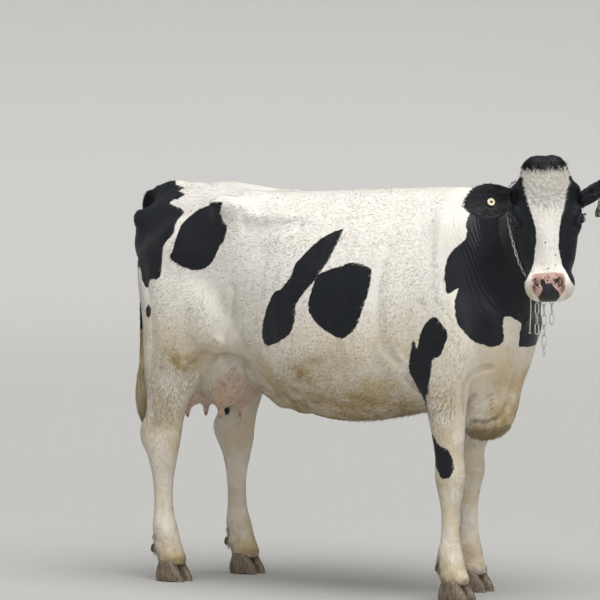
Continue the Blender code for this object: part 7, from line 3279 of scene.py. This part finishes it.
@dataclass
class Twine:
    """The short end of white string that hangs from the neck chain, with the knot at its end."""

    length: float = 0.160
    diameter: float = 0.0040
    sway: float = 0.004
    count: int = 15
    knot_radius: float = 0.0052

    def top(self) -> Vector:
        """Finds where the string leaves the chain."""
        low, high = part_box("collar_string")
        return Vector((low.x + self.diameter / 2, (low.y + high.y) / 2, high.z))

    def build(self, finish: bpy.types.Material) -> tuple[bpy.types.Object, bpy.types.Object]:
        """Makes the string and its knot.

        Args:
            finish: the twine.

        Returns:
            The string and the knot.
        """
        top = self.top()
        curve = bpy.data.curves.new("string", "CURVE")
        curve.dimensions = "3D"
        curve.bevel_depth, curve.bevel_resolution, curve.use_fill_caps = self.diameter / 2, 5, True
        spline = curve.splines.new("POLY")
        spline.points.add(self.count - 1)
        for i, point in enumerate(spline.points):
            t = i / (self.count - 1)
            point.co = (top.x + self.sway * math.sin(math.pi * t) ** 2, top.y, top.z - self.length * t, 1.0)
        string = mesh_object("string", curve)
        curve.materials.append(finish)
        low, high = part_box("collar_knot")
        middle = np.array((low + high) / 2)
        parts, faces, total = [], [], 0
        for tilt, turn in ((0.5, 0.0), (-0.5, 2.1), (0.1, 4.2)):
            normal = unit(np.array((math.sin(tilt) * math.cos(turn), math.sin(tilt) * math.sin(turn),
                                    math.cos(tilt))))
            first = unit(np.cross(normal, (0.3, 1.0, 0.2)))
            second = np.cross(normal, first)
            a = np.arange(28)[:, None] / 28 * 2 * math.pi
            path = middle + (first * np.cos(a) + second * np.sin(a)) * (self.knot_radius - 0.0021)
            p, f = swept(path, 0.0020, 8, normal)
            parts.append(p)
            faces.append(f + total)
            total += len(p)
        knot = dress(from_arrays("knot", np.concatenate(parts), np.concatenate(faces)), finish)
        return string, knot


@dataclass
class EarTags:
    """The round button in the right ear and the panel that hangs from the left one."""

    head: HeadPlace
    button_place: float = 0.50  # along the ear
    panel_place: float = 0.44
    panel_across: float = -0.004
    panel_drop: float = 0.012  # from the back of the ear to the panel
    button_radius: float = 0.0135
    disc: float = 0.0028
    clear: float = 0.0038
    behind: float = 0.0014
    stud: float = 0.0030
    panel_thick: float = 0.0022
    number: str = "52"
    digit_size: float = 0.036
    digit_place: float = 0.042  # down the panel
    digit_stands: float = 0.00025

    def at(self, ear: EarLeaf, place: float, across: float = 0.0) -> Matrix:
        """Gives the stud's frame on an ear: x along it, z out of its opening.

        Args:
            ear: the ear's leaf.
            place: the share of the ear's length.
            across: how far from its middle line.

        Returns:
            The frame.
        """
        def on_back(t: float) -> np.ndarray:
            """Finds a place on the leaf's back.

            Args:
                t: how far along the leaf.

            Returns:
                The place.
            """
            radius = read_off(EAR_OUTLINE, t) / np.radians(read_off(EAR_CURL, t))
            curl = np.radians(read_off(EAR_CURL, t)) / 2
            share = across / radius / curl
            return ear.place(self.head, np.array(t), np.array(share), np.array(0.0))

        _, _, opens, wide = ear.axes(self.head)
        radius = read_off(EAR_OUTLINE, place) / np.radians(read_off(EAR_CURL, place))
        turn = across / radius
        out = Vector(opens * math.cos(turn) - wide * math.sin(turn))
        x = Vector(on_back(place + 0.06) - on_back(place - 0.06)).normalized()
        z = (out - x * out.dot(x)).normalized()
        return Matrix.Translation(Vector(on_back(place))) @ Matrix((x, z.cross(x), z)).transposed().to_4x4()

    def button(self, finish: bpy.types.Material) -> bpy.types.Object:
        """Makes the button: a dished disc with a raised rim, its stud, and the disc behind.

        Args:
            finish: the plastic.

        Returns:
            The tag.
        """
        at, r = self.at(EARS[0], self.button_place), self.button_radius
        front = EAR_THICK_OF_SOLID + self.clear
        top = front + self.disc
        outer = [(0.0002, front - 0.0002), (r * 0.94, front), (r, front + 0.0005), (r, top - 0.0006),
                 (r * 0.95, top), (r * 0.72, top), (r * 0.64, top - 0.0007), (r * 0.50, top - 0.0008),
                 (r * 0.44, top - 0.0002), (r * 0.38, top - 0.0002), (r * 0.33, top - 0.0010),
                 (r * 0.30, top - 0.0020), (0.0002, top - 0.0020)]
        low = -self.behind - self.disc
        back = [(0.0002, low), (r * 0.30, low), (r * 0.36, low + 0.0003), (r * 0.94, low + 0.0002),
                (r, low + 0.0008), (r, -self.behind - 0.0005), (r * 0.95, -self.behind),
                (0.0002, -self.behind)]
        stud = [(0.0002, low + 0.001), (self.stud, low + 0.001), (self.stud, front + 0.0005),
                (0.0002, front + 0.0005)]
        pieces = [lathe(name, at, profile, 48)
                  for name, profile in (("disc", outer), ("back", back), ("stud", stud))]
        tag = joined("button_tag", pieces)
        local = read_points(tag.data) @ np.array(at.inverted())[:3, :3].T + np.array(at.inverted())[:3, 3]
        # The dish in the middle, round the stud, takes the dark ink colour.
        hollow = (np.linalg.norm(local[:, :2], axis=1) < r * 0.335) & (local[:, 2] > front)
        give(tag.data, "ink", hollow.astype(float))
        return dress(tag, finish)

    def panel(self, finish: bpy.types.Material) -> bpy.types.Object:
        """Makes the panel with its rounded corners and plain number, its stud, and the small disc in the ear.

        Args:
            finish: the plastic.

        Returns:
            The tag.
        """
        at = self.at(EARS[1], self.panel_place, self.panel_across)
        front = EAR_THICK_OF_SOLID + self.clear
        faces = at.to_3x3() @ Vector((0, 0, 1))
        faces = Vector((faces.x, faces.y, 0)).normalized()
        down = Vector((0, 0, -1))
        turned = Matrix.Translation(at @ Vector((0, 0, -self.panel_drop)))
        turned = turned @ Matrix((down, faces.cross(down), faces)).transposed().to_4x4()
        half = self.panel_thick / 2
        rings = []
        for height, grow in ((-half, -0.0006), (0.0005 - half, 0.0), (half - 0.0005, 0.0), (half, -0.0006)):
            rings.append([turned @ Vector((x, y, height)) for x, y in self.outline(grow)])
        plate = loft("plate", rings)
        r = self.button_radius * 0.42
        top = front + self.disc
        disc = lathe("disc", at, [(0.0002, front), (r * 0.94, front), (r, front + 0.0006), (r, top - 0.0006),
                                  (r * 0.93, top), (r * 0.45, top + 0.0002), (0.0002, top + 0.0002)], 48)
        boss = lathe("boss", at, [(0.0002, -self.panel_drop - 0.0010), (self.stud, -self.panel_drop - 0.0010),
                                  (self.stud, front + 0.0005), (0.0002, front + 0.0005)], 40)
        digits = self.digits(turned, half)
        inked, disc_points, plate_points = (len(piece.data.vertices) for piece in (digits, disc, plate))
        tag = joined("panel_tag", [plate, disc, boss, digits])
        ink = np.zeros(len(tag.data.vertices))
        ink[-inked:] = 1.0
        ink[plate_points:plate_points + disc_points] = 0.9
        give(tag.data, "ink", ink)
        return dress(tag, finish)

    def outline(self, grow: float) -> list[tuple[float, float]]:
        """Gives the panel's outline, with a narrow neck at its stud and rounded corners.

        Args:
            grow: how far to move it out.

        Returns:
            The outline's places, along and across.
        """
        wide, tall, neck, shoulder = 0.058, 0.058, 0.012, 0.038
        half = [(-0.0075, 0.0), (-0.0068, -0.0035), (-0.0040, -0.0070), (0.0, -0.0086), (neck * 0.6, -0.0088),
                (neck, -0.0096), (neck + 0.004, -0.0120), (shoulder - 0.004, -wide / 2 + 0.0034),
                (shoulder - 0.001, -wide / 2 + 0.0010), (shoulder + 0.002, -wide / 2),
                (tall - 0.008, -wide / 2), (tall - 0.0035, -wide / 2 + 0.0012),
                (tall - 0.0008, -wide / 2 + 0.0045), (tall, -wide / 2 + 0.009), (tall, 0.0)]
        whole = half + [(x, -y) for x, y in reversed(half[1:-1])]
        middle = np.array((tall / 2, 0.0))
        return [tuple(np.array(p) + grow * unit(np.array(p) - middle)) for p in whole]

    def digits(self, turned: Matrix, height: float) -> bpy.types.Object:
        """Makes the plain number as thin raised figures on the panel's front.

        Args:
            turned: the panel's frame.
            height: of that face.

        Returns:
            The figures' mesh.
        """
        text = bpy.data.curves.new("number", "FONT")
        text.body, text.size, text.align_x, text.align_y = self.number, self.digit_size, "CENTER", "CENTER"
        text.extrude, text.resolution_u = self.digit_stands, 4
        made = mesh_object("number", text)
        upright = Matrix.Rotation(-math.pi / 2, 4, "Z")
        face = turned @ Matrix.Translation((self.digit_place, 0.0, height + 0.0002)) @ upright
        graph = bpy.context.evaluated_depsgraph_get()
        mesh = bpy.data.meshes.new_from_object(made.evaluated_get(graph))
        bpy.data.objects.remove(made)
        mesh.transform(face)
        return mesh_object("figures", mesh)


EAR_THICK_OF_SOLID = 0.0090  # the thickness that the ears' solids have where a tag goes through


@dataclass(frozen=True)
class TagFinish:
    """Pale yellow moulded plastic, scuffed and a little dirty, with dark ink."""

    plastic: tuple = shade(0.84, 0.77, 0.48)
    faded: tuple = shade(0.82, 0.77, 0.60)
    blotches: tuple = shade(0.22, 0.17, 0.10)
    ink: tuple = shade(0.020, 0.020, 0.024)

    def make(self) -> bpy.types.Material:
        """Builds the material.

        Returns:
            The material.
        """
        n = Nodes("tag_plastic")
        where = n.add("ShaderNodeTexCoord").outputs["Object"]
        colour = n.mix(n.ramp(n.noise(60.0, 3.0, 0.5, where), 0.35, 0.7), self.plastic, self.faded)
        grime = n.ramp(n.noise(170.0, 5.0, 0.65, where), 0.56, 0.72, 0.0, 0.75)
        colour = n.mix(grime, colour, self.blotches)
        colour = n.mix(n.layer("ink"), colour, self.ink)
        rough = n.ramp(n.noise(240.0, 3.0, 0.6, where), 0.3, 0.7, 0.30, 0.52)
        scuff = n.bump(n.noise(500.0, 4.0, 0.6, where), 0.18, 0.0004)
        return n.finish(Base_Color=colour, Roughness=rough, Normal=scuff, Subsurface_Weight=0.0)


HORN = PlainFinish("claw_horn", shade(0.20, 0.155, 0.105), shade(0.075, 0.058, 0.045),
                   roughness=0.46, grain=26.0, bump=0.35, stretch=(5.0, 5.0, 1.0))
DEW_HORN = PlainFinish("dewclaw_horn", shade(0.085, 0.066, 0.052), shade(0.035, 0.028, 0.024),
                       roughness=0.5, grain=60.0, bump=0.35, stretch=(3.0, 3.0, 1.0))
STEEL = PlainFinish("chain_steel", shade(0.80, 0.80, 0.78), shade(0.55, 0.54, 0.51),
                    roughness=0.34, metallic=1.0, grain=220.0, bump=0.15)


@dataclass(frozen=True)
class TwineFinish:
    """Twisted white string, a little grey with dirt, and darker in the grooves between its strands, which is
    painted shade.
    """

    light: tuple = shade(0.78, 0.76, 0.71)
    # Painted shade in the grooves between the strands.
    groove_shade: tuple = shade(0.48, 0.45, 0.40)

    def make(self) -> bpy.types.Material:
        """Builds the material.

        Returns:
            The material.
        """
        n = Nodes("twine")
        where = n.add("ShaderNodeTexCoord").outputs["Object"]
        lean = n.add("ShaderNodeMapping", {"Vector": where, "Rotation": (0.0, 0.9, 0.7)}).outputs[0]
        strands = n.add("ShaderNodeTexWave",
                        {"Vector": lean, "Scale": 260.0, "Distortion": 1.0}).outputs["Fac"]
        colour = n.mix(n.ramp(strands, 0.1, 0.7), self.groove_shade, self.light)
        return n.finish(Base_Color=colour, Roughness=0.9, Normal=n.bump(strands, 0.8, 0.0006),
                        Sheen_Weight=0.3)


# ---------------------------------------------------------------- camera, studio and the whole


@dataclass(frozen=True)
class Viewpoint:
    """The camera: where it looks from and at, and how long its lens is."""

    azimuth: float = math.radians(37.0)  # from the cow's right towards her front
    elevation: float = math.radians(2.1)
    distance: float = 16.0
    aim: tuple = (0.674, 0.0, 1.046)  # in the tables' measure
    lens: float = 261.1

    def build(self) -> bpy.types.Object:
        """Makes the camera.

        Returns:
            The camera.
        """
        flat = math.cos(self.elevation)
        back = Vector((math.sin(self.azimuth) * flat, -math.cos(self.azimuth) * flat,
                       math.sin(self.elevation)))
        camera = bpy.data.objects.new("camera", bpy.data.cameras.new("camera"))
        bpy.context.scene.collection.objects.link(camera)
        camera.location = Vector(self.aim) + Vector((SHIFT.x, 0, 0)) + back * self.distance
        camera.rotation_euler = back.to_track_quat("Z", "Y").to_euler()
        camera.data.lens, camera.data.sensor_width, camera.data.clip_end = self.lens, 36.0, 200.0
        bpy.context.scene.camera = camera
        return camera


@dataclass(frozen=True)
class Studio:
    """A plain pale floor under soft light from above, with a weak fill."""

    floor: tuple = shade(0.43, 0.43, 0.42)
    worn: tuple = shade(0.405, 0.405, 0.40)
    sky: tuple = shade(0.84, 0.88, 0.95)
    sky_strength: float = 0.20
    flat: float = 22.0  # how far the floor runs before it sweeps up
    sweep: float = 9.0
    tall: float = 22.0
    around: int = 96

    def build(self) -> None:
        """Makes the floor, the lights and the world."""
        bend = [(self.flat + self.sweep * math.sin(a), self.sweep * (1 - math.cos(a)))
                for a in np.linspace(0.0, math.pi / 2, 16)]
        profile = [(0.001, 0.0), (self.flat * 0.5, 0.0), *bend, (self.flat + self.sweep, self.tall)]
        around = self.around
        turn = np.arange(around) / around * 2 * math.pi
        points = np.array([(r * math.cos(a), r * math.sin(a), z) for r, z in profile for a in turn])
        i, j = np.meshgrid(np.arange(len(profile) - 1), np.arange(around), indexing="ij")
        a, b = i * around + j, i * around + (j + 1) % around
        faces = np.stack([a, a + around, b + around, b], axis=-1).reshape(-1, 4)
        floor = from_arrays("floor", points, faces)
        n = Nodes("floor")
        pale = n.mix(n.ramp(n.noise(1.7, 3.0, 0.5), 0.3, 0.7), self.floor, self.worn)
        dress(floor, n.finish(Base_Color=pale, Roughness=0.9))
        world = bpy.data.worlds.new("world")
        world.use_nodes = True
        sky = world.node_tree.nodes["Background"].inputs
        sky["Color"].default_value, sky["Strength"].default_value = self.sky, self.sky_strength
        bpy.context.scene.world = world
        self.daylight(towards=(0.42, -0.34, 1.35), spread=math.radians(64.0), strength=3.8,
                      colour=(1.0, 0.985, 0.955))
        self.lamp("front", at=(5.8, -4.4, 1.3), to=(0.3, 0.0, 0.9), size=2.4, power=95.0,
                  colour=(1.0, 0.99, 0.97))
        self.lamp("side", at=(-4.5, -5.0, 4.2), to=(-0.3, 0.0, 1.1), size=3.0, power=20.0,
                  colour=(0.95, 0.97, 1.0))
        settings = bpy.context.scene.view_settings
        settings.view_transform, settings.look, settings.exposure = "Standard", "None", 0.0

    def daylight(self, towards: Sequence[float], spread: float, strength: float,
                 colour: Sequence[float]) -> None:
        """Lights the whole studio softly from above.

        Args:
            towards: the way to the light.
            spread: how wide the light is in the sky.
            strength: how bright it is.
            colour: of its light.
        """
        data = bpy.data.lights.new("daylight", "SUN")
        data.angle, data.energy, data.color = spread, strength, colour
        made = bpy.data.objects.new("daylight", data)
        bpy.context.scene.collection.objects.link(made)
        made.rotation_euler = Vector(towards).to_track_quat("Z", "Y").to_euler()

    def lamp(self, name: str, at: Sequence[float], to: Sequence[float], size: float, power: float,
             colour: Sequence[float]) -> None:
        """Hangs one soft lamp.

        Args:
            name: its name.
            at: where it hangs.
            to: what it points at.
            size: how wide it is.
            power: in watts.
            colour: of its light.
        """
        data = bpy.data.lights.new(name, "AREA")
        data.shape, data.size, data.energy, data.color = "DISK", size, power, colour
        made = bpy.data.objects.new(name, data)
        bpy.context.scene.collection.objects.link(made)
        made.location = at
        made.rotation_euler = (Vector(at) - Vector(to)).to_track_quat("Z", "Y").to_euler()


@dataclass
class Cow:
    """The whole cow, in the order that it is made."""

    skin: Skin = field(default_factory=Skin)

    def build(self) -> None:
        """Makes every piece and hides the solids that they stand for."""
        twine = Twine()
        string, knot = twine.build(TwineFinish().make())
        self.place(string, "twine", "collar_string")
        self.place(knot, "twine", "collar_knot")
        tuple(twine.top())
        head = self.skin.head
        eyes = [EyePlace.from_node("eye_right", RIGHT, head), EyePlace.from_node("eye_left", LEFT, head)]
        hide = Hide(self.skin, eyes)
        hide.build()
        self.place(hide.piece, "coat_white", "trunk", "neck", "head", "udder", "tail", "ear_right",
                   "ear_left", *(leg.name for leg in LEGS))
        for piece in hide.coat():
            self.place(piece, "coat_white")
        for piece in LongHair(hide).build():
            slot = "coat_black" if piece.name in ("poll_tuft", "lashes") else "coat_white"
            stands_for = ("tail_switch",) if piece.name == "switch" else ()
            self.place(piece, slot, *stands_for)
        wet = EyeFinish().make()
        for eye in eyes:
            self.place(Eyeball(eye).build(wet), "eye", eye.name)
        horn, dew_horn = HORN.make(), DEW_HORN.make()
        for node in sorted(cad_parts):
            if node.startswith("claw_"):
                self.place(Claw(node).build(horn), "claw_horn", node)
            if node.startswith("dewclaw_"):
                self.place(Dewclaw(node).build(dew_horn), "dewclaw_horn", node)
        steel = STEEL.make()
        chain = Chain()
        ring = joined("chain_round_neck", [chain.round_neck(steel), chain.third_end(steel)])
        self.place(dress(ring, steel), "chain_steel", "neck_chain")
        for node, count, turned in (("chain_end_long", 6, 0.35), ("chain_end_short", 4, 1.2)):
            self.place(chain.hanging(node, count, turned, steel), "chain_steel", node)
        tags, plastic = EarTags(head), TagFinish().make()
        self.place(tags.button(plastic), "tag_plastic", "tag_button_right")
        self.place(tags.panel(plastic), "tag_plastic", "tag_panel_left")

    def place(self, piece: bpy.types.Object, slot: str, *nodes: str) -> None:
        """Hangs a piece on the root and hides the solids that it stands for.

        Args:
            piece: the piece.
            slot: not used.
            nodes: the solids that it stands for.
        """
        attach(piece, "root")
        if nodes:
            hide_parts(*nodes)
        LOG.info("placed %s", piece.name)


def main() -> None:
    """Builds the studio, the camera and the cow."""
    logging.basicConfig(level=logging.INFO, format="%(message)s")
    for left_over in ("Cube", "Light", "Camera"):
        if left_over in bpy.data.objects:
            bpy.data.objects.remove(bpy.data.objects[left_over])
    Viewpoint().build()
    Cow().build()
    Studio().build()


if __name__ == "__main__":
    main()
